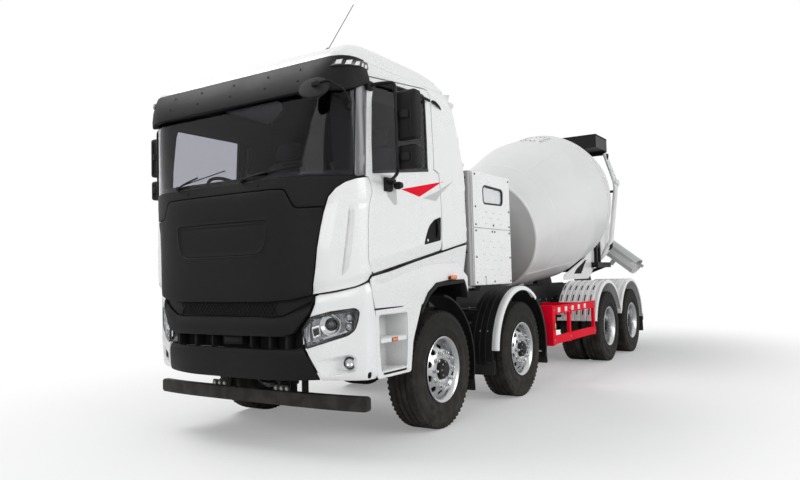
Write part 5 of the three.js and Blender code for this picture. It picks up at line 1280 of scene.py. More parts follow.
# ---------------------------------------------------------------- visor, mirrors and what stands on the cab
def visor_section(s):
    """The visor's closed section at arc length s: (height, distance out from the cab)."""
    tip = float(eased(abs(s), 1180, 1440))
    low = 2890 + 78 * tip
    return [(3178, 2), (3178, 10), (3120, 26 - 6 * tip), (3030, 44 - 14 * tip), (low + 40, 52 - 18 * tip),
            (low + 6, 50 - 18 * tip), (low, 44 - 16 * tip), (low + 2, 14 - 6 * tip), (low + 30, 3), (3030, 2)]


def make_visor():
    """Sun visor with its lamps."""
    stations = np.concatenate([np.linspace(-1442, -1150, 14), np.linspace(-1100, 1100, 30),
                               np.linspace(1150, 1442, 14)])
    rings = []
    for s in stations:
        section = np.array(visor_section(s))
        rings.append(skin(np.full(len(section), s), section[:, 0], section[:, 1]))
    piece("sun_visor", "cab", [(rings_joined(rings), MATT_BLACK)], ["roof_visor"], angle=30)
    for side_name, side in SIDES.items():
        lens = surface_sheet(skin, sided([(1104, 3078), (1470, 3096), (1478, 3160), (1136, 3118)], side), out=46,
                             thick=24,
                             ease=8, step=24,
                             relief=lambda p: -22 * eased(np.abs(p[:, 0]), 1180, 1470))
        cells = [surface_sheet(skin, sided([(s, 3092), (s + 40, 3096), (s + 52, 3132), (s + 14, 3124)], side), out=49,
                               thick=10, ease=3, step=20, relief=lambda p: -22 * eased(np.abs(p[:, 0]), 1180, 1470))
                 for s in (1138, 1204, 1270, 1336, 1402)]
        piece(f"visor_lamp_{side_name}", "cab", [(lens, LAMP_BLACK), (merged(*cells), REFLECTOR)])
    holes = [skin([s], [z], 45 if z < 3060 else 30)[0] for s in (-820, -420, 0, 420, 820) for z in (2990, 3100)]
    screws("visor_screws", "cab", holes, (1, 0, 0.3), 9, GRAINED)


def ribbed_shell(x, y, z):
    """A mirror housing: rounded box whose front face has two raised ribs and an arm channel."""
    shell = block(x, y, z, 26, 4)
    mid = (y[0] + y[1]) / 2
    ribs = [block((x[1] - 12, x[1] + 9), (mid + d - 9, mid + d + 9), (z[0] + 34, z[1] - 34), 7, 3) for d in (-58, 58)]
    saddle = turned([(0, -30), (46, -30), (50, 0), (46, 30), (0, 30)], (x[1] - 14, mid, (z[0] + z[1]) / 2), (0, 0, 1),
                    24)
    return merged(shell, *ribs, saddle)


def make_mirrors():
    """Mirror heads on their arms, and the round front mirror."""
    for side_name, side in SIDES.items():
        body = f"{side_name}_door"
        y = across(side, 1412, 1618)
        parts = [ribbed_shell((944, 1050), y, (2500, 2898)), ribbed_shell((944, 1046), y, (2262, 2458))]
        glass = [block((936, 944), (y[0] + 16, y[1] - 16), (z0 + 16, z1 - 16), 3) for z0,
                 z1 in ((2500, 2898), (2262, 2458))]
        arm = rounded_path([(1108, side * 1212, 2965), (1086, side * 1300, 2975), (1080, side * 1455, 2960),
                            (1072, side * 1460, 2240), (1010, side * 1380, 2210), (900, side * 1226, 2190)], 50)
        feet = [block((1070, 1150), across(side, 1206, 1246), (2925, 3000), 10, 3),
                block((846, 950), across(side, 1224, 1262), (2120, 2236), 12, 3),
                turned([(0, 0), (24, 0), (28, 20), (20, 44), (0, 46)], (880, side * 1258, 2200), (0, side, 0), 20),
                turned([(0, 0), (30, 0), (33, 30), (24, 62), (0, 64)], (800, side * 1256, 2175), (0, side, 0), 24)]
        piece(f"mirror_heads_{side_name}", body, [(merged(*parts), GRAINED), (merged(*glass), CHROME)],
              [f"mirror_{side_name}"], angle=40)
        piece(f"mirror_arm_{side_name}", body, [(tube(arm, 14), GLOSS_BLACK), (merged(*feet), GRAINED)])
    disc_centre, facing = np.array([1592, 1052, 2866.0]), np.array([0.75, 0.30, 0.59])
    disc = turned([(0, -22), (70, -20), (112, -8), (122, 4), (116, 16), (84, 22), (0, 26)], disc_centre, facing, 48)
    arm = rounded_path([(1290, 1150, 2790), (1360, 1208, 2790), (1440, 1218, 2870), (1540, 1140, 2930),
                        (1600, 1070, 2902)], 30)
    clamp = block((1575, 1625), (1045, 1100), (2876, 2916), 8, 3)
    foot = [block((1278, 1318), (1128, 1176), (2740, 2850), 10, 3)]
    piece("front_mirror_disc", "cab", [(merged(disc, clamp), GRAINED), (tube(arm, 8, 10), GLOSS_BLACK),
                                       (merged(*foot), GRAINED)], ["front_mirror"], angle=40)


make_front()
make_screen()
make_sides()
make_roof()
make_back()
make_cab_inside()
make_seats()
make_visor()
make_mirrors()


# ---------------------------------------------------------------- bumper, lamps and steps
def bumper_sheet(outline, holes=(), out=4.0, thick=16.0, ease=6.0, step=30.0, relief=None, lines=()):
    return surface_sheet(bumper_skin, outline, holes, out, thick, ease, step, relief, lines)


LAMP_OUTLINE = rounded([(884, 1116), (1053, 1155), (1256, 1178), (1290, 1150), (1276, 1076), (1252, 1006), (1196, 962),
                        (842, 866), (806, 1018)], [18, 0, 24, 26, 0, 30, 30, 14, 18])
SCOOP_OUTLINE = rounded([(934, 764), (1100, 798), (1207, 814), (1256, 790), (1250, 682), (1150, 664), (990, 648)],
                        [10, 0, 26, 26, 22, 0, 16])
TOW_OUTLINE = rounded([(1350, 622), (1398, 622), (1398, 672), (1350, 672)], 22)
BUMPER_OUTLINE = [(928, 1276), (962, 1288), (1113, 1306), (1256, 1334), (1388, 1372), (1400, 1330), (1412, 1240),
                  (1426, 1163),
                  (1458, 1046), (1461, 833), (1468, 612), (1206, 607), (967, 615), (836, 862), (884, 1124), (926, 1216)]


def bumper_relief(p):
    """A rolled low edge, a soft shoulder over the lamp and a waist line under it."""
    s, z = np.abs(p[:, 0]), p[:, 1]
    low = -14 * (1 - eased(z, 606, 650))
    crown = -16 * eased(z - 1290 - (s - 960) * 0.17, -62, 10)
    waist = -6 * np.exp(-((z - (846 + (s - 840) * 0.16)) / 16) ** 2) * (1 - eased(s, 1230, 1300))
    side = 4 * eased(s, 1290, 1330)
    return low + crown + waist + side


def make_bumper_corner(name, side):
    holes = [sided(LAMP_OUTLINE, side), sided(SCOOP_OUTLINE, side), sided(TOW_OUTLINE, side)]
    panel = bumper_sheet(sided(BUMPER_OUTLINE, side), holes, out=4, thick=20, ease=8, step=22, relief=bumper_relief)
    piece(f"bumper_corner_skin_{name}", "cab", [(panel, WHITE)], [f"bumper_corner_{name}"])
    floor_ = lambda outline, depth, rise: bumper_sheet(
        sided(drawn_in(outline, -3), side), out=-depth, thick=8, ease=0, step=18,
        relief=lambda p: rise * (1 - eased(away_from(p, sided(outline, side)), 0, depth * 0.9)))
    scoop = bumper_sheet(sided(drawn_in(SCOOP_OUTLINE, -3), side), out=0, thick=8, ease=0, step=18,
                         relief=lambda p: -46 * eased(np.abs(p[:, 0]), 930, 1150)
                         * eased(away_from(p, sided(SCOOP_OUTLINE, side)), 0, 26) - 3)
    tow = floor_(TOW_OUTLINE, 30, 24)
    fog = bumper_skin([1206 * side], [747], -44)[0]
    facing = bumper_skin([1206 * side], [747], 0)[0] - bumper_skin([1206 * side], [747], -20)[0]
    barrel = turned([(30, 2), (44, 2), (50, 30), (47, 33), (40, 30), (30, 8)], fog, facing, 36, closed=True)
    dish = turned([(0, 4), (18, 7), (34, 16), (40, 24), (40, 26), (34, 19), (18, 10), (0, 7)], fog, facing, 36)
    lens = turned([(0, 30), (24, 28), (41, 22), (41, 18), (0, 20)], fog, facing, 36)
    piece(f"fog_lamp_{name}", "cab", [(scoop, WHITE), (tow, GRAINED), (barrel, LAMP_BLACK), (dish, CHROME),
                                      (lens, CLEAR)])


def make_headlamp(name, side):
    """The lamp behind its clear cover: a dark tray, a projector, a square unit, a round unit and a lit edge."""
    tray = bumper_sheet(sided(drawn_in(LAMP_OUTLINE, -4), side), out=-62, thick=8, ease=0, step=20,
                        relief=lambda p: 56 * (1 - eased(away_from(p, sided(LAMP_OUTLINE, side)), 0, 26)))
    face = lambda s, z, out: bumper_skin([s * side], [z], out)[0]
    facing = face(1056, 1045, 0) - face(1056, 1045, -20)
    ahead = facing / np.linalg.norm(facing)
    ahead = ahead * 0.75 + np.array([0.25, 0, 0])
    big = face(1056, 1050, -58)
    shroud = turned([(66, 0), (82, 6), (88, 36), (84, 42), (76, 38), (66, 10)], big, ahead, 44, closed=True)
    dish = turned([(0, 8), (40, 14), (64, 26), (76, 38), (76, 35), (62, 20), (40, 8), (0, 2)], big, ahead, 44)
    eye = turned([(0, 46), (16, 43), (28, 35), (34, 24), (34, 10), (0, 10)], big, ahead, 36)
    ring = turned([(34, 22), (42, 22), (42, 27), (34, 27)], big, ahead, 36, closed=True)
    small = face(1212, 1104, -50)
    low = face(1208, 1030, -50)
    round_units = [turned([(26, 0), (38, 4), (42, 26), (38, 30), (30, 12)], c, ahead, 28, closed=True)
                   for c in (small, low)]
    bulbs = [turned([(0, 20), (12, 18), (24, 10), (26, 2), (0, 2)], c, ahead, 24) for c in (small, low)]
    square = bumper_sheet(sided(rounded([(884, 1030), (958, 1048), (968, 966), (900, 942)], 10), side),
                          [sided(rounded([(896, 1016), (948, 1029), (955, 978), (908, 958)], 6), side)], out=-22,
                          thick=20,
                          ease=3, step=20)
    inner = bumper_sheet(sided([(896, 1016), (948, 1029), (955, 978), (908, 958)], side), out=-34, thick=6, ease=2,
                         step=20)
    strips = [bumper_sheet(sided([(s - 12 + d, z0), (s - 3 + d, z0 + 2), (s - 3 + d + lean, z1 + 2),
                                  (s - 12 + d + lean, z1)], side),
                           out=-12, thick=24, ease=1, step=40) for d, s, z0, z1, lean in
              [(i * 13, 826, 900 + i * 5, 1006 + i * 14, -4 + i * 1.2) for i in range(5)]]
    brow = bumper_sheet(sided([(888, 1104), (1053, 1142), (1250, 1164), (1262, 1146), (1060, 1128), (892, 1090)], side),
                        out=-14, thick=14, ease=3, step=24)
    turn_strip = bumper_sheet(sided([(985, 948), (1190, 1000), (1186, 986), (986, 934)], side), out=-12, thick=14,
                              ease=3, step=24)
    piece(f"headlamp_units_{name}", "cab",
          [(tray, LAMP_BOWL), (merged(shroud, square, *round_units), CHROME), (merged(dish, *strips), CHROME),
           (merged(inner, ring), LAMP_BLACK), (eye, LAMP_EYE), (merged(*bulbs), LAMP_BOWL), (brow, LAMP_BLACK),
           (turn_strip, PALE_GREY)], [f"headlamp_{name}"])
    gasket = bumper_sheet(sided(drawn_in(LAMP_OUTLINE, -1), side), [sided(drawn_in(LAMP_OUTLINE, 9), side)], out=3,
                          thick=22,
                          ease=3, step=22)
    piece(f"headlamp_gasket_{name}", "cab", [(gasket, SEAL)])
    cover = bumper_sheet(sided(drawn_in(LAMP_OUTLINE, 6), side), out=2, thick=4, ease=3, step=22,
                         relief=lambda p: 3.0 * np.sin((p[:, 0] - p[:, 1] * 0.3) / 200.0))
    piece(f"headlamp_cover_{name}", "cab", [(cover, CLEAR)])


def make_bumper_centre():
    """Black middle: mesh strip under the flap, lip, dark opening and the lower panel."""
    rise = lambda p: np.interp(np.abs(p[:, 0]), [0, 520, 640, 880, 922], [0, -4, 4, 100, 168])
    lip = mirrored_outline([(0, 1118), (420, 1118), (520, 1112), (640, 1122), (880, 1214), (922, 1284), (922, 1262),
                            (880, 1150), (742, 990), (640, 962), (0, 962)])
    lip_relief = lambda p: (26 * (1 - np.clip((p[:, 1] - 1078 - rise(p)) / 40, 0, 1)) - 12 * (1 - eased(p[:, 1], 962,
                                                                                                        990)))
    lower = mirrored_outline([(0, 858), (480, 856), (700, 862), (806, 876), (940, 634), (946, 618), (466, 606),
                              (0, 606)])
    lower_relief = lambda p: (-26 * eased(p[:, 1], 836, 876) - 5 * np.exp(-((p[:, 1] - 688) / 7) ** 2)
                              * (1 - eased(np.abs(p[:, 0]), 700, 780)))
    parts = [bumper_sheet(lip, out=6, thick=22, ease=6, step=30, relief=lip_relief),
             bumper_sheet(lower, out=2, thick=18, ease=6, step=30, relief=lower_relief)]
    piece("bumper_middle", "cab", [(merged(*parts), MATT_BLACK)], ["bumper_centre"])
    backing = block((1392, 1400), (-790, 790), (846, 984))
    centre = block((1410, 1486), (-90, 130), (880, 956), 10, 3)
    stays = [block((1404, 1500), (y - 12, y + 12), (850, 980), 4) for y in (-640, -420, -210, 250, 460, 640)]
    radar = block((1470, 1490), (-70, 110), (892, 944), 6, 3)
    piece("bumper_opening", "cab", [(merged(centre, *stays), GRAINED), (backing, LINER), (radar, GLOSS_BLACK)])
    weave = []
    for k in range(-14, 15):
        for slope in (1, -1):
            s = np.linspace(k * 38 - 40 * slope, k * 38 + 40 * slope, 4)
            z = np.linspace(1126, 1232, 4)
            if np.abs(s).max() < 880:
                weave.append(tube(bumper_skin(s, z, 2), 4.2, 5))
    around_edge = [(0, 1242), (560, 1246), (880, 1284), (914, 1292), (900, 1240), (640, 1128), (520, 1116), (0, 1122)]
    around_hole = mirrored_outline([(0, 1222), (524, 1218), (566, 1136), (0, 1132)])
    around = bumper_sheet(mirrored_outline(around_edge), [around_hole], out=-6, thick=12, ease=3, step=40)
    dark = bumper_sheet(mirrored_outline([(0, 1108), (600, 1108), (880, 1205), (905, 1262), (870, 1244), (0, 1236)]),
                        out=-20, thick=8, ease=0, step=60)
    piece("bumper_mesh", "cab", [(merged(*weave), GRAINED), (around, MATT_BLACK), (dark, LINER)])


def make_guard_bar():
    """Front underrun bar on two plates, each held by three bolts."""
    def section(t):
        crown = 0.7 + 0.3 * math.sqrt(max(0.0, 1 - (max(0.0, abs(t) - 1187) / 28) ** 2))
        h, x0 = 60 * crown, 1228 - 60 * (abs(t) / 1215) ** 4
        o = rounded([(x0, -h), (x0 + 62, -h), (x0 + 62, h), (x0, h)], 12)
        return np.column_stack([o[:, 0], np.full(len(o), t), o[:, 1] + 423])
    ends = 28 * (1 - np.cos(np.linspace(0, math.pi / 2, 7)))
    spans = np.concatenate([-1215 + ends, np.linspace(-1150, 1150, 31), (1215 - ends)[::-1]])
    bar = rings_joined([section(t) for t in spans])
    plates, heads = [], []
    for side in (1, -1):
        for y in (300, 430):
            o = [(1010, 372), (1226, 372), (1226, 476), (1150, 440), (1088, 440), (1088, 700), (1010, 790)]
            plates.append(prism(o, across(side, y, y + 14), "y", 3))
        tab = rounded([(side * 270, 476), (side * 470, 476), (side * 456, 532), (side * 290, 532)], 12)
        plates.append(prism(tab, (1262, 1276), "x", 2))
        heads += [(1276, side * y, 504) for y in (310, 371, 432)]
    piece("guard_bar", "chassis", [(merged(bar, *plates), CHASSIS)], ["front_guard_bar"])
    turn = Vector((1, 0, 0)).to_track_quat("Z", "Y").to_matrix()
    nut = hexagon_nut(24, 11)
    piece("guard_bar_bolts", "chassis", [(merged(*[moved(nut, p, turn) for p in heads]), STEEL)])


def make_step(name, side):
    """Entry steps: white treads with gripping teeth in a white well, its frame, and an amber lamp behind."""
    y_out = 1240
    outline = rounded([(1096, 604), (1118, 800), (1112, 1150), (700, 1158), (470, 1240), (396, 1180), (560, 860),
                       (606, 604)], [30, 0, 10, 30, 40, 30, 30, 24])
    well = rounded([(1046, 650), (1066, 800), (1070, 1112), (640, 1112), (640, 900), (664, 650)],
                   [36, 0, 30, 30, 30, 30])
    wall = plate(outline, [well], (y_out - 14, y_out + 4), "y", 5)
    inner = block((640, 1072), (1000, 1014), (640, 1120), 4)
    linings = [block((640, 1066), (1010, y_out - 12), (640, 650), 3),
               block((1056, 1068), (1010, y_out - 12), (650, 1110), 3),
               block((632, 644), (1010, y_out - 12), (650, 1110), 3),
               block((640, 1066), (1010, y_out - 12), (1106, 1116), 3)]
    shape = merged(wall, inner, *linings)
    piece(f"step_well_{name}", "cab", [(on_side(shape, side), WHITE)], [f"step_{name}"])
    treads = []
    for z in (640, 900):
        pan = plate(rounded([(672, 1030), (1044, 1030), (1048, 1236), (668, 1236)], 14),
                    [rounded([(x, y), (x + 24, y), (x + 24, y + 44), (x, y + 44)], 10, 3) for x in range(706, 1010, 52)
                     for y in (1060, 1140)], (z, z + 16), "z", 3, 40)
        teeth = [prism([(x, z + 15), (x + 18, z + 15), (x + 14, z + 27), (x + 4, z + 27)], (1204, 1228), "y")
                 for x in range(684, 1030, 26)]
        nose = block((668, 1048), (1226, 1244), (z - 18, z + 18), 6, 3)
        treads.append(merged(pan, nose, *teeth))
    piece(f"step_treads_{name}", "cab", [(on_side(merged(*treads), side), WHITE)])
    bezel = block((806, 898), (y_out + 2, y_out + 7), (884, 916), 3, 2)
    lens = block((812, 892), (y_out + 4, y_out + 14), (888, 912), 4, 3)
    piece(f"step_marker_{name}", "cab", [(on_side(bezel, side), GRAINED), (on_side(lens, side), AMBER)])


def make_lower_side(name, side):
    """Painted side under the door and the black arch edge over the first wheel."""
    low = lambda s: np.interp(s, [1415, 1689, 2115, 2600, 3040], [1424, 1464, 1549, 1637, 1720])
    arch_s = np.array([2195, 2285, 2434, 2663, 2988, 3040, 3078])
    arch_z = np.array([1158, 1262, 1342, 1362, 1362, 1262, 1200])
    crease = lambda s: np.interp(s, [1411, 1894, 2349, 2859, 3040, 3080], [1322, 1444, 1519, 1530, 1415, 1390])
    top = [(s, float(low(s)) - 8) for s in (3078, 2860, 2600, 2360, 2115, 1900, 1689, 1540, 1452)]
    outline = [(1422, 1400), (1414, 1330), (1438, 1230), (1462, 1164), (2190, 1164)] + list(zip(arch_s, arch_z)) + top

    def relief(p):
        s, z = np.abs(p[:, 0]), p[:, 1]
        share = np.clip((low(s) - z) / np.maximum(low(s) - crease(s), 20), 0, 1)
        return -46 * share * eased(z - crease(s), -4, 16) * eased(s, 1430, 1640)

    top_line = np.linspace(1440, 3060, 60)
    bends = [sided(np.column_stack([top_line, crease(top_line) + up]), side) for up in (-5, 16)]
    panel = surface_sheet(skin, sided(outline, side), out=5, thick=16, step=26, relief=relief, lines=bends)
    tunnel_path = [(396, 1120), (371, 1166), (281, 1268), (132, 1348), (-97, 1370), (-422, 1370), (-474, 1268),
                   (-520, 1190)]
    inner_path = drawn_in(np.array(tunnel_path + [(0, 542)]), 14)[:-1]
    lining = prism(tunnel_path + [tuple(q) for q in inner_path[::-1]], across(side, 640, 1236), "y")
    lamp_base = block((-216, -96), across(side, 1240, 1262), (1372, 1404), 5, 2)
    lamp_lens = block((-210, -102), across(side, 1244, 1276), (1376, 1412), 8, 3)
    piece(f"wheel_housing_{name}", "cab", [(lining, GRAINED)])
    piece(f"arch_lamp_{name}", "cab", [(lamp_base, GRAINED), (lamp_lens, AMBER)])
    flare_in = np.column_stack([[2150, *arch_s], [1110, *(arch_z - 2)]]).astype(float)
    flare_out = flare_in + [(4, -34), (8, -34), (18, -28), (20, -32), (6, -38), (-14, -26), (-30, -16), (-34, -12)]
    flare = surface_sheet(skin, sided(np.concatenate([flare_in, flare_out[::-1]]), side), out=16, thick=60, ease=6,
                          step=26)
    seam = surface_sheet(skin, sided([(s, float(low(s)) - 12) for s in (1460, 1689, 2115, 2600, 3070)]
                                     + [(s, float(low(s)) + 8) for s in (3070, 2600, 2115, 1689, 1460)], side),
                         out=-9, thick=8, ease=0, step=60)
    return panel, flare, seam


for side_name, side_sign in SIDES.items():
    make_bumper_corner(side_name, side_sign)
    make_headlamp(side_name, side_sign)
    make_step(side_name, side_sign)
    lower_panel, arch_flare, under_seam = make_lower_side(side_name, side_sign)
    piece(f"cab_lower_side_{side_name}", "cab", [(lower_panel, WHITE)])
    piece(f"wheel_arch_edge_{side_name}", "cab", [(arch_flare, GRAINED), (under_seam, LINER)])
make_bumper_centre()
make_guard_bar()


# ---------------------------------------------------------------- wheels
TYRE_R, TYRE_W, RIM_R, RIM_FLANGE_R = 542.5, 300.0, 286.0, 302.0
FRONT_OUTER_Y, REAR_OUTER_Y, TWIN_GAP = 1224.0, 1236.0, 36.0
WHEEL_STEPS, TREAD_COUNT, TREAD_R = 96, 60, 512.0


def tyre_profile():
    """Section of a tyre on its rim: (radius, distance from the middle), crown grooves and sidewall rings in it."""
    half = [(RIM_R - 2, 104), (RIM_R - 2, 122), (RIM_FLANGE_R + 8, 133), (340, 143), (372, 148), (376, 151), (384, 151),
            (388, 149), (432, 150), (470, 147), (474, 149), (490, 147), (494, 143), (512, 138), (528, 131), (537, 120),
            (540, 108), (540.5, 66), (528, 64), (528, 52), (541, 50), (541.5, 10), (529, 8), (529, 0)]
    whole = half + [(r, -t) for r, t in half[::-1][1:]]
    return whole + [(RIM_R - 12, -100), (RIM_R - 12, 100)]


def tread_ring(name, body, x, y):
    """Shoulder blocks all round the tyre, by the ring tree: the ring lies in XY and is turned upright."""
    blocks = []
    for sign in (1, -1):
        lean = 5 * sign
        o = [(-17 + lean, sign * 76), (13 + lean, sign * 76), (16 - lean, sign * 112), (14 - lean, sign * 136),
             (-12 - lean, sign * 136), (-14 - lean, sign * 112)]
        low = np.array([(0 if abs(v) < 120 else -14, u, v) for u, v in o])
        high = np.array([(TYRE_R - (TREAD_R if abs(v) < 120 else TREAD_R + 5), u * 0.94, v * 0.995) for u, v in o])
        blocks.append(rings_joined([low, high]))
    for v0 in (-44, 16):
        o = [(-14, v0), (10, v0 - 4), (14, v0 + 28), (-10, v0 + 32)]
        blocks.append(rings_joined([[(6, u, v) for u, v in o], [(TYRE_R - TREAD_R, u, v) for u, v in o]]))
    return repeated(name, body, merged(*blocks), RING, RUBBER, "tyre_rubber", place=(x, y, TYRE_R),
                    turn=(math.pi / 2, 0, 0), count=TREAD_COUNT, radius=TREAD_R)


def oval(along, across, steps=14):
    a = np.arange(steps) * 2 * math.pi / steps
    return np.column_stack([along * np.cos(a), across * np.sin(a)])


def hand_holes(radius, across):
    """Ten oval holes round a disc, their middles at a radius."""
    o = oval(24, across) + (radius, 0)
    return [np.column_stack([o[:, 0] * math.cos(a) - o[:, 1] * math.sin(a),
                             o[:, 0] * math.sin(a) + o[:, 1] * math.cos(a)])
            for a in [2 * math.pi * (k + 0.5) / 10 for k in range(10)]]


def nuts_round(nut, count, radius, centre, side):
    """Nuts in a ring about a wheel's middle, standing outwards."""
    turn = Matrix.Rotation(-side * math.pi / 2, 4, "X")
    x, y, z = centre
    return merged(*[moved(nut, (x + radius * math.cos(a), y, z + radius * math.sin(a)), turn)
                    for a in np.arange(count) * math.pi / (count / 2)])


def rim_section(well):
    """Closed section of a rim: (radius, distance from its middle), its well at a radius."""
    return [(RIM_FLANGE_R, 136), (RIM_FLANGE_R + 2, 143), (RIM_FLANGE_R - 4, 147), (RIM_FLANGE_R - 14, 144),
            (RIM_R - 8, 132), (266, 118), (258, 92), (well, -60), (262, -120), (RIM_FLANGE_R - 8, -140),
            (RIM_FLANGE_R, -136), (RIM_R - 4, -118), (well + 14, -60), (272, 92), (RIM_R, 122)]


def holed_disc(depth_of, holes, r_in, r_out, thick, origin, side):
    """A turned disc with holes: depth_of(radius) is how far out it stands; the face looks to the side."""
    def circle(r, count):
        return oval(r, r, count)

    rings = [np.concatenate([circle(r, 72), circle(r, 72)[:1]]) for r in np.linspace(r_in + 9, r_out - 7, 11)
             if abs(r - 205) > 30]
    flat, triangles, _ = filled(circle(r_out, 96), [circle(r_in, 48)] + holes, 16, (4,), rings, grid=24)
    depth = depth_of(np.hypot(flat[:, 0], flat[:, 1]))
    x0, y0, z0 = origin
    front, back = [np.column_stack([x0 + flat[:, 0], y0 + side * out, z0 + flat[:, 1]])
                   for out in (depth, depth - thick)]
    return sheet(flat, triangles, front, back)


def front_rim(name, side, axle, x):
    """Polished dished rim: ten oval hand holes, ten nuts on studs, a black hub cap in the middle."""
    y, body = side * (FRONT_OUTER_Y - TYRE_W / 2), f"wheel_{axle}_{name}"
    origin = (x, y, TYRE_R)
    barrel = turned(rim_section(256), origin, (0, side, 0), WHEEL_STEPS, closed=True)
    depth = lambda r: np.interp(r, [0, 84, 100, 128, 150, 172, 190, 222, 244, 258],
                                [122, 122, 132, 136, 134, 128, 116, 84, 66, 60])
    disc = holed_disc(depth, hand_holes(207, 31), 84, 262, 14, origin, side)
    piece(f"rim_{axle}_{name}", body, [(merged(barrel, disc), ALLOY)], [f"front_rim_{axle}_{name}"],
          angle=38)
    hub = turned([(0, -90), (246, -90), (246, 30), (236, 40), (120, 44), (112, 60), (84, 108), (82, 124), (86, 128),
                  (86, 150), (80, 158), (60, 162), (56, 172), (0, 174)], origin, (0, side, 0), 48)
    cap_bolts = nuts_round(hexagon_nut(14, 8), 8, 68, (x, y + side * 160, TYRE_R), side)
    piece(f"hub_cap_{axle}_{name}", body, [(hub, CHASSIS), (cap_bolts, STEEL)])
    nuts = nuts_round(hexagon_nut(33, 26, 14), 10, 155, (x, y + side * 132, TYRE_R), side)
    piece(f"wheel_nuts_{axle}_{name}", body, [(nuts, CHROME)])


def rear_rims(name, side, axle, x):
    """Twin rims: the outer one deeply dished with hand holes, the hub drum standing out of its middle."""
    y_out, y_in = side * (REAR_OUTER_Y - TYRE_W / 2), side * (REAR_OUTER_Y - 1.5 * TYRE_W - TWIN_GAP)
    body = f"wheel_{axle}_{name}"
    middle = (x, y_out, TYRE_R)
    shapes = [turned(rim_section(252), (x, y, TYRE_R), (0, side, 0), WHEEL_STEPS, closed=True) for y in (y_out, y_in)]
    depth = lambda r: np.interp(r, [0, 120, 150, 172, 196, 232, 258], [-118, -118, -116, -108, -92, -44, -10])
    disc = holed_disc(depth, hand_holes(212, 29), 112, 262, 14, middle, side)
    piece(f"rear_rims_{axle}_{name}", body, [(merged(*shapes, disc), ALLOY)], angle=38)
    hub = turned([(0, -330), (150, -330), (150, -132), (124, -118), (118, -60), (112, -30), (112, -8), (104, 0),
                  (78, 6), (72, 26), (0, 30)], middle, (0, side, 0), 48)
    nuts = nuts_round(hexagon_nut(33, 26, 20), 10, 168, (x, y_out - side * 110, TYRE_R), side)
    bolts = nuts_round(hexagon_nut(17, 10), 10, 94, middle, side)
    piece(f"rear_hub_{axle}_{name}", body, [(hub, CHASSIS), (merged(nuts, bolts), STEEL)])
    tyres = [turned(tyre_profile(), (x, y, TYRE_R), (0, 1, 0), WHEEL_STEPS, closed=True) for y in (y_out, y_in)]
    piece(f"rear_tyres_{axle}_{name}", body, [(merged(*tyres), RUBBER)], [f"rear_wheel_{axle}_{name}"])
    for place_name, y in (("outer", y_out), ("inner", y_in)):
        tread_ring(f"tread_{axle}_{name}_{place_name}", body, x, y)


for side_name, side_sign in SIDES.items():
    for axle_number in (1, 2):
        axle_x = AXLES[axle_number - 1]
        wheel_body, tyre_y = f"wheel_{axle_number}_{side_name}", side_sign * (FRONT_OUTER_Y - TYRE_W / 2)
        piece(f"tyre_{axle_number}_{side_name}", wheel_body,
              [(turned(tyre_profile(), (axle_x, tyre_y, TYRE_R), (0, 1, 0), WHEEL_STEPS, closed=True), RUBBER)],
              [f"front_tyre_{axle_number}_{side_name}"], angle=30)
        tread_ring(f"tread_{axle_number}_{side_name}", wheel_body, axle_x, tyre_y)
        front_rim(side_name, side_sign, axle_number, axle_x)
        refined(f"steering_knuckle_{axle_number}_{side_name}", f"knuckle_{axle_number}_{side_name}",
                f"hub_{axle_number}_{side_name}", CHASSIS, bevel=3)
    for axle_number in (3, 4):
        rear_rims(side_name, side_sign, axle_number, AXLES[axle_number - 1])
for axle_number, axle_node in enumerate(["front_axle_1", "front_axle_2", "rear_axle_3", "rear_axle_4"]):
    refined(axle_node + "_beam", axle_node, "chassis", CHASSIS, bevel=4)


# ---------------------------------------------------------------- drum
DRUM_TILT = math.radians(14.8)
DRUM_FOOT = np.array([-3380, 0, 1973.0])
DRUM_AXIS = np.array([-math.cos(DRUM_TILT), 0, math.sin(DRUM_TILT)])
DRUM_UP = np.array([math.sin(DRUM_TILT), 0, math.cos(DRUM_TILT)])
DRUM_LINE = [(833, 4), (1144, 1650), (1151, 1715), (1154, 1900), (1155, 2157), (1154, 2410), (1151, 2600), (1141, 2665),
             (560, 4135)]


def drum_radius(t):
    return np.interp(t, [p[1] for p in DRUM_LINE], [p[0] for p in DRUM_LINE])


def on_drum(t, turn, radius):
    """A point at a distance along the drum's axis and a turn from its top towards the left."""
    t, turn, radius = np.broadcast_arrays(*(np.asarray(v, float) for v in (t, turn, radius)))
    side = np.array([0, 1, 0])
    return (DRUM_FOOT + t[..., None] * DRUM_AXIS + radius[..., None]
            * (np.cos(turn)[..., None] * DRUM_UP + np.sin(turn)[..., None] * side))


def drum_surface(t, around, out):
    return on_drum(t, np.asarray(around) / 1155.0, drum_radius(t) + out)


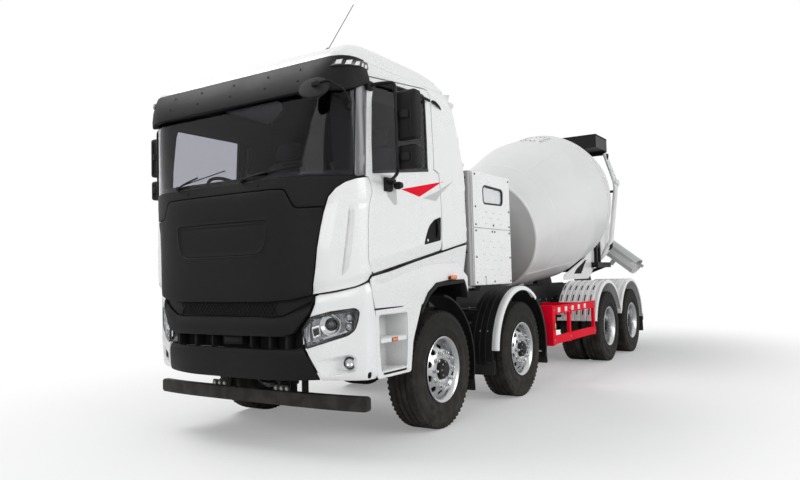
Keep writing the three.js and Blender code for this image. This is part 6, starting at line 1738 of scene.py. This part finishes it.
def make_drum():
    """Drum skin with its bands, the spirals inside, the hatch and the bolts of the head."""
    wall = 12
    outer = [(806, -22), (822, -22), (834, -14), (840, -2), (840, 14), (835, 26)] + DRUM_LINE[1:-1]
    ring_at, ring_half = 3150, 60
    ring = [(drum_radius(ring_at - ring_half), ring_at - ring_half), (980, ring_at - ring_half),
            (986, ring_at - ring_half + 8), (986, ring_at + ring_half - 8), (980, ring_at + ring_half),
            (drum_radius(ring_at + ring_half), ring_at + ring_half)]
    mouth = [(drum_radius(4060), 4060), (586, 4066), (592, 4080), (588, 4094), (drum_radius(4100), 4100), (562, 4128),
             (556, 4135), (549, 4135), (546, 4126)]
    inner = [(drum_radius(t) - wall, t) for t in (4000, 3400, 2665, 2600, 2157, 1715, 1650, 200)] + [(818, 6),
                                                                                                     (806, -8)]
    shell = turned(outer + ring + mouth + inner, DRUM_FOOT, DRUM_AXIS, 128, closed=True)
    head = turned([(0, -240), (150, -240), (252, -238), (276, -233), (600, -149), (700, -92), (812, -20), (812, -8),
                   (700, -78), (600, -134), (270, -220), (0, -226)], DRUM_FOOT, DRUM_AXIS, 96)
    flange = turned([(0, -252), (170, -252), (188, -246), (188, -230), (0, -230)], DRUM_FOOT, DRUM_AXIS, 48)
    seams = [turned([(drum_radius(t) - 3, t - 7), (drum_radius(t) + 2.2, t), (drum_radius(t) - 3, t + 7)], DRUM_FOOT,
                    DRUM_AXIS, 96, closed=True) for t in (560, 1683, 2632, 3500, 3860)]
    lengths = []
    for low, high, turn in ((1690, 2625, 1.18), (1690, 2625, -1.9), (30, 1676, 2.4), (570, 1676, 0.62),
                            (2640, 3080, 0.45), (2640, 3080, -2.4), (30, 556, -0.7)):
        t = np.linspace(low, high, 12)
        lengths.append(tube(on_drum(t, turn, drum_radius(t) - 1.6), 4.2, 6))
    bands = [turned([(drum_radius(t) - 6, t - 26), (drum_radius(t) + 9, t - 24), (drum_radius(t) + 12, t - 18),
                     (drum_radius(t) + 12, t + 18), (drum_radius(t) + 9, t + 24), (drum_radius(t) - 6, t + 26)],
                     DRUM_FOOT,
                    DRUM_AXIS, 128, closed=True) for t in (2470, 2570)]
    stiffeners = [turned([(drum_radius(t) - 6, t - 9), (drum_radius(t) + 20, t - 9), (drum_radius(t) + 20, t + 9),
                          (drum_radius(t) - 6, t + 9)], DRUM_FOOT, DRUM_AXIS, 96, closed=True) for t in (2985, 3315)]
    # The front head and its flange take the dark grey: painted shade on the head.
    piece("drum_skin", "drum_shell", [(shell, DRUM_PAINT), (merged(*seams, *lengths, *bands, *stiffeners), DRUM_PAINT),
                                      (merged(head, flange), DARK_GREY_AND_SHADE)], ["drum"], angle=34)
    blades = []
    for start in (0, math.pi):
        t = np.linspace(3000, 3880, 50)
        turn = start + (t - 3000) * 2 * math.pi / 900
        rings = []
        for one_t, one_turn in zip(t, turn):
            r = float(drum_radius(one_t)) - 13
            rings.append(np.array([on_drum(one_t - 5, one_turn, r), on_drum(one_t + 5, one_turn, r),
                                   on_drum(one_t + 5, one_turn, r * 0.68), on_drum(one_t - 5, one_turn, r * 0.68)]))
        blades.append(rings_joined(rings))
    piece("drum_spirals", "drum_shell", [(merged(*blades), DARK_GREY_AND_SHADE)])
    hatch = rounded([(1790, 20), (2300, 20), (2300, 380), (1790, 380)], 50)
    cover = surface_sheet(drum_surface, hatch, out=13, thick=14, ease=6, step=30)
    bolts = []
    for t, v in [(t, v) for t in np.linspace(1820, 2270, 6) for v in (44, 356)] + [(t, v) for t in (1812, 2278)
                                                                                    for v in (130, 200, 270)]:
        out_ = DRUM_UP * math.cos(v / 1155) + np.array([0, 1, 0]) * math.sin(v / 1155)
        bolts.append(moved(hexagon_nut(26, 12), on_drum(t, v / 1155, 1163),
                           Vector(out_).to_track_quat("Z", "Y").to_matrix()))
    piece("drum_hatch", "drum_shell", [(cover, DRUM_PAINT), (merged(*bolts), STEEL)])
    turn = Vector(DRUM_AXIS).to_track_quat("Z", "X").to_euler()
    flat = moved(hexagon_nut(24, 12), turn=Matrix.Rotation(math.pi, 4, "X"))
    repeated("drum_head_bolts", "drum_shell", flat, RING, STEEL, "rod_chrome", place=tuple(DRUM_FOOT - DRUM_AXIS * 250),
             turn=tuple(turn), count=16, radius=160.0)


# ---------------------------------------------------------------- fenders and what hangs at the sides
FENDER_R = 700.0


def swept_arch(section, centre_x, radius, start, stop, steps=40, side=LEFT):
    """A closed section of (y, height over the radius) carried round a wheel's centre."""
    o = np.array(section, float)
    rings = []
    for a in np.radians(np.linspace(start, stop, steps)):
        r = radius + o[:, 1]
        rings.append(np.column_stack([centre_x + r * math.cos(a), side * o[:, 0], TYRE_R + r * math.sin(a)]))
    return rings_joined(rings)


def flap(x, y, z, side, thick=10, sway=0.0):
    """A rubber mud flap with an eased edge, a clamp strip and its bolts."""
    low, high = y
    o = rounded([(side * low, z[0]), (side * high, z[0]), (side * high, z[1]), (side * low, z[1])], [24, 24, 4, 4])
    sheet_ = plate(o, [], (x, x + thick), "x", 3)
    points = sheet_[0].copy()
    points[:, 0] += sway * ((z[1] - points[:, 2]) / (z[1] - z[0])) ** 2
    strip = block((x - 5, x + thick + 5), across(side, low + 10, high - 10), (z[1] - 44, z[1] - 6), 3)
    return (points, sheet_[1]), strip


def make_mid_fender(name, side):
    """Fender over the second axle with its band and its liner."""
    x = AXLES[1]
    band = [(1172, 6), (1172, 22), (1206, 27), (1226, 25), (1238, 16), (1241, 2), (1241, -24), (1232, -26), (1230, 0),
            (1222, 8), (1206, 11)]
    inner = [(902, 0), (902, 20), (1176, 20), (1176, 2)]
    ribs = [[(y, 18), (y + 6, 27), (y + 24, 27), (y + 30, 18)] for y in (930, 1000, 1070)]
    under = [[(y, -6), (y + 12, -6), (y + 12, 4), (y, 4)] for y in (915, 1150)]
    black = [swept_arch(s, x, FENDER_R, -8, 188, 44, side) for s in [inner] + ribs + under]
    black.append(swept_arch(band, x, FENDER_R, 127, 194, 26, side))
    white = swept_arch(band, x, FENDER_R, 4, 126, 44, side)
    rear_flap, rear_strip = flap(x - FENDER_R - 24, (905, 1232), (290, 430), side, sway=-24)
    front_flap_, front_strip = flap(x + FENDER_R + 2, (905, 1200), (330, 480), side, sway=14)
    heads = [(x + FENDER_R + 24, side * y, 800) for y in (1040, 1130)]
    stays = [tube([(x + sx * 620, side * 430, 1030), (x + sx * 540, side * 960, 1000)], 16, 12) for sx in (1, -1)]
    piece(f"mid_fender_band_{name}", "chassis", [(white, WHITE)], [f"mid_fender_{name}"])
    piece(f"mid_fender_liner_{name}", "chassis", [(merged(*black), GRAINED), (merged(rear_flap, front_flap_), SEAL),
                                                  (merged(rear_strip, front_strip, *stays), CHASSIS)])
    screws(f"mid_fender_rivets_{name}", "chassis", heads, (1, 0, 0.3), 9, STEEL)


def make_front_guard(name, side):
    """Black mudguard and flap behind the first wheel."""
    guard = swept_arch([(905, 0), (905, 16), (1180, 16), (1192, 8), (1192, -10), (1184, -10), (1180, 0)], AXLES[0], 684,
                       98, 196,
                       34, side)
    ribs = [swept_arch([(y, 14), (y + 6, 22), (y + 22, 22), (y + 28, 14)], AXLES[0], 684, 100, 194, 34, side)
            for y in (940, 1030, 1110)]
    mud, strip = flap(-682, (905, 1190), (240, 372), side, sway=-14)
    stay = tube([(-600, side * 430, 900), (-618, side * 920, 880)], 16, 12)
    piece(f"first_wheel_guard_{name}", "chassis", [(merged(guard, *ribs), GRAINED), (mud, SEAL),
                                                   (merged(strip, stay), CHASSIS)])


def rear_section():
    """Corrugated section of the rear fenders: raised bands between shallow grooves and a rolled outer edge."""
    top = []
    for y in np.arange(626, 1170, 92):
        top += [(y, 12), (y + 8, 22), (y + 70, 22), (y + 80, 12)]
    return [(624, 0)] + top + [(1200, 12), (1206, 24), (1226, 25), (1238, 17), (1241, 2), (1241, -24), (1232, -26),
                               (1230, 0), (1200, 1)]


def make_rear_fender(name, side):
    """Fender over a rear axle with its slots and its mud flap."""
    section = rear_section()
    arches = [swept_arch(section, AXLES[2], FENDER_R, 10, 163, 46, side),
              swept_arch(section, AXLES[3], FENDER_R, 17, 178, 46, side)]
    centre = (AXLES[2] + AXLES[3]) / 2
    saddle = [(centre - 26, 700), (centre + 26, 700), (centre + 40, 760), (centre + 10, 812), (centre - 10, 812),
              (centre - 40, 760)]
    tie = prism(saddle, across(side, 626, 1236), "y", 5)
    piece(f"rear_fender_skin_{name}", "chassis", [(merged(*arches, tie), WHITE)],
          [f"rear_fender_{name}"])
    slots = []
    for axle_x, angles in ((AXLES[2], (22, 40, 58)), (AXLES[3], (122, 140, 158))):
        for a in np.radians(angles):
            for y in np.arange(660, 1170, 92):
                ahead = np.array([math.cos(a), 0, math.sin(a)])
                along = np.array([-math.sin(a), 0, math.cos(a)])
                c = np.array([axle_x, 0, TYRE_R]) + ahead * (FENDER_R + 20)
                o = rounded([(-60, -9), (60, -9), (60, 9), (-60, 9)], 8.5, 3)
                base = np.array([c + along * u + np.array([0, side * (y + v), 0]) for u, v in o])
                slots.append(rings_joined([base, base + ahead * 3.4]))
    piece(f"rear_fender_slots_{name}", "chassis", [(merged(*slots), LINER)])
    mud, strip = flap(AXLES[3] - FENDER_R - 34, (640, 1230), (300, 640), side, sway=-20)
    arm = [tube([(x, side * 430, 720), (x, side * 700, 735)], 20, 12) for x in (AXLES[2] + 690, AXLES[3] - 690)]
    piece(f"rear_mud_flap_{name}", "chassis", [(mud, SEAL), (merged(strip, *arm), CHASSIS)])


def make_side_guard(name, side):
    """Guard between the axles: reflectors, bolts and the end post."""
    refined(f"side_guard_bars_{name}", f"side_guard_{name}", "chassis", RED, bevel=4)
    y = side * 1240
    span = sorted((y - side * 2, y + side * 5))
    squares = [block((x0 - 86, x0), span, (892, 954), 3, 2) for x0 in range(-2985, -4295, -262)]
    amber = block((-2868, -2832), sorted((y - side * 2, y + side * 16)), (690, 760), 8, 3)
    base = block((-2876, -2824), sorted((y - side * 4, y + side * 6)), (680, 770), 6, 3)
    piece(f"guard_reflectors_{name}", "chassis", [(merged(*squares), REFLECTOR), (base, GRAINED), (amber, AMBER)])
    heads = [(x, y + side, z) for x in (-2850, -3450, -4490) for z in (545, 925)]
    turn = Vector((0, side, 0)).to_track_quat("Z", "Y").to_matrix()
    piece(f"guard_bolts_{name}", "chassis", [(merged(*[moved(hexagon_nut(20, 8), p, turn) for p in heads]), STEEL)])
    post = prism([(-2812, 480), (-2900, 480), (-2900, 976), (-2812, 976)], across(side, 1204, 1239), "y", 4)
    piece(f"guard_end_post_{name}", "chassis", [(post, RED)])


# ---------------------------------------------------------------- cabinet behind the cab
def make_cabinet():
    """Cabinet behind the cab: sides with their windows, front strips and the radiator."""
    def slimmer(co):
        return Vector((co.x, co.y * (1221 / 1240) if abs(co.y) > 1.15 else co.y, co.z))
    refined("cabinet_frame", "cabinet", "chassis", WHITE, bevel=4, change=slimmer)
    window = rounded([(-1368, 2164), (-896, 2154), (-888, 2310), (-930, 2342), (-1352, 2330), (-1378, 2300)],
                     [50, 40, 20, 30, 50, 30])
    slot = rounded([(-936, 1302), (-876, 1302), (-876, 1394), (-936, 1394)], [2, 2, 29, 29])
    low = rounded([(-1566, 1304), (-664, 1304), (-664, 1888), (-1566, 1888)], 6)
    high = rounded([(-1566, 1896), (-664, 1896), (-664, 2478), (-1566, 2478)], [6, 6, 22, 22])
    for name, side in SIDES.items():
        span = (side * 1220, side * 1239)
        panels = [plate(whole, [hole], span, "y", 3, 70) for whole, hole in ((low, slot), (high, window))]
        dashes = []
        for row, z in enumerate((2066, 2008, 1950, 1760, 1700, 1620, 1560, 1462, 1400)):
            shift = 46 if row % 2 else -20
            for x in (-1300, -1120, -940):
                if z > 1420 or x < -960:
                    dash = np.array(rounded([(-38, -6), (38, -6), (38, 6), (-38, 6)], 5.5, 3))
                    base = np.column_stack([dash[:, 0] + x + shift, np.full(len(dash), side * 1238), dash[:, 1] + z])
                    tip = np.column_stack([dash[:, 0] * 0.9 + x + shift, np.full(len(dash), side * 1247),
                                           dash[:, 1] * 0.55 + z - 2])
                    dashes.append(rings_joined([base, tip]))
        piece(f"cabinet_side_{name}", "chassis", [(merged(*panels, *dashes), WHITE)])
        rim = plate(drawn_in(window, -10), [drawn_in(window, 9)], (side * 1220, side * 1243), "y", 4, 60)
        pane = plate(window, [], (side * 1222, side * 1226), "y", 0, 200)
        filler = plate(drawn_in(window, -6), [], (side * 1196, side * 1200), "y", 0, 200)
        piece(f"cabinet_window_{name}", "chassis", [(rim, SEAL), (pane, CLEAR), (filler, PALE_GREY)])
        heads = [(x, side * 1239, z) for x, z in
                 [(-706, 2444), (-1530, 2440), (-706, 2110), (-1530, 2100), (-706, 1925), (-1530, 1930), (-1120, 1930),
                  (-706, 1862), (-1530, 1860), (-706, 1590), (-1530, 1590), (-706, 1332), (-1530, 1332), (-1118, 1332),
                  (-1090, 1862), (-1150, 1862)]]
        screws(f"cabinet_screws_{name}", "chassis", heads, (0, side, 0), 11, CHASSIS)
    strips = [block((-640, -585), across(side, 1150, 1222), (1300, 2470), 6, 2) for side in (1, -1)]
    heads = [(-584, side * 1186, z) for side in (1, -1) for z in (1380, 1640, 1900, 2160, 2400)]
    piece("cabinet_front_strips", "chassis", [(merged(*strips), DARK_GREY_AND_SHADE)])
    screws("cabinet_strip_screws", "chassis", heads, (1, 0, 0), 12, CHASSIS)
    fins = [block((-1582, -1566), (y, y + 10), (1420, 2380), 2) for y in range(-480, 490, 32)]
    piece("cabinet_radiator", "chassis", [(merged(*fins, block((-1560, -1530), (-496, 496), (1404, 2396), 4)),
                                           CHASSIS)])


# ---------------------------------------------------------------- frame, tanks and the engine
RAIL_OUTER = 425.0


def make_frame():
    """What hangs on the frame: engine covers, air tank, lines, battery box, bolts and lamps."""
    refined("chassis_rails", "chassis_frame", "chassis", CHASSIS, bevel=4)
    refined("engine_block", "engine", "chassis", GREY_METAL, bevel=14)
    covers = [block((-860 + k * 236, -648 + k * 236), (-190, 190), (1375, 1440), 20, 3) for k in range(6)]
    sump = block((-700, 420), (-200, 200), (560, 648), 40, 3)
    fan = [turned([(0, 574), (110, 574), (120, 600), (0, 606)], (0, 0, 1010), (1, 0, 0), 24)]
    fan += [moved(block((0, 12), (40, 300), (-50, 50), 5), (590, 0, 1010), Matrix.Rotation(a, 4, "X"))
            for a in np.arange(8) * math.pi / 4]
    piece("engine_covers", "chassis", [(merged(*covers, sump), GREY_METAL), (merged(*fan), GRAINED)])
    heads = hexagon_nut(26, 14)
    for name, side in SIDES.items():
        turn = (-side * math.pi / 2, 0, 0)
        repeated(f"rail_bolts_{name}", "chassis", heads, FIELD, STEEL, "rod_chrome",
                 place=(-4300, side * RAIL_OUTER, 900), turn=turn, columns=24, rows=2, width=6000.0, height=180.0)
    tank = np.array([-3400, 690, 790.0])
    body = turned([(0, -438), (60, -434), (110, -418), (138, -392), (146, -366), (146, 366), (138, 392), (110, 418),
                   (60, 434), (0, 438)], tank, (1, 0, 0), 48)
    straps = [turned([(144, d - 20), (151, d - 20), (151, d + 20), (144, d + 20)], tank, (1, 0, 0), 48, closed=True)
              for d in (-220, 220)]
    cap = turned([(0, 430), (98, 420), (128, 398), (130, 410), (96, 434), (0, 442)], tank, (1, 0, 0), 40)
    piece("air_tank", "chassis", [(body, GREY_METAL), (merged(*straps), CHASSIS), (cap, PALE_GREY)])
    lines = [tube(smooth_path([(-1000, 360 + d, 1000), (-2300, 370 + d, 985), (-2900, 372 + d, 940),
                               (-3900, 370 + d, 935), (-4700, 372 + d, 950)], 6), 9, 8) for d in (62, 84)]
    piece("air_lines", "chassis", [(merged(*lines), SEAL)])
    boxes = [block((-2640, -2380), (460, 760), (700, 960), 18, 3),
             block((-2700, -2560), (560, 1000), (1010, 1060), 10, 2)]
    piece("battery_box", "chassis", [(merged(*boxes), CHASSIS)])
    for name, side in SIDES.items():
        lamps = [block((-7772, -7756), across(side, y0, y1), (494, 566), 5, 2)
                 for y0, y1 in ((890, 960), (966, 1036), (1042, 1112))]
        base = block((-7766, -7754), across(side, 876, 1124), (484, 576), 6, 2)
        piece(f"tail_lamp_{name}", "chassis", [(base, GRAINED), (merged(lamps[0], lamps[1]), TAIL_RED),
                                               (lamps[2], AMBER)])
        side_lamp = turned([(0, 0), (34, 0), (34, 10), (28, 18), (0, 20)], (-7400, side * 1150, 700), (0, side, 0), 24)
        arm = block((-7412, -7388), across(side, 640, 1150), (690, 712), 4, 2)
        piece(f"rear_side_lamp_{name}", "chassis", [(side_lamp, AMBER), (arm, CHASSIS)])


def make_fuel_tank():
    """Straps, cap and brackets of the fuel tank."""
    refined("fuel_tank_shell", "fuel_tank", "chassis", ALLOY, bevel=44)
    straps = [plate(rounded([(-1188, 512), (-612, 512), (-612, 1018), (-1188, 1018)], 50),
                    [rounded([(-1182, 518), (-618, 518), (-618, 1012), (-1182, 1012)], 46)], (x, x + 44), "x", 0, 60)
              for x in (-3860, -3320)]
    cap = turned([(0, 0), (58, 0), (58, 20), (50, 36), (0, 40)], (-3560, -900, 1008), (0, 0, 1), 32)
    piece("fuel_tank_fittings", "chassis", [(merged(*straps), CHROME), (cap, GRAINED)])


# ---------------------------------------------------------------- mixer frame, hoppers and chute
def make_mixer_frame():
    """Rear pedestal, hopper posts, water tank and drum rollers."""
    refined("mixer_beams", "mixer_frame", "chassis", CHASSIS, bevel=3)
    side_plate = rounded([(-4960, 1282), (-4960, 1338), (-5500, 1468), (-6000, 1612), (-6500, 1968), (-7000, 2318),
                          (-7240, 2520), (-7330, 2560), (-7600, 2300), (-7640, 2060), (-6180, 1282)],
                         [10, 10, 0, 60, 0, 0, 20, 20, 40, 40, 30])
    opening = [(-5440, 1372), (-5820, 1372), (-6120, 1606), (-6040, 1604), (-5560, 1446)]
    for name, side in SIDES.items():
        span = (side * 628, side * 640)
        wing = plate(side_plate, [rounded(opening, 14)], span, "y", 2, 90)
        flange = [tube([(x0, side * 630, z0), (x1, side * 630, z1)], 14, 8) for x0, z0, x1, z1 in
                  ((-5010, 1350, -6000, 1620), (-7606, 2270, -7330, 2540), (-6200, 1300, -7620, 2056))]
        piece(f"pedestal_side_{name}", "chassis", [(merged(wing, *flange), WHITE)])
        back = plate(drawn_in(opening, -8), [], (side * 618, side * 622), "y", 0, 200)
        piece(f"pedestal_shade_{name}", "chassis", [(back, LINER)])
        post = rounded_path([(-7060, side * 456, 1500), (-7180, side * 760, 1850), (-7700, side * 760, 3050),
                             (-7690, side * 570, 3675)], 160, 9)
        eye = turned([(0, -30), (52, -30), (56, -22), (56, 22), (52, 30), (0, 30)], (-7688, side * 790, 3080),
                     (0, 1, 0), 28)
        rod = tube([(-7688, side * 800, 3080), (-7676, side * 640, 3560)], 13, 12)
        lug = prism([(-7640, 3660), (-7716, 3660), (-7700, 3540), (-7656, 3540)], across(side, 618, 640), "y", 4)
        piece(f"hopper_post_{name}", "chassis", [(merged(tube(post, 43, 20), eye), WHITE), (rod, CHROME),
                                                 (lug, CHASSIS)])
        piece(f"drum_roller_{name}", "chassis", [(make_roller(side), STEEL)])
    tank = turned([(0, -330), (120, -326), (172, -300), (186, -262), (186, 262), (172, 300), (120, 326), (0, 330)],
                  (-2300, 0, 1400), (0, 1, 0), 48)
    feet = [block((-2420, -2180), across(s, 150, 200), (1196, 1300), 6, 2) for s in (1, -1)]
    gear = turned([(0, -130), (150, -130), (170, -110), (176, 0), (150, 30), (0, 30)], DRUM_FOOT - DRUM_AXIS * 670,
                  DRUM_AXIS, 40)
    piece("water_tank", "chassis", [(merged(tank, *feet), WHITE), (gear, GREY_METAL)])


def make_roller(side):
    """Support roller under the drum's ring, flanged at both ends."""
    reach, a = 985.7 + 110 + 3, math.radians(33)
    centre = on_drum(3150, 0, 0)
    at = centre - DRUM_UP * reach * math.cos(a) + np.array([0, side * reach * math.sin(a), 0])
    return turned([(0, -74), (70, -74), (78, -66), (104, -64), (108, -56), (108, 56), (104, 64), (78, 66), (70, 74),
                   (0, 74)],
                  at, DRUM_AXIS, 48)


def make_hoppers():
    """Rolled edges of the charging hopper and the discharge hopper."""
    refined("hopper_bowl", "charging_hopper", "chassis", GLOSS_BLACK, bevel=12)
    rim = plate(rounded([(-7756, -606), (-7044, -606), (-7044, 606), (-7756, 606)], 30),
                [rounded([(-7734, -584), (-7066, -584), (-7066, 584), (-7734, 584)], 20)], (3926, 3958), "z", 6, 80)
    ribs = [block((-7754, -7746), (y, y + 30), (3722, 3930), 3) for y in (-420, -15, 390)]
    piece("hopper_rim", "chassis", [(merged(rim, *ribs), GRAINED)])
    refined("discharge_hopper_skin", "discharge_hopper", "chassis", WHITE, bevel=3)
    bead = [tube(np.array([(-8150, y, 3010), (-7640, y, 2960)]), 12, 10) for y in (-414, 414)]
    bead.append(tube(np.array([(-8148, -414, 3010), (-8148, 414, 3010)]), 12, 10))
    piece("discharge_hopper_edge", "chassis", [(merged(*bead), CHASSIS)])


def make_chute():
    """Turning collar and ribs of the chute."""
    refined("chute_pillar", "chute_arm", "chute_swivel_post", WHITE, bevel=3)
    collar = turned([(60, 1440), (74, 1440), (78, 1448), (78, 1492), (74, 1500), (60, 1500)], (-7930, 0, 0), (0, 0, 1),
                    40,
                    closed=True)
    handle = tube(rounded_path([(-7930, -50, 1560), (-7930, -260, 1560), (-7930, -300, 1500)], 40), 12, 12)
    piece("chute_turning_collar", "chute_swivel_post", [(collar, STEEL), (handle, CHASSIS)])
    refined("chute_trough_skin", "main_chute", "chute_trough", WHITE, bevel=2)
    refined("chute_tip_skin", "chute_extension", "chute_tip", PALE_GREY, bevel=2)
    slope = math.radians(38)
    ahead, above = np.array([0, math.cos(slope), -math.sin(slope)]), np.array([0, math.sin(slope), math.cos(slope)])
    at = lambda along, height, x: np.array([-7930 + x, 0, 2220.0]) + ahead * along + above * height
    lips = [tube(np.array([at(92, 58, s * 232), at(1288, 58, s * 232)]), 9, 10) for s in (1, -1)]
    hoops = []
    for along in (300, 720, 1230):
        path = [at(along, h, x) for x, h in ((-240, 54), (-238, -18), (-172, -86), (-70, -114), (70, -114), (172, -86),
                                             (238, -18), (240, 54))]
        hoops.append(tube(rounded_path(path, 26), 7, 8))
    piece("chute_ribs", "chute_trough", [(merged(*lips, *hoops), WHITE)])
    refined("jack_barrel_tube", "jack_barrel", "ram_barrel", GLOSS_BLACK, bevel=2)
    refined("jack_rod_bar", "jack_rod", "ram_rod", CHROME, bevel=1.5)


make_drum()
make_cabinet()
for side_name, side_sign in SIDES.items():
    make_front_guard(side_name, side_sign)
    make_mid_fender(side_name, side_sign)
    make_rear_fender(side_name, side_sign)
    make_side_guard(side_name, side_sign)
make_frame()
make_fuel_tank()
make_mixer_frame()
make_hoppers()
make_chute()
